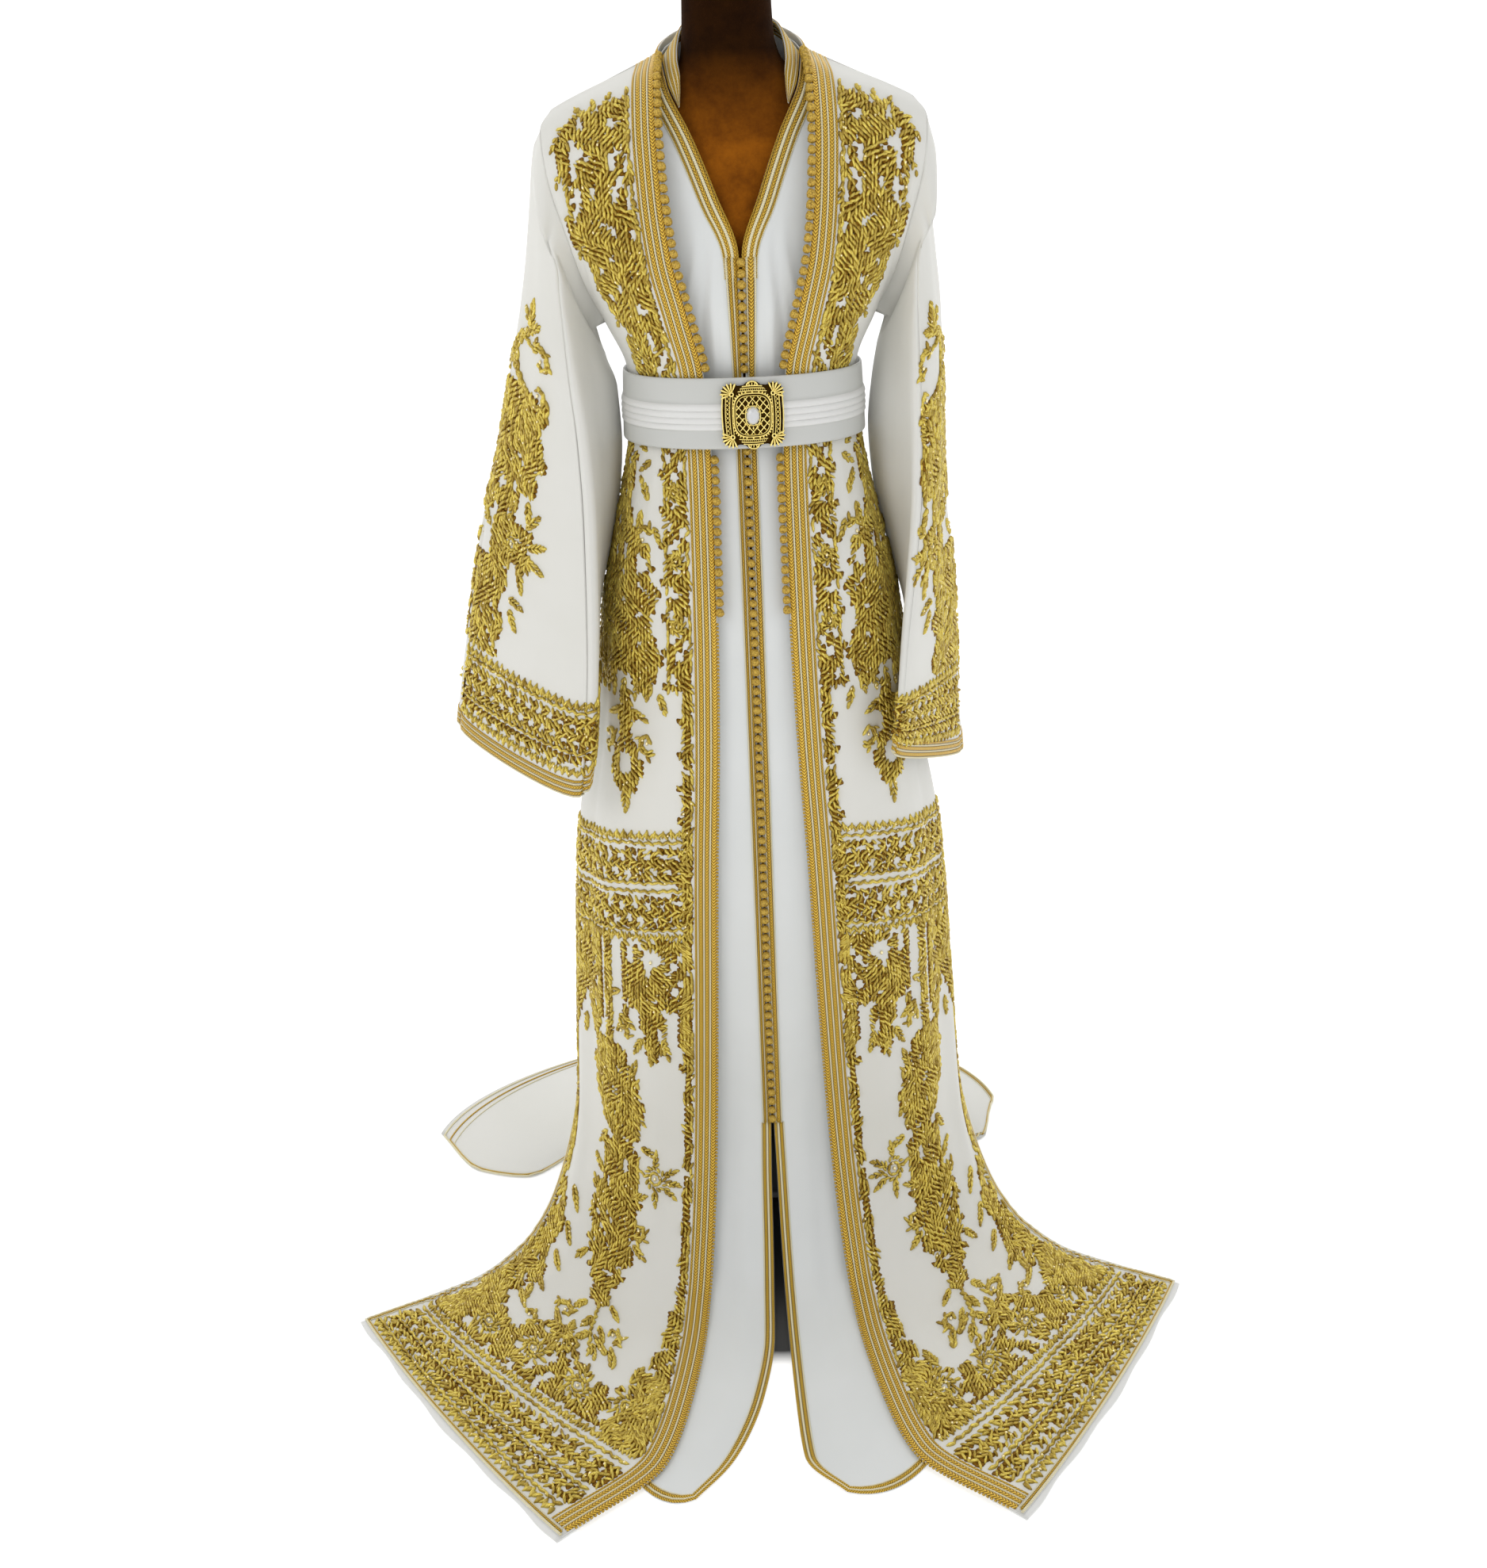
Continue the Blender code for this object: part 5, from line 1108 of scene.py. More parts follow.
def repeated(name, shape, finish, spots_at, along, out, measure, tint=None):
    """A plain mesh with one copy of the shape at every place, turned along and out, and sized."""
    seeds = bpy.data.meshes.new(name + "_points")
    seeds.from_pydata(np.asarray(spots_at).tolist(), [], [])
    for label, values in (("along", along), ("out", out), ("measure", measure)):
        layer = seeds.attributes.new(label, "FLOAT_VECTOR", "POINT")
        layer.data.foreach_set("vector", np.asarray(values, dtype=np.float32).ravel())
    if tint is not None:
        layer = seeds.attributes.new("tint", "FLOAT", "POINT")
        layer.data.foreach_set("value", np.asarray(tint, dtype=np.float32))
    holder = in_scene(name + "_points", seeds)
    bpy.context.scene.collection.objects.link(shape)
    mod = holder.modifiers.new("repeat", "NODES")
    mod.node_group = REPEAT
    for item in REPEAT.interface.items_tree:
        if item.in_out == "INPUT" and item.name in ("Shape", "Finish"):
            mod[item.identifier] = shape if item.name == "Shape" else finish
    depsgraph = bpy.context.evaluated_depsgraph_get()
    made = bpy.data.meshes.new_from_object(holder.evaluated_get(depsgraph), depsgraph=depsgraph)
    made.name = name
    for label in ("along", "out", "measure"):
        if label in made.attributes:
            made.attributes.remove(made.attributes[label])
    bpy.data.objects.remove(holder, do_unlink=True)
    bpy.context.scene.collection.objects.unlink(shape)
    return in_scene(name, made)


def relief(tree, shader, height, strength, distance, invert=False):
    bump = add_node(tree, "ShaderNodeBump", {"Strength": strength, "Distance": distance, "Height": height},
                    invert=invert)
    feed(tree, shader, {"Normal": bump.outputs["Normal"]})


def knotted_finish():
    finish, tree, shader = new_finish("knotted_gold", (0.66, 0.45, 0.13), 0.5, 0.3)
    place = add_node(tree, "ShaderNodeTexCoord").outputs["Object"]
    cells = add_node(tree, "ShaderNodeTexVoronoi", {"Scale": 620.0, "Vector": place}).outputs["Distance"]
    # the gold darkens towards the cells' edges, which the relief sinks: painted shade between the loops of the knots
    thread = mixed(tree, cells, (0.84, 0.57, 0.09, 1.0), (0.22, 0.12, 0.01, 1.0))
    feed(tree, shader, {"Base Color": thread})
    relief(tree, shader, cells, 0.7, 0.0006, True)
    return finish


knotted_gold = knotted_finish()
BUTTON_PITCH = 0.0117
BUTTON_RADIUS = 0.0053
BELT_LOW, BELT_HIGH = 1.025, 1.105
BUTTONS_END_ROW = 9.0


def button_row(name, points, outs, node):
    length = lengths_along(points)
    count = int(length[-1] / BUTTON_PITCH)
    at = (np.arange(count) + 0.5) * length[-1] / count
    place, out = (np.stack([np.interp(at, length, values[:, c]) for c in range(3)], axis=1)
                  for values in (points, outs))
    # the belt covers a few buttons, which lie flat there and aren't seen
    seen = (place[:, 2] < BELT_LOW - 0.006) | (place[:, 2] > BELT_HIGH + 0.006)
    place, out = place[seen], out[seen]
    rng = random.Random(11)
    sizes = [[BUTTON_RADIUS * (1.0 + 0.05 * rng.uniform(-1, 1))] * 3 for _ in range(len(place))]
    piece = repeated(name, knot_ball(), knotted_gold, place, np.gradient(place, axis=0), out, sizes)
    dress(piece, "gold_buttons", node)
    return piece


def along_edge(panel, ys, inset=0.0):
    """The front edge of a panel, the way out of the cloth and the way past the edge."""
    edge, outs = spots(panel, np.full(len(ys), inset), ys)
    return edge, outs, unit(edge - spots(panel, np.full(len(ys), 0.004), ys)[0])


for word in ("left", "right"):
    panel = robe_panels[word]
    edge, outs, past = along_edge(panel, np.linspace(0.012, down_at(panel, BUTTONS_END_ROW), 160))
    row = edge + past * 0.0036 + outs * 0.0012
    robe_trim[word].append(button_row("robe_knot_buttons_" + word, row, outs, "robe_buttons_" + word))
row = centre_line + front_out * (0.001 + BUTTON_RADIUS * 0.72)
button_row("inner_knot_buttons", row, front_out, "inner_buttons")

# Below the buttons a fine picot of looped gold cord runs on along the same edges of the robe to the
# hem; its loops are small flat knots, set edge to edge and sewn to the braid.
PICOT_PITCH = 0.0046
PICOT_SIZE = [0.0019, 0.0017, 0.0011]
for word in ("left", "right"):
    panel = robe_panels[word]
    ys = np.arange(down_at(panel, BUTTONS_END_ROW + 0.05), down_at(panel, 19.9), PICOT_PITCH)
    edge, outs, past = along_edge(panel, ys, 0.0004)
    place = edge + past * 0.0008 + outs * -0.0002
    picot = repeated("robe_picot_" + word, knot_ball(), knotted_gold, place, np.gradient(place, axis=0), outs,
                     np.tile(PICOT_SIZE, (len(ys), 1)))
    dress(picot, "gold_braid")
    robe_trim[word].append(picot)

# The belt: a stiff band covered in white satin, with flat bands above and below and soft pleats between.
# Columns of the profile: height and how far it stands out.
BELT_PROFILE = [
    (1.025, 0.0), (1.0248, 0.0012), (1.0258, 0.0021), (1.0288, 0.0024), (1.044, 0.0025), (1.0462, 0.0022),
    (1.0467, 0.0034), (1.0479, 0.0041), (1.0503, 0.0039), (1.0527, 0.0032), (1.0533, 0.0025),
    (1.0538, 0.0038), (1.055, 0.0045), (1.0574, 0.0042), (1.0598, 0.0034), (1.0604, 0.0027),
    (1.0609, 0.004), (1.0621, 0.0047), (1.0648, 0.0043), (1.0674, 0.0035), (1.068, 0.0027),
    (1.0685, 0.0041), (1.0697, 0.0048), (1.0722, 0.0043), (1.0752, 0.0034), (1.0758, 0.0024),
    (1.0812, 0.0025), (1.1003, 0.0024), (1.1041, 0.0021), (1.105, 0.0012), (1.105, 0.0),
    (1.0852, 0.0), (1.065, 0.0), (1.0448, 0.0),
]


def belt_ring(z):
    """How far the belt's back face lies from the middle at one height: aside, in front and behind."""
    f = (BELT_HIGH - z) / (BELT_HIGH - BELT_LOW)
    return 0.1413 + 0.0037 * f, 0.1267 + 0.0025 * f, 0.0989 + 0.0051 * f


def bulged(value, power):
    """One coordinate of a circle, pushed out towards the corners."""
    return math.copysign(abs(value) ** power, value)


verts, faces, uvs = [], [], []
BELT_STEPS = 160
BELT_POWER = 2.3
BELT_BULGE = 2.0 / BELT_POWER
for k in range(BELT_STEPS):
    a = 2.0 * math.pi * k / BELT_STEPS
    waver = 0.0002 * math.sin(5.0 * a) + 0.00015 * math.sin(11.0 * a + 1.0)
    for z, out in BELT_PROFILE:
        side_r, front_r, back_r = belt_ring(z)
        deep = front_r if math.sin(a) < 0 else back_r
        out += waver if out > 0.0026 else 0.0
        verts.append(((side_r + out) * bulged(math.cos(a), BELT_BULGE),
                      (deep + out) * bulged(math.sin(a), BELT_BULGE), z))
        uvs.append((0.135 * a, z))
count = len(BELT_PROFILE)
for k in range(BELT_STEPS):
    n = (k + 1) % BELT_STEPS
    for m in range(count):
        faces.append((k * count + m, n * count + m, n * count + (m + 1) % count, k * count + (m + 1) % count))
belt_satin = woven_finish("belt_satin_finish", (0.75, 0.75, 0.735), (0.7, 0.7, 0.685), 0.42, 0.1, 600.0, 0.15)
# the flat bands above and below the pleats are coloured greyer than the pleats
GREYER = (0.765, 0.775, 0.76)
tree = belt_satin.node_tree
shader = tree.nodes["Principled BSDF"]
height = add_node(tree, "ShaderNodeSeparateXYZ", {0: tree.nodes["UV Map"].outputs["UV"]}).outputs["Y"]
share = add_node(tree, "ShaderNodeMapRange", {"Value": height, "From Min": BELT_LOW, "From Max": BELT_HIGH})
bands = ramp_node(tree, share.outputs["Result"], ((0.0, GREYER), (0.268, WHITE), (0.636, GREYER)), "CONSTANT")
woven = shader.inputs["Base Color"].links[0].from_socket
feed(tree, shader, {"Base Color": mixed(tree, 1.0, woven, bands, "MULTIPLY")})
belt = outward(mesh_piece("belt_satin_band", verts, faces, belt_satin, uvs))
dress(belt, "belt_satin", "belt_band")

# The buckle: cast gilt filigree, a domed lattice panel between side bars, shells at the corners.
# Every wire lies on a sheet bent like the belt's front; places on it are x and height from its middle.
BUCKLE_MIDDLE = 1.0635
BUCKLE_X = 0.0075


def on_buckle(x, z, out):
    x += BUCKLE_X
    side_r, front_r, _ = belt_ring(BUCKLE_MIDDLE + z)
    reach = side_r + 0.004
    y = -(front_r + 0.004) * (1.0 - abs(x / reach) ** BELT_POWER) ** (1.0 / BELT_POWER)
    return (x, y - out, BUCKLE_MIDDLE + z)


def buckle_out(x):
    x += BUCKLE_X
    slope = 0.9 * math.copysign(abs(x / 0.1458) ** 1.3, x)
    length = math.hypot(slope, 1.0)
    return (slope / length, -1.0 / length, 0.0)


def gilt_finish(name, rgb, rough):
    finish, tree, shader = new_finish(name, rgb, rough, 1.0)
    place = add_node(tree, "ShaderNodeTexCoord").outputs["Object"]
    grain = add_node(tree, "ShaderNodeTexNoise", {"Scale": 900.0, "Vector": place})
    relief(tree, shader, grain.outputs["Fac"], 0.25, 0.0003)
    return finish


gilt = gilt_finish("gilt_brass", (1.0, 0.83, 0.3), 0.24)
# the ground's near-black colour is painted shadow between the buckle's wires
gilt_shadow = gilt_finish("gilt_brass_ground_painted_shadow", (0.045, 0.022, 0.003), 0.55)
PANEL_X, PANEL_Z = 0.0215, 0.0245
PANEL_POWER = 3.2


def panel_reach(x, z, share=1.0):
    """0 at the middle of the buckle's domed panel and 1 at its border."""
    return (abs(x) / (PANEL_X * share)) ** PANEL_POWER + (abs(z) / (PANEL_Z * share)) ** PANEL_POWER


def dome(x, z):
    return 0.0036 * max(0.0, 1.0 - panel_reach(x, z)) ** 0.5


def wire(line, half, high, lift=0.0, closed=False):
    points = [on_buckle(x, z, 0.0026 + lift + dome(x, z)) for x, z in line]
    return strand(points, [buckle_out(x) for x, z in line], half, high, 4, 0.0, closed)


def circle(count, offset=0.0):
    turns = [2.0 * math.pi * (k + offset) / count for k in range(count)]
    return [(math.cos(a), math.sin(a)) for a in turns]


def rounded(half_x, half_z, count=48, power=PANEL_POWER):
    return [(half_x * bulged(c, 2.0 / power), half_z * bulged(s, 2.0 / power)) for c, s in circle(count)]


wires = []
for share, half in ((1.0, 0.0011), (0.9, 0.0006)):
    wires.append(wire(rounded(PANEL_X * share, PANEL_Z * share), half, 0.0017, closed=True))
BEAD_WIDTHS = np.array([0.0009, 0.0013, 0.0007])
for x, z in rounded(PANEL_X * 1.05, PANEL_Z * 1.05, 36):
    wires.append(wire([(x * 0.97, z * 0.97), (x, z), (x * 1.05, z * 1.05)], BEAD_WIDTHS, 0.0018))
# the lattice is cut to the ring between the stone's bezel and the panel's border
LATTICE_PITCH = 0.0092
for slant in (-1.0, 1.0):
    for k in range(-6, 7):
        run = []
        for step in range(-30, 32):
            x = step * 0.0008
            z = slant * x * 1.15 + k * LATTICE_PITCH
            clear = (x / 0.0098) ** 2 + (z / 0.0124) ** 2 > 1.0
            if step <= 30 and clear and panel_reach(x, z, 0.9) < 1.0:
                run.append((x, z))
            else:
                if len(run) > 2:
                    wires.append(wire(run[::3] + [run[-1]], 0.00078, 0.0018))
                run = []
for sign in (-1.0, 1.0):
    for level in (0.0262, 0.0294, 0.0318):
        half_x = 0.0165 - (level - 0.0262) * 0.9
        line = [(half_x * s / 8.0, sign * (level + 0.0012 * math.cos(1.2 * s / 8.0))) for s in range(-8, 9)]
        wires.append(wire(line, 0.0008, 0.0016, 0.0006))
    for step in range(-6, 7):
        x = step * 0.0023
        bent = [(x, sign * 0.0268), (x + 0.0009, sign * 0.0282), (x, sign * 0.0298)]
        wires.append(wire(bent, 0.0004, 0.0012, 0.0004))
    crown = [(0.0062 * math.cos(a), sign * (0.033 + 0.0048 * math.sin(a))) for a in np.linspace(0.0, math.pi, 11)]
    wires.append(wire(crown, 0.001, 0.0018, 0.0008))
    wires.append(wire([(-0.0062, sign * 0.0332), (0.0062, sign * 0.0332)], 0.0007, 0.0016, 0.0008))
    for step in (-1, 0, 1):
        wires.append(wire([(step * 0.003, sign * 0.0334), (step * 0.0036, sign * 0.0366)], 0.0007, 0.0014, 0.0008))
for sign in (-1.0, 1.0):
    for x, half in ((0.035, 0.0009), (0.0312, 0.0006), (0.0262, 0.0006), (0.0232, 0.0006)):
        line = [(sign * (x - 0.0012 * (z / 0.022) ** 2), z) for z in np.linspace(-0.0245, 0.0245, 15)]
        wires.append(wire(line, half, 0.0015, 0.0003))
    for k in range(-5, 5):
        z = k * 0.0048
        for x0, x1 in ((0.0264, 0.031), (0.031, 0.0264)):
            wires.append(wire([(sign * x0, z), (sign * x1, z + 0.0048)], 0.00045, 0.001, 0.0002))
for sign_x in (-1.0, 1.0):
    for sign_z in (-1.0, 1.0):
        for k in range(7):
            a = math.radians(-22.0 + 134.0 * k / 6.0)
            line = []
            for s in (0.1, 0.35, 0.6, 0.85, 1.0):
                r = 0.0128 * s
                line.append((sign_x * (0.0238 + r * math.cos(a)), sign_z * (0.0242 + r * math.sin(a))))
            half = np.array([0.0004, 0.0008, 0.0012, 0.0014, 0.0005])
            wires.append(wire(line, half, 0.0019, 0.0008))
        heart = [(sign_x * (0.0236 + 0.0022 * math.cos(a)), sign_z * (0.024 + 0.0022 * math.sin(a)))
                 for a in np.linspace(0.0, 2.0 * math.pi, 9)[:-1]]
        wires.append(wire(heart, 0.0011, 0.0022, 0.001, closed=True))
lattice = strand_piece("buckle_filigree", wires, gilt)
dress(lattice, "buckle_brass", "buckle_frame")

# Under the filigree lies the buckle's ground, a plate of the same brass whose colour is painted near black.
# It is fixed to the front of the belt, and its near-black colour is painted shadow between the wires.
GROUND = [
    (0.0, 0.0372), (0.006, 0.0368), (0.01, 0.0335), (0.016, 0.033), (0.022, 0.035),
    (0.028, 0.0345), (0.033, 0.0315), (0.0352, 0.0262), (0.0345, 0.02), (0.0335, 0.012), (0.0345, 0.0),
]
GROUND_BACK, GROUND_FRONT = 0.0006, 0.0022
right_half = GROUND + [(x, -z) for x, z in reversed(GROUND[:-1])]
ground_line = right_half + [(-x, z) for x, z in reversed(right_half[1:-1])]
count = len(ground_line)
verts, faces = [], []
SHARES = (1.0, 0.8, 0.6, 0.4, 0.2)
for front in (False, True):
    for share in SHARES:
        for x, z in ground_line:
            out = GROUND_FRONT + dome(x * share, z * share) if front else GROUND_BACK
            verts.append(on_buckle(x * share, z * share, out))
steps = len(SHARES)
for k in range(count):
    n = (k + 1) % count
    for s in range(steps - 1):
        a, b = s * count, (s + 1) * count
        faces.append((a + k, b + k, b + n, a + n))
        a, b = (steps + s) * count, (steps + s + 1) * count
        faces.append((a + k, a + n, b + n, b + k))
    faces.append((k, n, steps * count + n, steps * count + k))
verts.append(on_buckle(0.0, 0.0, GROUND_BACK))
verts.append(on_buckle(0.0, 0.0, GROUND_FRONT + dome(0.0, 0.0)))
for k in range(count):
    n = (k + 1) % count
    faces.append(((steps - 1) * count + k, 2 * steps * count, (steps - 1) * count + n))
    faces.append(((2 * steps - 1) * count + k, (2 * steps - 1) * count + n, 2 * steps * count + 1))
ground = outward(mesh_piece("buckle_ground", verts, faces, gilt_shadow, [(v[0], v[2]) for v in verts]))
dress(ground, "buckle_brass", "buckle_plate")

# The stone: a clear glass cushion with stepped facets, with a silver foil behind it, held by a
# beaded bezel of gilt brass with eight small claws.
STONE_X, STONE_Z, CORNER = 0.0075, 0.01, 0.45
STONE_CORNERS = ((1, CORNER), (CORNER, 1), (-CORNER, 1), (-1, CORNER),
                 (-1, -CORNER), (-CORNER, -1), (CORNER, -1), (1, -CORNER))
STONE_STEPS = [(0.62, 0.003), (0.92, 0.0052), (1.0, 0.0062), (0.8, 0.0092), (0.46, 0.0108)]


def faceted(name, verts, faces, finish, nodes=()):
    piece = outward(mesh_piece(name, verts, faces, finish, [(v[0], v[2]) for v in verts]))
    piece.data.polygons.foreach_set("use_smooth", [False] * len(piece.data.polygons))
    dress(piece, "crystal_clear", *nodes)
    return piece


verts = [on_buckle(sx * STONE_X * share, sz * STONE_Z * share, out + 0.0012)
         for share, out in STONE_STEPS for sx, sz in STONE_CORNERS]
glass, tree, shader = new_finish("clear_glass", (0.97, 0.98, 1.0), 0.03)
feed(tree, shader, {"Transmission Weight": 0.35, "IOR": 1.6})
stone = faceted("buckle_glass_stone", verts, ring_faces(len(STONE_STEPS), 8), glass, ["buckle_stone"])
foil_line = rounded(0.006, 0.0084, 24)
verts = [on_buckle(x * share, z * share, out) for share, out in ((1.0, 0.0036), (0.3, 0.003), (1.0, 0.0026))
         for x, z in foil_line]
faces = []
for k in range(24):
    n = (k + 1) % 24
    faces += [(k, n, 24 + n, 24 + k), (48 + k, 48 + n, n, k)]
faces += [tuple(range(24, 48)), tuple(range(48, 72))[::-1]]
foil = faceted("buckle_stone_foil", verts, faces, new_finish("silver_foil", (0.97, 0.97, 1.0), 0.08, 1.0)[0])
bezel = [wire(rounded(0.0084, 0.0109, 32, 2.8), 0.0008, 0.0022, 0.0006, closed=True)]
for c, s in circle(14, 0.5):
    bezel.append(wire([(0.0094 * c, 0.0119 * s), (0.0112 * c, 0.0139 * s), (0.0128 * c, 0.0157 * s)],
                      np.array([0.0005, 0.0012, 0.0004]), 0.0024, 0.0006))
for sx, sz in ((1, 0.5), (1, -0.5), (-1, 0.5), (-1, -0.5), (0.45, 1), (-0.45, 1), (0.45, -1), (-0.45, -1)):
    bezel.append(wire([(sx * 0.0076, sz * 0.01), (sx * 0.0062, sz * 0.0084)], 0.0006, 0.0012, 0.0042))
bezel_piece = strand_piece("buckle_bezel", bezel, gilt)
dress(bezel_piece, "buckle_brass")

# The dress form: a limbless body covered in brown velvet; only its neck and chest show.
# Columns: height, half width, depth in front and behind, how far back its middle lies.
FORM = [
    (0.745, 0.16, 0.104, 0.104, 0.0), (0.748, 0.162, 0.106, 0.106, 0.0),
    (0.8, 0.163, 0.112, 0.11, 0.0), (0.88, 0.152, 0.112, 0.106, 0.0),
    (0.96, 0.13, 0.1, 0.088, 0.0), (1.02, 0.118, 0.088, 0.078, 0.0),
    (1.06, 0.115, 0.086, 0.076, 0.0), (1.11, 0.118, 0.09, 0.077, 0.0),
    (1.18, 0.14, 0.104, 0.084, 0.0), (1.25, 0.158, 0.1, 0.09, 0.0),
    (1.32, 0.17, 0.08, 0.086, 0.0), (1.37, 0.168, 0.06, 0.078, 0.002),
    (1.395, 0.142, 0.05, 0.06, 0.003), (1.415, 0.104, 0.046, 0.05, 0.004),
    (1.43, 0.068, 0.045, 0.044, 0.005), (1.445, 0.056, 0.045, 0.042, 0.006),
    (1.47, 0.052, 0.044, 0.042, 0.008), (1.515, 0.05, 0.044, 0.044, 0.01),
]


def turned_piece(name, profile, finish, around, rows, sway=0.0):
    """A closed body of rings round the pole; sway moves its neck a little aside."""
    verts, uvs = [], []
    for t in np.linspace(0.0, len(profile) - 1.0, rows):
        z, side_r, front_r, back_r, cen = row_at(profile, t)
        aside = sway * min(1.0, max(0.0, (z - 1.43) / 0.03))
        for k in range(around):
            a = 2.0 * math.pi * k / around
            deep = front_r if math.sin(a) < 0 else back_r
            verts.append((side_r * math.cos(a) + aside, cen + deep * math.sin(a), z))
            uvs.append((k / around, z))
    return outward(mesh_piece(name, verts, ring_faces(rows, around), finish, uvs))


def velvet_finish():
    finish, tree, shader = new_finish("brown_velvet", (0.17, 0.045, 0.006), 0.85)
    feed(tree, shader, {"Specular IOR Level": 0.06, "Sheen Weight": 0.04, "Sheen Roughness": 0.35,
                        "Sheen Tint": (0.7, 0.3, 0.05, 1.0)})
    place = add_node(tree, "ShaderNodeTexCoord").outputs["Object"]
    patches = add_node(tree, "ShaderNodeTexNoise", {
        "Scale": 34.0, "Detail": 6.0, "Roughness": 0.7, "Vector": place}).outputs["Fac"]
    nap = add_node(tree, "ShaderNodeTexNoise", {"Scale": 480.0, "Detail": 2.0, "Vector": place})
    pile = ramp_node(tree, patches, ((0.32, (0.135, 0.037, 0.002)), (0.7, (0.29, 0.088, 0.004))))
    # the velvet is coloured much darker towards the top of the neck
    height = add_node(tree, "ShaderNodeSeparateXYZ", {0: place}).outputs["Z"]
    neck_darkening = add_node(tree, "ShaderNodeMapRange", {
        "Value": height, "From Min": 1.35, "From Max": 1.45, "To Min": 1.0, "To Max": 0.08})
    feed(tree, shader, {"Base Color": mixed(tree, 1.0, pile, neck_darkening.outputs["Result"], "MULTIPLY")})
    relief(tree, shader, nap.outputs["Fac"], 0.5, 0.0006)
    return finish


form = turned_piece("form_velvet_body", FORM, velvet_finish(), 72, 90, -0.003)
dress(form, "form_suede", "form_torso")


# The stand: a plain steel pole on a round base under the form, and a turned steel cap that closes
# the form's neck. Each is turned from bar or plate and brushed.
def steel_finish():
    finish, tree, shader = new_finish("brushed_dark_steel", (0.24, 0.24, 0.25), 0.38, 1.0)
    place = add_node(tree, "ShaderNodeTexCoord").outputs["Object"]
    stretch = add_node(tree, "ShaderNodeMapping", {"Scale": (30.0, 30.0, 900.0), "Vector": place})
    grain = add_node(tree, "ShaderNodeTexNoise", {"Scale": 1.0, "Vector": stretch.outputs["Vector"]})
    relief(tree, shader, grain.outputs["Fac"], 0.2, 0.0002)
    return finish


def round_rows(middle, *rows):
    """A turned profile that is as deep as it is wide, from its heights and radii."""
    return [(z, r, r, r, middle) for z, r in rows]


steel = steel_finish()
CAP = round_rows(0.01, (1.5154, 0.046), (1.516, 0.0485), (1.518, 0.049), (1.523, 0.049), (1.5262, 0.046),
                 (1.528, 0.036))
BASE = round_rows(0.0, (0.0, 0.15), (0.005, 0.15), (0.0072, 0.148), (0.012, 0.14), (0.0122, 0.03))
POLE = round_rows(0.0, (0.0126, 0.0125), (0.7446, 0.0125))
for name, profile, around, rows, node in (("form_steel_cap", CAP, 64, 24, "form_neck_cap"),
                                          ("stand_round_base", BASE, 96, 24, "stand_base"),
                                          ("stand_steel_pole", POLE, 48, 12, "stand_pole")):
    dress(turned_piece(name, profile, steel, around, rows), "stand_steel", node)

# The robe's hem is lined with a pale satin strip, sewn under the silk, that peeks a little past it
# on the floor.
lining_satin = woven_finish("lining_satin_finish", (0.84, 0.84, 0.82), (0.79, 0.79, 0.77), 0.5, 0.1, 600.0, 0.15)
LINING_DEEP = -0.04
for word in ("left", "right"):
    base = robe_panels[word]["base"]
    cols = base.shape[1]
    verts, uvs = [], []
    run = 0.0
    for i in range(cols):
        a, b = base[-1, i], base[-2, i]
        out = (a - b) / np.linalg.norm(a - b)
        reach = 0.0052 + 0.0024 * math.sin(0.45 * i + 0.8) * math.sin(0.21 * i)
        if i:
            run += float(np.linalg.norm(base[-1, i] - base[-1, i - 1]))
        for far, high in ((LINING_DEEP, 0.0002), (reach, 0.0002), (reach + 0.0006, 0.0012), (reach, 0.0022),
                          (LINING_DEEP, 0.0028)):
            verts.append((a[0] + out[0] * far, a[1] + out[1] * far, high))
            uvs.append((run, far))
    lining = outward(mesh_piece("robe_hem_lining_" + word, verts, ring_faces(cols, 5), lining_satin, uvs))
    dress(lining, "inner_satin", "robe_lining_" + word)

# The embroidery is padded gold work: short thick bullion stitches laid as stems, leaves, flowers and
# dense covers over the shoulders, hips, knees, hems, vents and sleeves, the same on both sides.
# A stitch is one low shape of a few faces; its place is given in metres across and down a panel.


def small_shape(name, stations, profile):
    """A low rounded shape, one unit long, wide and high, lying along its first axis."""
    verts, uvs = [], []
    for along, size in stations:
        for across, up in profile:
            verts.append((along, across * size, up * size - 0.06))
            uvs.append((across + 0.5, along + 0.5))
    mesh = bpy.data.meshes.new(name)
    mesh.from_pydata(verts, [], ring_faces(len(stations), len(profile)))
    layer = mesh.uv_layers.new(name="UVMap")
    for loop in mesh.loops:
        layer.data[loop.index].uv = uvs[loop.vertex_index]
    mesh.polygons.foreach_set("use_smooth", [True] * len(mesh.polygons))
    return outward(bpy.data.objects.new(name, mesh))


def bullion_shape():
    return small_shape("bullion_stitch", ((-0.5, 0.34), (-0.22, 0.96), (0.22, 0.96), (0.5, 0.34)),
                       ((-0.5, 0.0), (-0.22, 0.92), (0.22, 0.92), (0.5, 0.0)))


def sequin_shape():
    return small_shape("sequin", ((-0.5, 0.45), (0.0, 1.0), (0.5, 0.45)),
                       ((-0.5, 0.0), (-0.25, 0.9), (0.25, 0.9), (0.5, 0.0)))


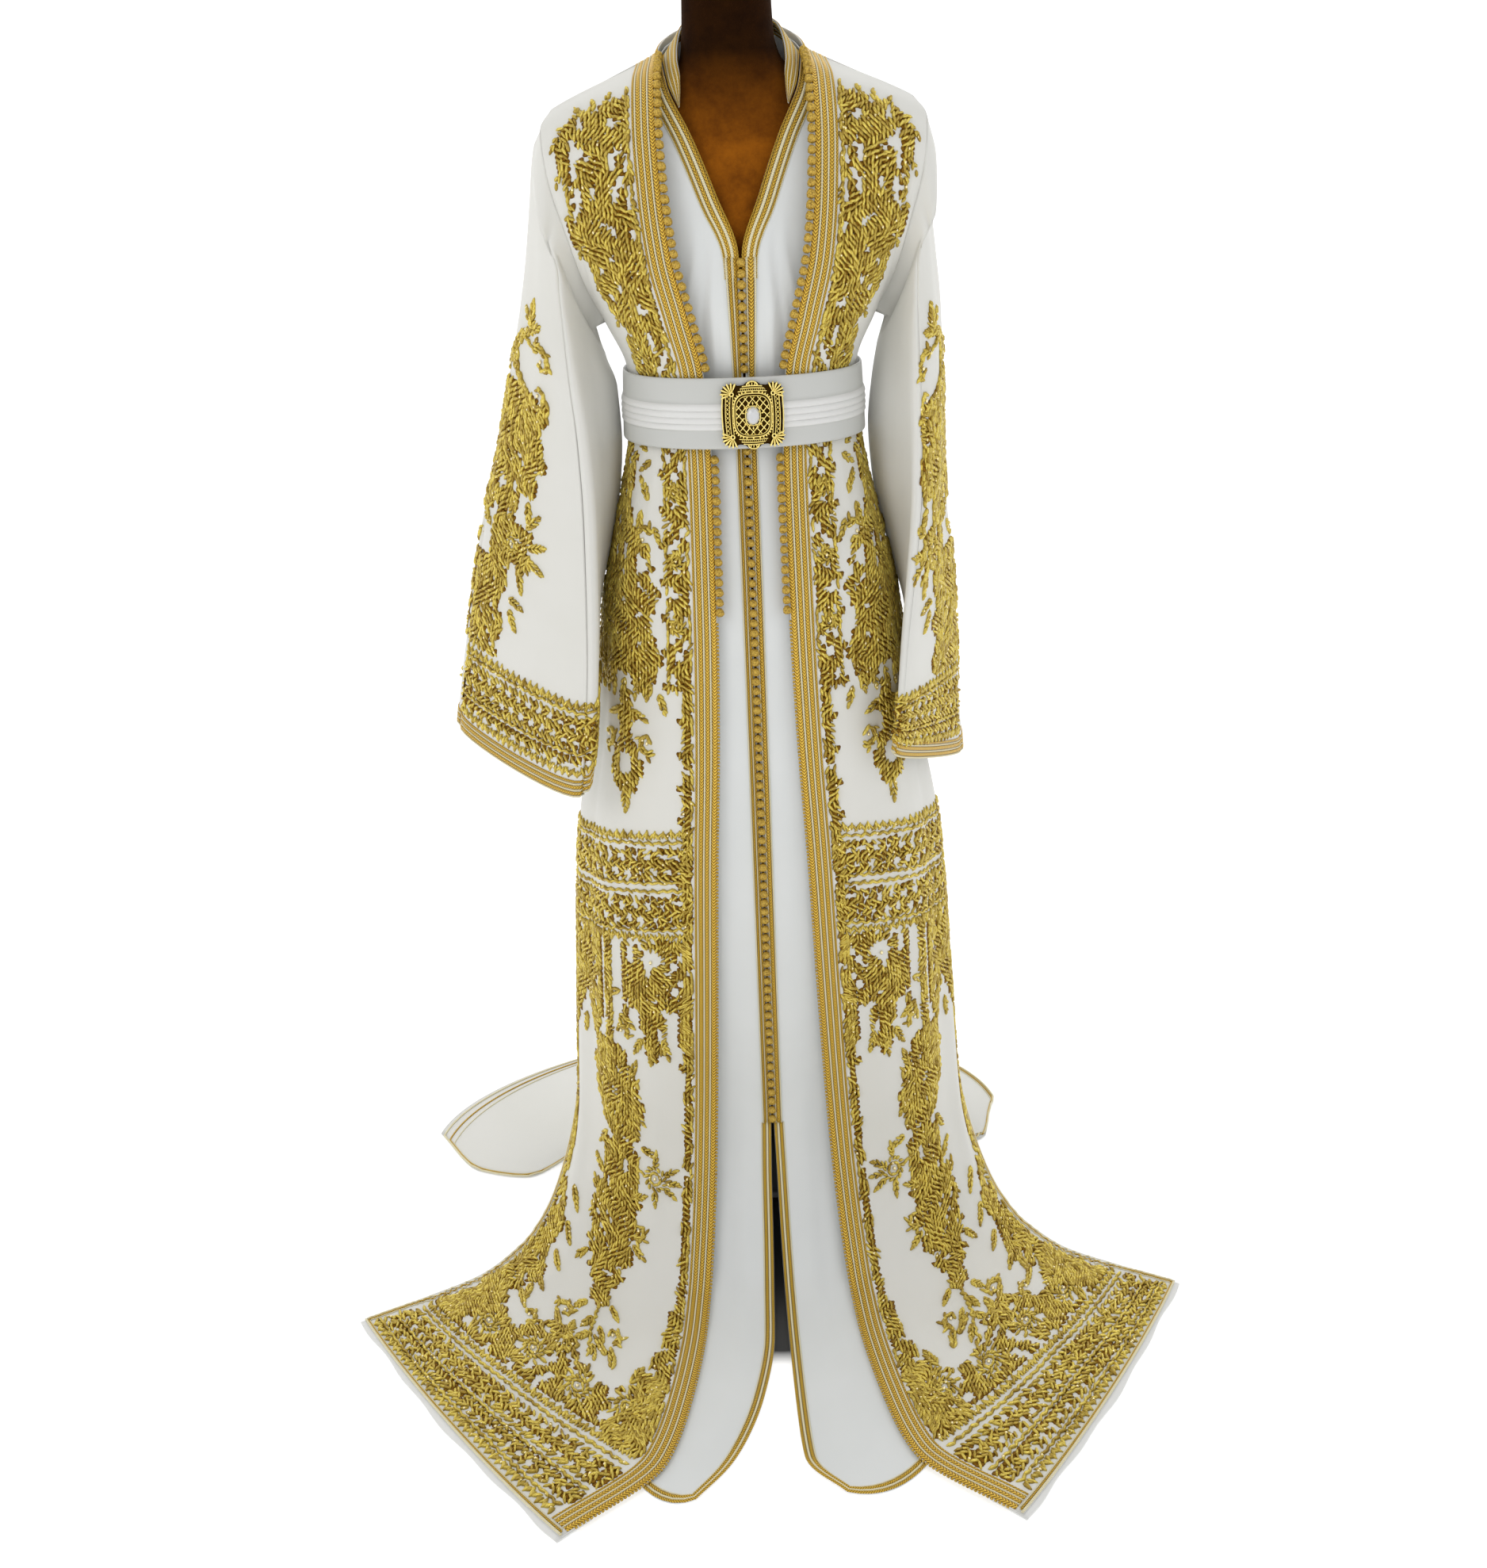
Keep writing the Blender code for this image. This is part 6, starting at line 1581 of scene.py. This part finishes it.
def bullion_finish():
    finish, tree, shader = new_finish("bullion_thread", (0.6, 0.38, 0.06), 0.27, 0.78)
    place = add_node(tree, "ShaderNodeUVMap", uv_map="UVMap").outputs["UV"]
    lean = add_node(tree, "ShaderNodeMapping", {
        "Rotation": (0.0, 0.0, 0.5), "Scale": (1.2, 3.0, 1.0), "Vector": place})
    twist_and_painted_shade = add_node(tree, "ShaderNodeTexWave", {
        "Scale": 1.1, "Distortion": 0.8, "Vector": lean.outputs["Vector"]}, wave_type="BANDS", bands_direction="Y")
    tint = add_node(tree, "ShaderNodeAttribute", attribute_name="tint").outputs["Fac"]
    # tint 0, the darkest end, is taken only by the flat under-stitches as painted shade; the other stitches get
    # random tints
    thread = mixed(tree, tint, (0.27, 0.13, 0.006, 1.0), (1.0, 0.8, 0.17, 1.0))
    # the twist's bands also darken the colour in the grooves of the relief: painted shade in the twisted thread
    feed(tree, shader, {"Base Color": mixed(tree, 0.32, thread, twist_and_painted_shade.outputs["Color"], "MULTIPLY")})
    relief(tree, shader, twist_and_painted_shade.outputs["Fac"], 0.6, 0.0005)
    return finish


bullion = bullion_finish()
sequin_gold = new_finish("sequin_gold", (1.0, 0.88, 0.52), 0.12, 0.75)[0]
STITCH_LONG = 0.0112
STITCH_WIDE = 0.0046
STITCH_HIGH = 0.0034
QUARTER_TURN = 1.5708


def drifting(x, y):
    """The lean of stitches that lie over each other like leaves."""
    return QUARTER_TURN + 0.7 * math.sin(x * 78.0 + 1.5 * math.sin(y * 55.0)) + 0.35 * math.sin(y * 125.0 + x * 48.0)


def in_rows(x, y):
    """The lean of stitches that turn to and fro from row to row."""
    return 0.8 if int(y / 0.0095 + x * 4.0) % 2 else 2.34


def gap_at(x, y, share, across=120.0, down=92.0):
    """Whether the ground shows here: soft uneven gaps, more of them for a larger share."""
    wave = math.sin(x * across + 2.0 * math.sin(y * 58.0)) * math.sin(y * down + 1.7 * math.sin(x * 74.0))
    return wave > 1.0 - share


def near(x, y, at_x, at_y, reach_x, reach_y=None):
    return ((x - at_x) / reach_x) ** 2 + ((y - at_y) / (reach_y or reach_x)) ** 2 < 1.0


class GoldWork:
    """Stitches and sequins of one embroidered panel, in metres across and down it."""

    def __init__(self, seed, panel, first, last):
        self.rows = []
        self.beads = []
        self.chance = random.Random(seed)
        self.ring = panel["ring"]
        self.first, self.last = first, last
        self.bottom = panel["down"][-1] - last
        self.levels = np.linspace(0.0, panel["down"][-1], 240)
        self.widths = np.array([panel_width(panel, y) for y in self.levels])

    def width(self, y):
        return float(np.interp(y, self.levels, self.widths))

    # a stitch is left out where its tips would pass the braid in front or the corded edges
    def allowed(self, x, y, angle, long):
        if y > self.bottom or y < 0.03:
            return False
        if self.ring:
            return True
        reach = abs(math.cos(angle)) * long * 0.5
        return x - reach > self.first and x + reach < self.width(y) - self.last

    def stitch(self, x, y, angle, long=STITCH_LONG, wide=STITCH_WIDE, high=STITCH_HIGH):
        c = self.chance
        if not self.allowed(x, y, angle, long):
            return
        self.rows.append((x + c.uniform(-1, 1) * 0.0006, y + c.uniform(-1, 1) * 0.0006,
                          angle + c.uniform(-1, 1) * 0.2, long * c.uniform(0.8, 1.18),
                          wide * c.uniform(0.82, 1.14), high * c.uniform(0.7, 1.3), 0.22 + 0.78 * c.random() ** 0.75))
        if c.random() < 0.09:
            self.bead(x, y, 0.0038)

    def bead(self, x, y, size=0.005):
        self.beads.append((x, y, size))

    # a chain of slanted stitches along a line, leaning to each side in turn
    def stem(self, line, lean=0.42, long=STITCH_LONG * 0.9, wide=STITCH_WIDE, step=0.0056):
        gone = 0.0
        flip = 1.0
        for (x0, y0), (x1, y1) in zip(line[:-1], line[1:]):
            run = math.hypot(x1 - x0, y1 - y0)
            while gone < run:
                f = gone / run
                angle = math.atan2(y1 - y0, x1 - x0)
                self.stitch(x0 + (x1 - x0) * f, y0 + (y1 - y0) * f, angle + lean * flip, long, wide)
                flip = -flip
                gone += step
            gone -= run

    # a leaf: a rib with pairs of slanted stitches that shorten towards the tip
    def leaf(self, x, y, angle, long, wide=None):
        wide = wide or long * 0.42
        pairs = max(2, int(long / 0.0056))
        for k in range(pairs):
            f = (k + 0.5) / pairs
            swell = math.sin(math.pi * min(1.0, 0.18 + 0.82 * f)) ** 0.7
            for side in (-1.0, 1.0):
                off = wide * 0.26 * swell * side
                px = x + math.cos(angle) * long * f - math.sin(angle) * off
                py = y + math.sin(angle) * long * f + math.cos(angle) * off
                self.stitch(px, py, angle + side * 0.55 * (1.0 - 0.5 * f), 0.005 + wide * 0.62 * swell)
        self.stitch(x + math.cos(angle) * long, y + math.sin(angle) * long, angle, STITCH_LONG * 0.8)

    # a scroll: a double stem that curls inward and ends in a bud
    def scroll(self, x, y, size, start, sweep=4.4):
        line = []
        for k in range(15):
            f = k / 14.0
            a = start + sweep * f
            r = size * (1.0 - 0.66 * f)
            line.append((x + r * math.cos(a), y + r * math.sin(a)))
        self.stem(line, 0.35, STITCH_LONG * 0.9, STITCH_WIDE * 1.2, 0.0046)
        self.stem([(x + (px - x) * 0.74, y + (py - y) * 0.74) for px, py in line[:9]], 0.3, STITCH_LONG * 0.8)
        self.bead(x, y)
        for k in (1, 4, 7):
            px, py = line[k]
            out = math.atan2(py - y, px - x)
            self.stitch(px + math.cos(out) * 0.005, py + math.sin(out) * 0.005, out + 0.6, STITCH_LONG)

    # a rosette: a ring round an open middle with a sequin, and slanted petals outside it
    def rosette(self, x, y, size):
        for share, lean in ((0.52, 1.57), (0.95, 0.75)):
            ring = max(6, int(2.0 * math.pi * size * share / 0.0062))
            for k in range(ring):
                a = 2.0 * math.pi * k / ring
                self.stitch(x + size * share * math.cos(a), y + size * share * math.sin(a), a + lean,
                            STITCH_LONG * 0.8)
        self.bead(x, y)

    # a dense cover of everything inside a shape, over flat under-stitches in the darkest gold that are painted shade
    # between the stitches
    def cover(self, inside, x0, x1, y0, y1, lean_at=drifting, across=0.0047, down=0.007):
        files = int((x1 - x0) / across) + 1
        for i in range(files):
            x = x0 + across * i
            y = y0 + down * 0.5 * (i % 2)
            while y < y1:
                if inside(x, y):
                    self.stitch(x, y, lean_at(x, y) + self.chance.uniform(-0.38, 0.38), STITCH_LONG)
                    # every other file lays a flat wide under-stitch with tint 0, the darkest gold: painted shade
                    # between the raised stitches
                    if i % 2 and self.allowed(x, y, 0.0, 0.01):
                        self.rows.append((x, y, lean_at(x, y) + 1.3, 0.012, 0.0078, 0.0011, 0.0))
                y += down

    # rows across a panel between two distances: a crest of three leaves, or a plain chain
    def evenly(self, x0, x1, pitch):
        count = max(2, int((x1 - x0) / pitch))
        return [x0 + (x1 - x0) * (k + 0.5) / count for k in range(count)]

    def crest(self, x0, x1, y_of, up=-1.0):
        for x in self.evenly(x0, x1, 0.011):
            for off, lean in ((0.0, 0.0), (-0.0038, -0.62), (0.0038, 0.62)):
                self.stitch(x + off, y_of(x) - up * abs(off) * 0.5, up * (QUARTER_TURN + lean), STITCH_LONG * 1.05)

    def chain(self, x0, x1, y_of, lean=0.42):
        for k, x in enumerate(self.evenly(x0, x1, 0.0064)):
            self.stitch(x, y_of(x), lean if k % 2 else -lean, STITCH_LONG, STITCH_WIDE)

    # rows of slanted stitches round diamond gaps, with a sequin in some of them
    def lattice(self, x0, x1, top, rows, y_of, pitch=0.02):
        def inside(x, y):
            level = (y - y_of(x)) / (pitch * 0.5)
            if not 0.0 < level < rows:
                return False
            u = (x - x0) / pitch + 0.5 * (int(level / 2.0) % 2)
            off_x = abs(u - round(u)) * 2.0
            off_y = abs((level / 2.0) % 1.0 - 0.5) * 2.0
            return off_x + off_y > 0.74

        self.cover(inside, x0, x1, top, top + 0.35, in_rows, 0.0048, 0.0068)

    def placed(self, panel, xs, ys):
        if self.ring:
            xs = np.where(xs < 0.0, xs + np.interp(ys, self.levels, self.widths), xs)
        return spots(panel, xs, ys)

    def sewn(self, name, panel, slot_name, low=0.0, high=9.0):
        data = np.array([row for row in self.rows if low <= row[1] < high])
        xs, ys, angle = data[:, 0], data[:, 1], data[:, 2]
        e = 0.0015
        spot, out = self.placed(panel, xs, ys)
        fore, _ = self.placed(panel, xs + e * np.cos(angle), ys + e * np.sin(angle))
        aft, _ = self.placed(panel, xs - e * np.cos(angle), ys - e * np.sin(angle))
        piece = repeated(name, bullion_shape(), bullion, spot, fore - aft, out, data[:, 3:6], data[:, 6])
        dress(piece, slot_name)
        return piece

    def sequins(self, name, panel, slot_name):
        data = np.array(self.beads)
        spot, out = self.placed(panel, data[:, 0], data[:, 1])
        aside, _ = self.placed(panel, data[:, 0], data[:, 1] + 0.001)
        sizes = np.stack([data[:, 2], data[:, 2], np.full(len(data), 0.0016)], axis=1)
        piece = repeated(name, sequin_shape(), sequin_gold, spot + out * 0.0014, aside - spot, out, sizes)
        dress(piece, slot_name)
        return piece


# The work on a robe front is sewn through the silk figure by figure, in zones from shoulder to hem.
# Places: x runs from the front edge, past the 28 mm braid, and y runs down from the shoulder.
def front_gold_work(panel, seed):
    work = GoldWork(seed, panel, 0.0285, 0.009)
    total = panel["down"][-1]
    width = work.width

    # shoulder: dense leaves between the braid and the armhole, tapering to the belt, with two curls
    def shoulder(x, y):
        outer = 0.121 - 0.026 * min(1.0, max(0.0, (y - 0.2) / 0.15)) + 0.004 * math.sin(y * 70.0)
        if y < 0.066 + 0.45 * max(0.0, x - 0.095) + 0.35 * max(0.0, 0.05 - x) or x > outer:
            return False
        if near(x, y, 0.1, 0.118, 0.009, 0.014) or near(x, y, 0.104, 0.165, 0.008, 0.013):
            return False
        slim = 0.52 if x < 0.058 else 0.36
        return not gap_at(x, y, slim, 175.0, 88.0)

    work.cover(shoulder, 0.032, 0.126, 0.055, 0.405)
    work.stem([(0.034, 0.06 + k * 0.02) for k in range(18)], 0.3)
    for y, x in ((0.085, 0.124), (0.13, 0.127), (0.175, 0.125), (0.215, 0.118), (0.265, 0.104), (0.32, 0.098)):
        work.leaf(x - 0.004, y, 0.9, 0.016)
    for x in (0.062, 0.076, 0.09):
        work.leaf(x, 0.072, -1.57 + (x - 0.076) * 30.0, 0.016)

    # border beside the braid: two chains with leaves and rosettes between, narrower below the hip
    def border_wide(y):
        if y < 0.77:
            return 0.0345
        if y < 1.275:
            return 0.016
        return 0.012 + 0.052 * min(1.0, max(0.0, (y - 1.56) / 0.26)) ** 1.3

    def border(x, y):
        reach = border_wide(y) + 0.002 * math.sin(y * 150.0)
        if not 0.029 < x < 0.029 + reach:
            return False
        if y < 0.77 and 0.036 < x < 0.058:
            return not gap_at(x, y, 0.62, 150.0, 120.0)
        return not gap_at(x, y, 0.2)

    work.cover(border, 0.0325, 0.096, 0.425, total - 0.13)
    for y in (0.533, 0.612, 0.69):
        work.rosette(0.0475, y, 0.0095)

    # hip: leaves under the belt, scrolls, a dense block to the side seam, and a pendant
    def hip(x, y):
        side = width(y) - 0.004
        if y < 0.6:
            inner = 0.118 - 0.1 * max(0.0, y - 0.5) + 0.008 * math.sin(y * 60.0)
            return x > inner and y > 0.425 and not gap_at(x, y, 0.38)
        if y < 0.765 + 0.012 * math.sin(x * 85.0):
            inner = 0.078 + 0.006 * math.sin(y * 75.0)
            if near(x, y, 0.1, 0.622, 0.01, 0.013) or near(x, y, 0.128, 0.607, 0.008, 0.011):
                return False
            return inner < x < min(side, 0.216) and not gap_at(x, y, 0.34 if y < 0.66 else 0.1)
        return False

    work.cover(hip, 0.068, 0.22, 0.425, 0.785)
    for x, y, angle, long in ((0.076, 0.47, -1.2, 0.022), (0.088, 0.488, -0.5, 0.02), (0.082, 0.5, 0.6, 0.02),
                              (0.1, 0.44, 1.9, 0.022), (0.086, 0.545, -1.1, 0.026), (0.098, 0.56, 1.4, 0.026),
                              (0.078, 0.575, 2.0, 0.02)):
        work.leaf(x, y, angle, long)
    work.scroll(0.094, 0.592, 0.017, -2.4, 4.4)
    for k in range(7):
        work.leaf(0.086 + k * 0.02, 0.762, QUARTER_TURN + 0.3 * (k - 3) / 3.0, 0.022)
    work.leaf(0.074, 0.775, 1.9, 0.024)

    def pendant(x, y):
        if 0.775 < y < 0.85:
            return abs(x - 0.124) < 0.011 + 0.004 * math.sin(y * 150.0)
        return near(x, y, 0.124, 0.872, 0.022, 0.034) and not near(x, y, 0.124, 0.868, 0.01, 0.015)

    work.cover(pendant, 0.098, 0.15, 0.77, 0.91)
    for side in (-1.0, 1.0):
        work.scroll(0.124 + side * 0.032, 0.838, 0.015, 1.57 - side * 0.4, side * 4.6)
        work.leaf(0.124 + side * 0.01, 0.8, QUARTER_TURN - side * 1.1, 0.024)
    work.leaf(0.124, 0.898, QUARTER_TURN, 0.032)

    # knee: a crest, chains and lattice rows across the whole panel
    def level(y0):
        return lambda x: y0 + 0.15 * (x - 0.03) - 0.08 * max(0.0, x - 0.23)

    edge = width(1.0) - 0.004
    work.crest(0.03, edge, level(0.946))
    work.chain(0.03, edge, level(0.957))
    work.lattice(0.03, edge, 0.95, 4, level(0.966))
    work.chain(0.03, edge, level(1.01))
    work.chain(0.03, edge, level(1.021), -0.42)
    work.lattice(0.03, edge, 1.01, 4, level(1.03))
    work.chain(0.03, edge, level(1.074))
    work.crest(0.03, edge, level(1.085), 1.0)

    # below the knee: an open flower and leaves in front, a line, and leaf drops at the side
    def flowers(x, y):
        y -= 0.15 * (x - 0.03)
        if x < 0.132:
            low = 1.205 + 0.02 * math.sin(x * 95.0) + 0.035 * (abs(x - 0.085) < 0.018) + 0.05 * (x < 0.048)
            if not 1.09 < y < low or near(x, y, 0.088, 1.116, 0.015) or near(x, y, 0.12, 1.105, 0.008, 0.016):
                return False
            return not gap_at(x, y, 0.33)
        if x > 0.176:
            low = 1.215 + 0.026 * math.sin(x * 105.0)
            return 1.085 < y < low and not gap_at(x, y, 0.34, 150.0)
        return 0.152 < x < 0.164 and 1.08 < y < 1.25

    def radial(x, y):
        if near(x, y, 0.088, 1.127, 0.038):
            return math.atan2(y - 1.127, x - 0.088) + 0.35
        return drifting(x, y)

    work.cover(flowers, 0.032, 0.262, 1.08, 1.3, radial)
    work.bead(0.088, 1.127)
    for x, y, angle in ((0.072, 1.235, 1.9), (0.088, 1.246, 1.5), (0.104, 1.24, 1.1), (0.196, 1.245, 1.7),
                        (0.226, 1.252, 1.5), (0.14, 1.18, 0.4), (0.14, 1.215, 2.6)):
        work.leaf(x, y, angle, 0.026)
    work.scroll(0.138, 1.238, 0.012, 2.6, 4.4)

    # the lower column: two tapering dense blocks with leaves, a flower between them, and a spray below
    def column(x, y):
        if 1.262 < y < 1.402:
            f = (y - 1.262) / 0.14
            reach = 0.046 * math.sin(math.pi * min(1.0, 0.12 + f * 0.8)) ** 0.8 + 0.004 * math.sin(y * 170.0)
            return abs(x - (0.164 - 0.026 * f)) < reach and not gap_at(x, y, 0.1)
        if 1.402 <= y < 1.462:
            return abs(x - 0.142) < 0.034 and not gap_at(x, y, 0.5)
        if 1.462 <= y < 1.64:
            f = (y - 1.462) / 0.178
            reach = 0.044 * math.cos(0.5 * math.pi * f) ** 0.8 + 0.005 * math.sin(y * 160.0)
            return abs(x - 0.152) < reach and not gap_at(x, y, 0.1 if f < 0.6 else 0.34)
        return False

    work.cover(column, 0.092, 0.212, 1.262, 1.645)
    work.stem([(0.16, 1.235), (0.166, 1.262), (0.16, 1.29)])
    for x, y, angle in ((0.118, 1.345, 2.4), (0.104, 1.392, 2.9), (0.122, 1.3, -1.9), (0.18, 1.3, -1.1),
                        (0.172, 1.396, 0.9), (0.176, 1.452, -0.7), (0.12, 1.462, 3.5), (0.112, 1.52, 2.5),
                        (0.19, 1.556, 0.9), (0.134, 1.622, 2.2), (0.172, 1.636, 0.9), (0.158, 1.66, 1.1),
                        (0.144, 1.668, 2.0), (0.158, 1.69, 0.9), (0.148, 1.704, 1.9)):
        work.leaf(x, y, angle, 0.024)
    work.stem([(0.096, 1.426), (0.118, 1.42), (0.14, 1.41)])
    work.scroll(0.104, 1.5, 0.012, 1.2, 4.4)
    work.rosette(0.082, 1.426, 0.0145)
    for a in (-2.6, -1.6, 2.6, 1.6, 3.14):
        work.leaf(0.082 + 0.016 * math.cos(a), 1.426 + 0.016 * math.sin(a), a, 0.018)
    work.scroll(0.202, 1.672, 0.018, -0.4, -4.8)
    work.scroll(0.122, 1.672, 0.014, 2.0, 4.6)
    work.stem([(0.152, 1.63), (0.156, 1.68), (0.15, 1.73)])

    # vent edge: a chain from the knee that widens into a leafy band towards the corner
    def vent(x, y):
        side = width(y)
        wide = 0.014 + 0.04 * min(1.0, max(0.0, (y - 1.43) / 0.2)) + 0.008 * math.sin(y * 62.0) * (y > 1.43)
        return side - 0.01 - wide < x and not gap_at(side - x, y, 0.32 if y > 1.43 else 0.05)

    work.cover(vent, 0.18, 0.46, 1.095, total - 0.14)
    for y in (1.5, 1.545, 1.59, 1.64, 1.69):
        work.leaf(width(y) - 0.062, y, 2.2, 0.028)

    # hem: lattice rows along the front hem, and above them flowers, scrolls and leaf sprays
    def hem_level(up):
        return lambda x: total - up

    reach = width(total - 0.05) - 0.01
    work.crest(0.03, reach, hem_level(0.015), 1.0)
    work.chain(0.03, reach, hem_level(0.026))
    work.lattice(0.03, reach, total - 0.062, 2, hem_level(0.052))
    work.chain(0.03, reach, hem_level(0.06))
    work.lattice(0.03, reach, total - 0.11, 4, hem_level(0.106))
    work.chain(0.03, reach, hem_level(0.115))
    work.crest(0.03, reach, hem_level(0.13))

    def spray(x, y):
        share = x / width(y)
        high = 0.08 + 0.03 * math.sin(x * 36.0 + 0.6) + 0.06 * max(0.0, share - 0.72) / 0.28
        if not total - 0.15 - high < y < total - 0.132:
            return False
        return not gap_at(x, y, 0.62, 125.0, 96.0)

    blooms = [(0.075, total - 0.185), (0.15, total - 0.178), (0.232, total - 0.19), (0.318, total - 0.182)]

    def open_spray(x, y):
        return spray(x, y) and not any(near(x, y, bx, by, 0.024) for bx, by in blooms)

    work.cover(open_spray, 0.032, 0.46, total - 0.3, total - 0.14)
    for bx, by in blooms:
        work.rosette(bx, by, 0.016)
        for k in range(9):
            a = 2.0 * math.pi * k / 9 + bx * 9.0
            work.stitch(bx + 0.023 * math.cos(a), by + 0.023 * math.sin(a), a + 0.3, STITCH_LONG * 1.1)
    for x, y, angle in ((0.112, total - 0.235, -1.3), (0.126, total - 0.25, -0.8), (0.19, total - 0.245, -1.8),
                        (0.206, total - 0.255, -1.2), (0.275, total - 0.262, -1.7), (0.292, total - 0.282, -1.1),
                        (0.08, total - 0.225, -1.9)):
        work.leaf(x, y, angle, 0.03)
    work.scroll(0.176, total - 0.236, 0.017, 1.2, -4.6)
    work.scroll(0.258, total - 0.24, 0.016, 1.8, 4.6)
    return work


for word, seed in (("left", 3), ("right", 8)):
    work = front_gold_work(robe_panels[word], seed)
    panel = robe_panels[word]
    robe_trim[word].append(work.sewn("robe_bodice_gold_work_" + word, panel, "gold_braid", 0.0, 1.09))
    robe_trim[word].append(work.sewn("robe_skirt_gold_work_" + word, panel, "gold_braid", 1.09, 9.0))
    robe_trim[word].append(work.sequins("robe_sequins_" + word, panel, "gold_braid"))

# Work on a sleeve: the figures lie in a strip that turns round the sleeve from its outer fold forwards.
# Across the strip a share runs from 0 to 1; y is metres down the sleeve.


def sleeve_gold_work(panel, seed, first_turn, last_turn):
    work = GoldWork(seed, panel, 0.0, 0.0235)
    total = panel["down"][-1]

    def across(share, y):
        return (first_turn + (last_turn - first_turn) * share) * work.width(y)

    def line(*stops):
        return [(across(share, y), y) for share, y in stops]

    def strip(x, y):
        share = (x / work.width(y) - first_turn) / (last_turn - first_turn)
        if 0.29 < y < 0.412:
            wave = 0.05 * math.sin(y * 90.0)
            return -0.05 < share < 1.02 + wave and not gap_at(x, y, 0.16)
        if 0.412 <= y < 0.452:
            return -0.05 < share < 0.7 and not gap_at(x, y, 0.5)
        if 0.452 <= y < 0.51:
            beside = not near(x, y, across(0.72, 0.478), 0.478, 0.012)
            return 0.35 < share < 1.05 and not gap_at(x, y, 0.45) and beside
        if 0.495 < y < total - 0.125:
            return -0.15 < share < 0.66 + 0.06 * math.sin(y * 110.0) and not gap_at(x, y, 0.12)
        return False

    work.cover(strip, across(-0.2, 0.5), across(1.1, 0.5), 0.29, total - 0.12)
    # a leaf bud at the top, a long S of stems with curls, then leaves that lead into the dense work
    bud = across(0.62, 0.2)
    work.leaf(bud, 0.214, -1.57, 0.034)
    work.leaf(bud - 0.004, 0.214, -2.4, 0.02)
    work.leaf(bud + 0.004, 0.214, -0.7, 0.02)
    turns = line((0.6, 0.214), (0.36, 0.232), (0.2, 0.252), (0.3, 0.276), (0.6, 0.296))
    for shift in (0.0, 0.005, 0.01):
        work.stem([(x + shift, y) for x, y in turns])
    work.stem(line((0.36, 0.232), (0.8, 0.236)))
    work.scroll(across(0.88, 0.24), 0.24, 0.019, -2.4, 4.9)
    work.scroll(across(0.86, 0.29), 0.284, 0.019, 2.6, -4.9)
    work.scroll(across(0.1, 0.28), 0.276, 0.013, -0.6, -4.4)
    for share, y, angle in ((0.9, 0.418, 1.2), (0.7, 0.424, 1.9), (0.95, 0.448, -0.9), (1.02, 0.47, -0.4),
                            (1.04, 0.486, 0.3), (0.9, 0.505, 1.2), (0.78, 0.545, 0.2), (0.8, 0.56, 0.9),
                            (0.3, 0.47, -2.4), (0.1, 0.48, 2.2)):
        work.leaf(across(share, y), y, angle, 0.026)
    work.rosette(across(0.72, 0.478), 0.478, 0.013)

    around = min(work.width(total - 0.116), work.width(total - 0.029)) - 0.004
    work.crest(0.0, around, lambda x: total - 0.116)
    work.chain(0.0, around, lambda x: total - 0.107)
    work.lattice(0.0, around, total - 0.105, 4, lambda x: total - 0.1)
    work.chain(0.0, around, lambda x: total - 0.055)
    work.lattice(0.0, around, total - 0.05, 1, lambda x: total - 0.048)
    work.crest(0.0, around, lambda x: total - 0.029, 1.0)
    return work


for word, seed, first_turn, last_turn in (("left", 21, -0.02, 0.175), ("right", 34, 0.02, 0.25)):
    panel = sleeve_panels[word]
    work = sleeve_gold_work(panel, seed, first_turn, last_turn)
    cuff_trim[word].append(work.sewn("sleeve_gold_work_" + word, panel, "gold_braid"))
    cuff_trim[word].append(work.sequins("sleeve_sequins_" + word, panel, "gold_braid"))

for word in ("left", "right"):
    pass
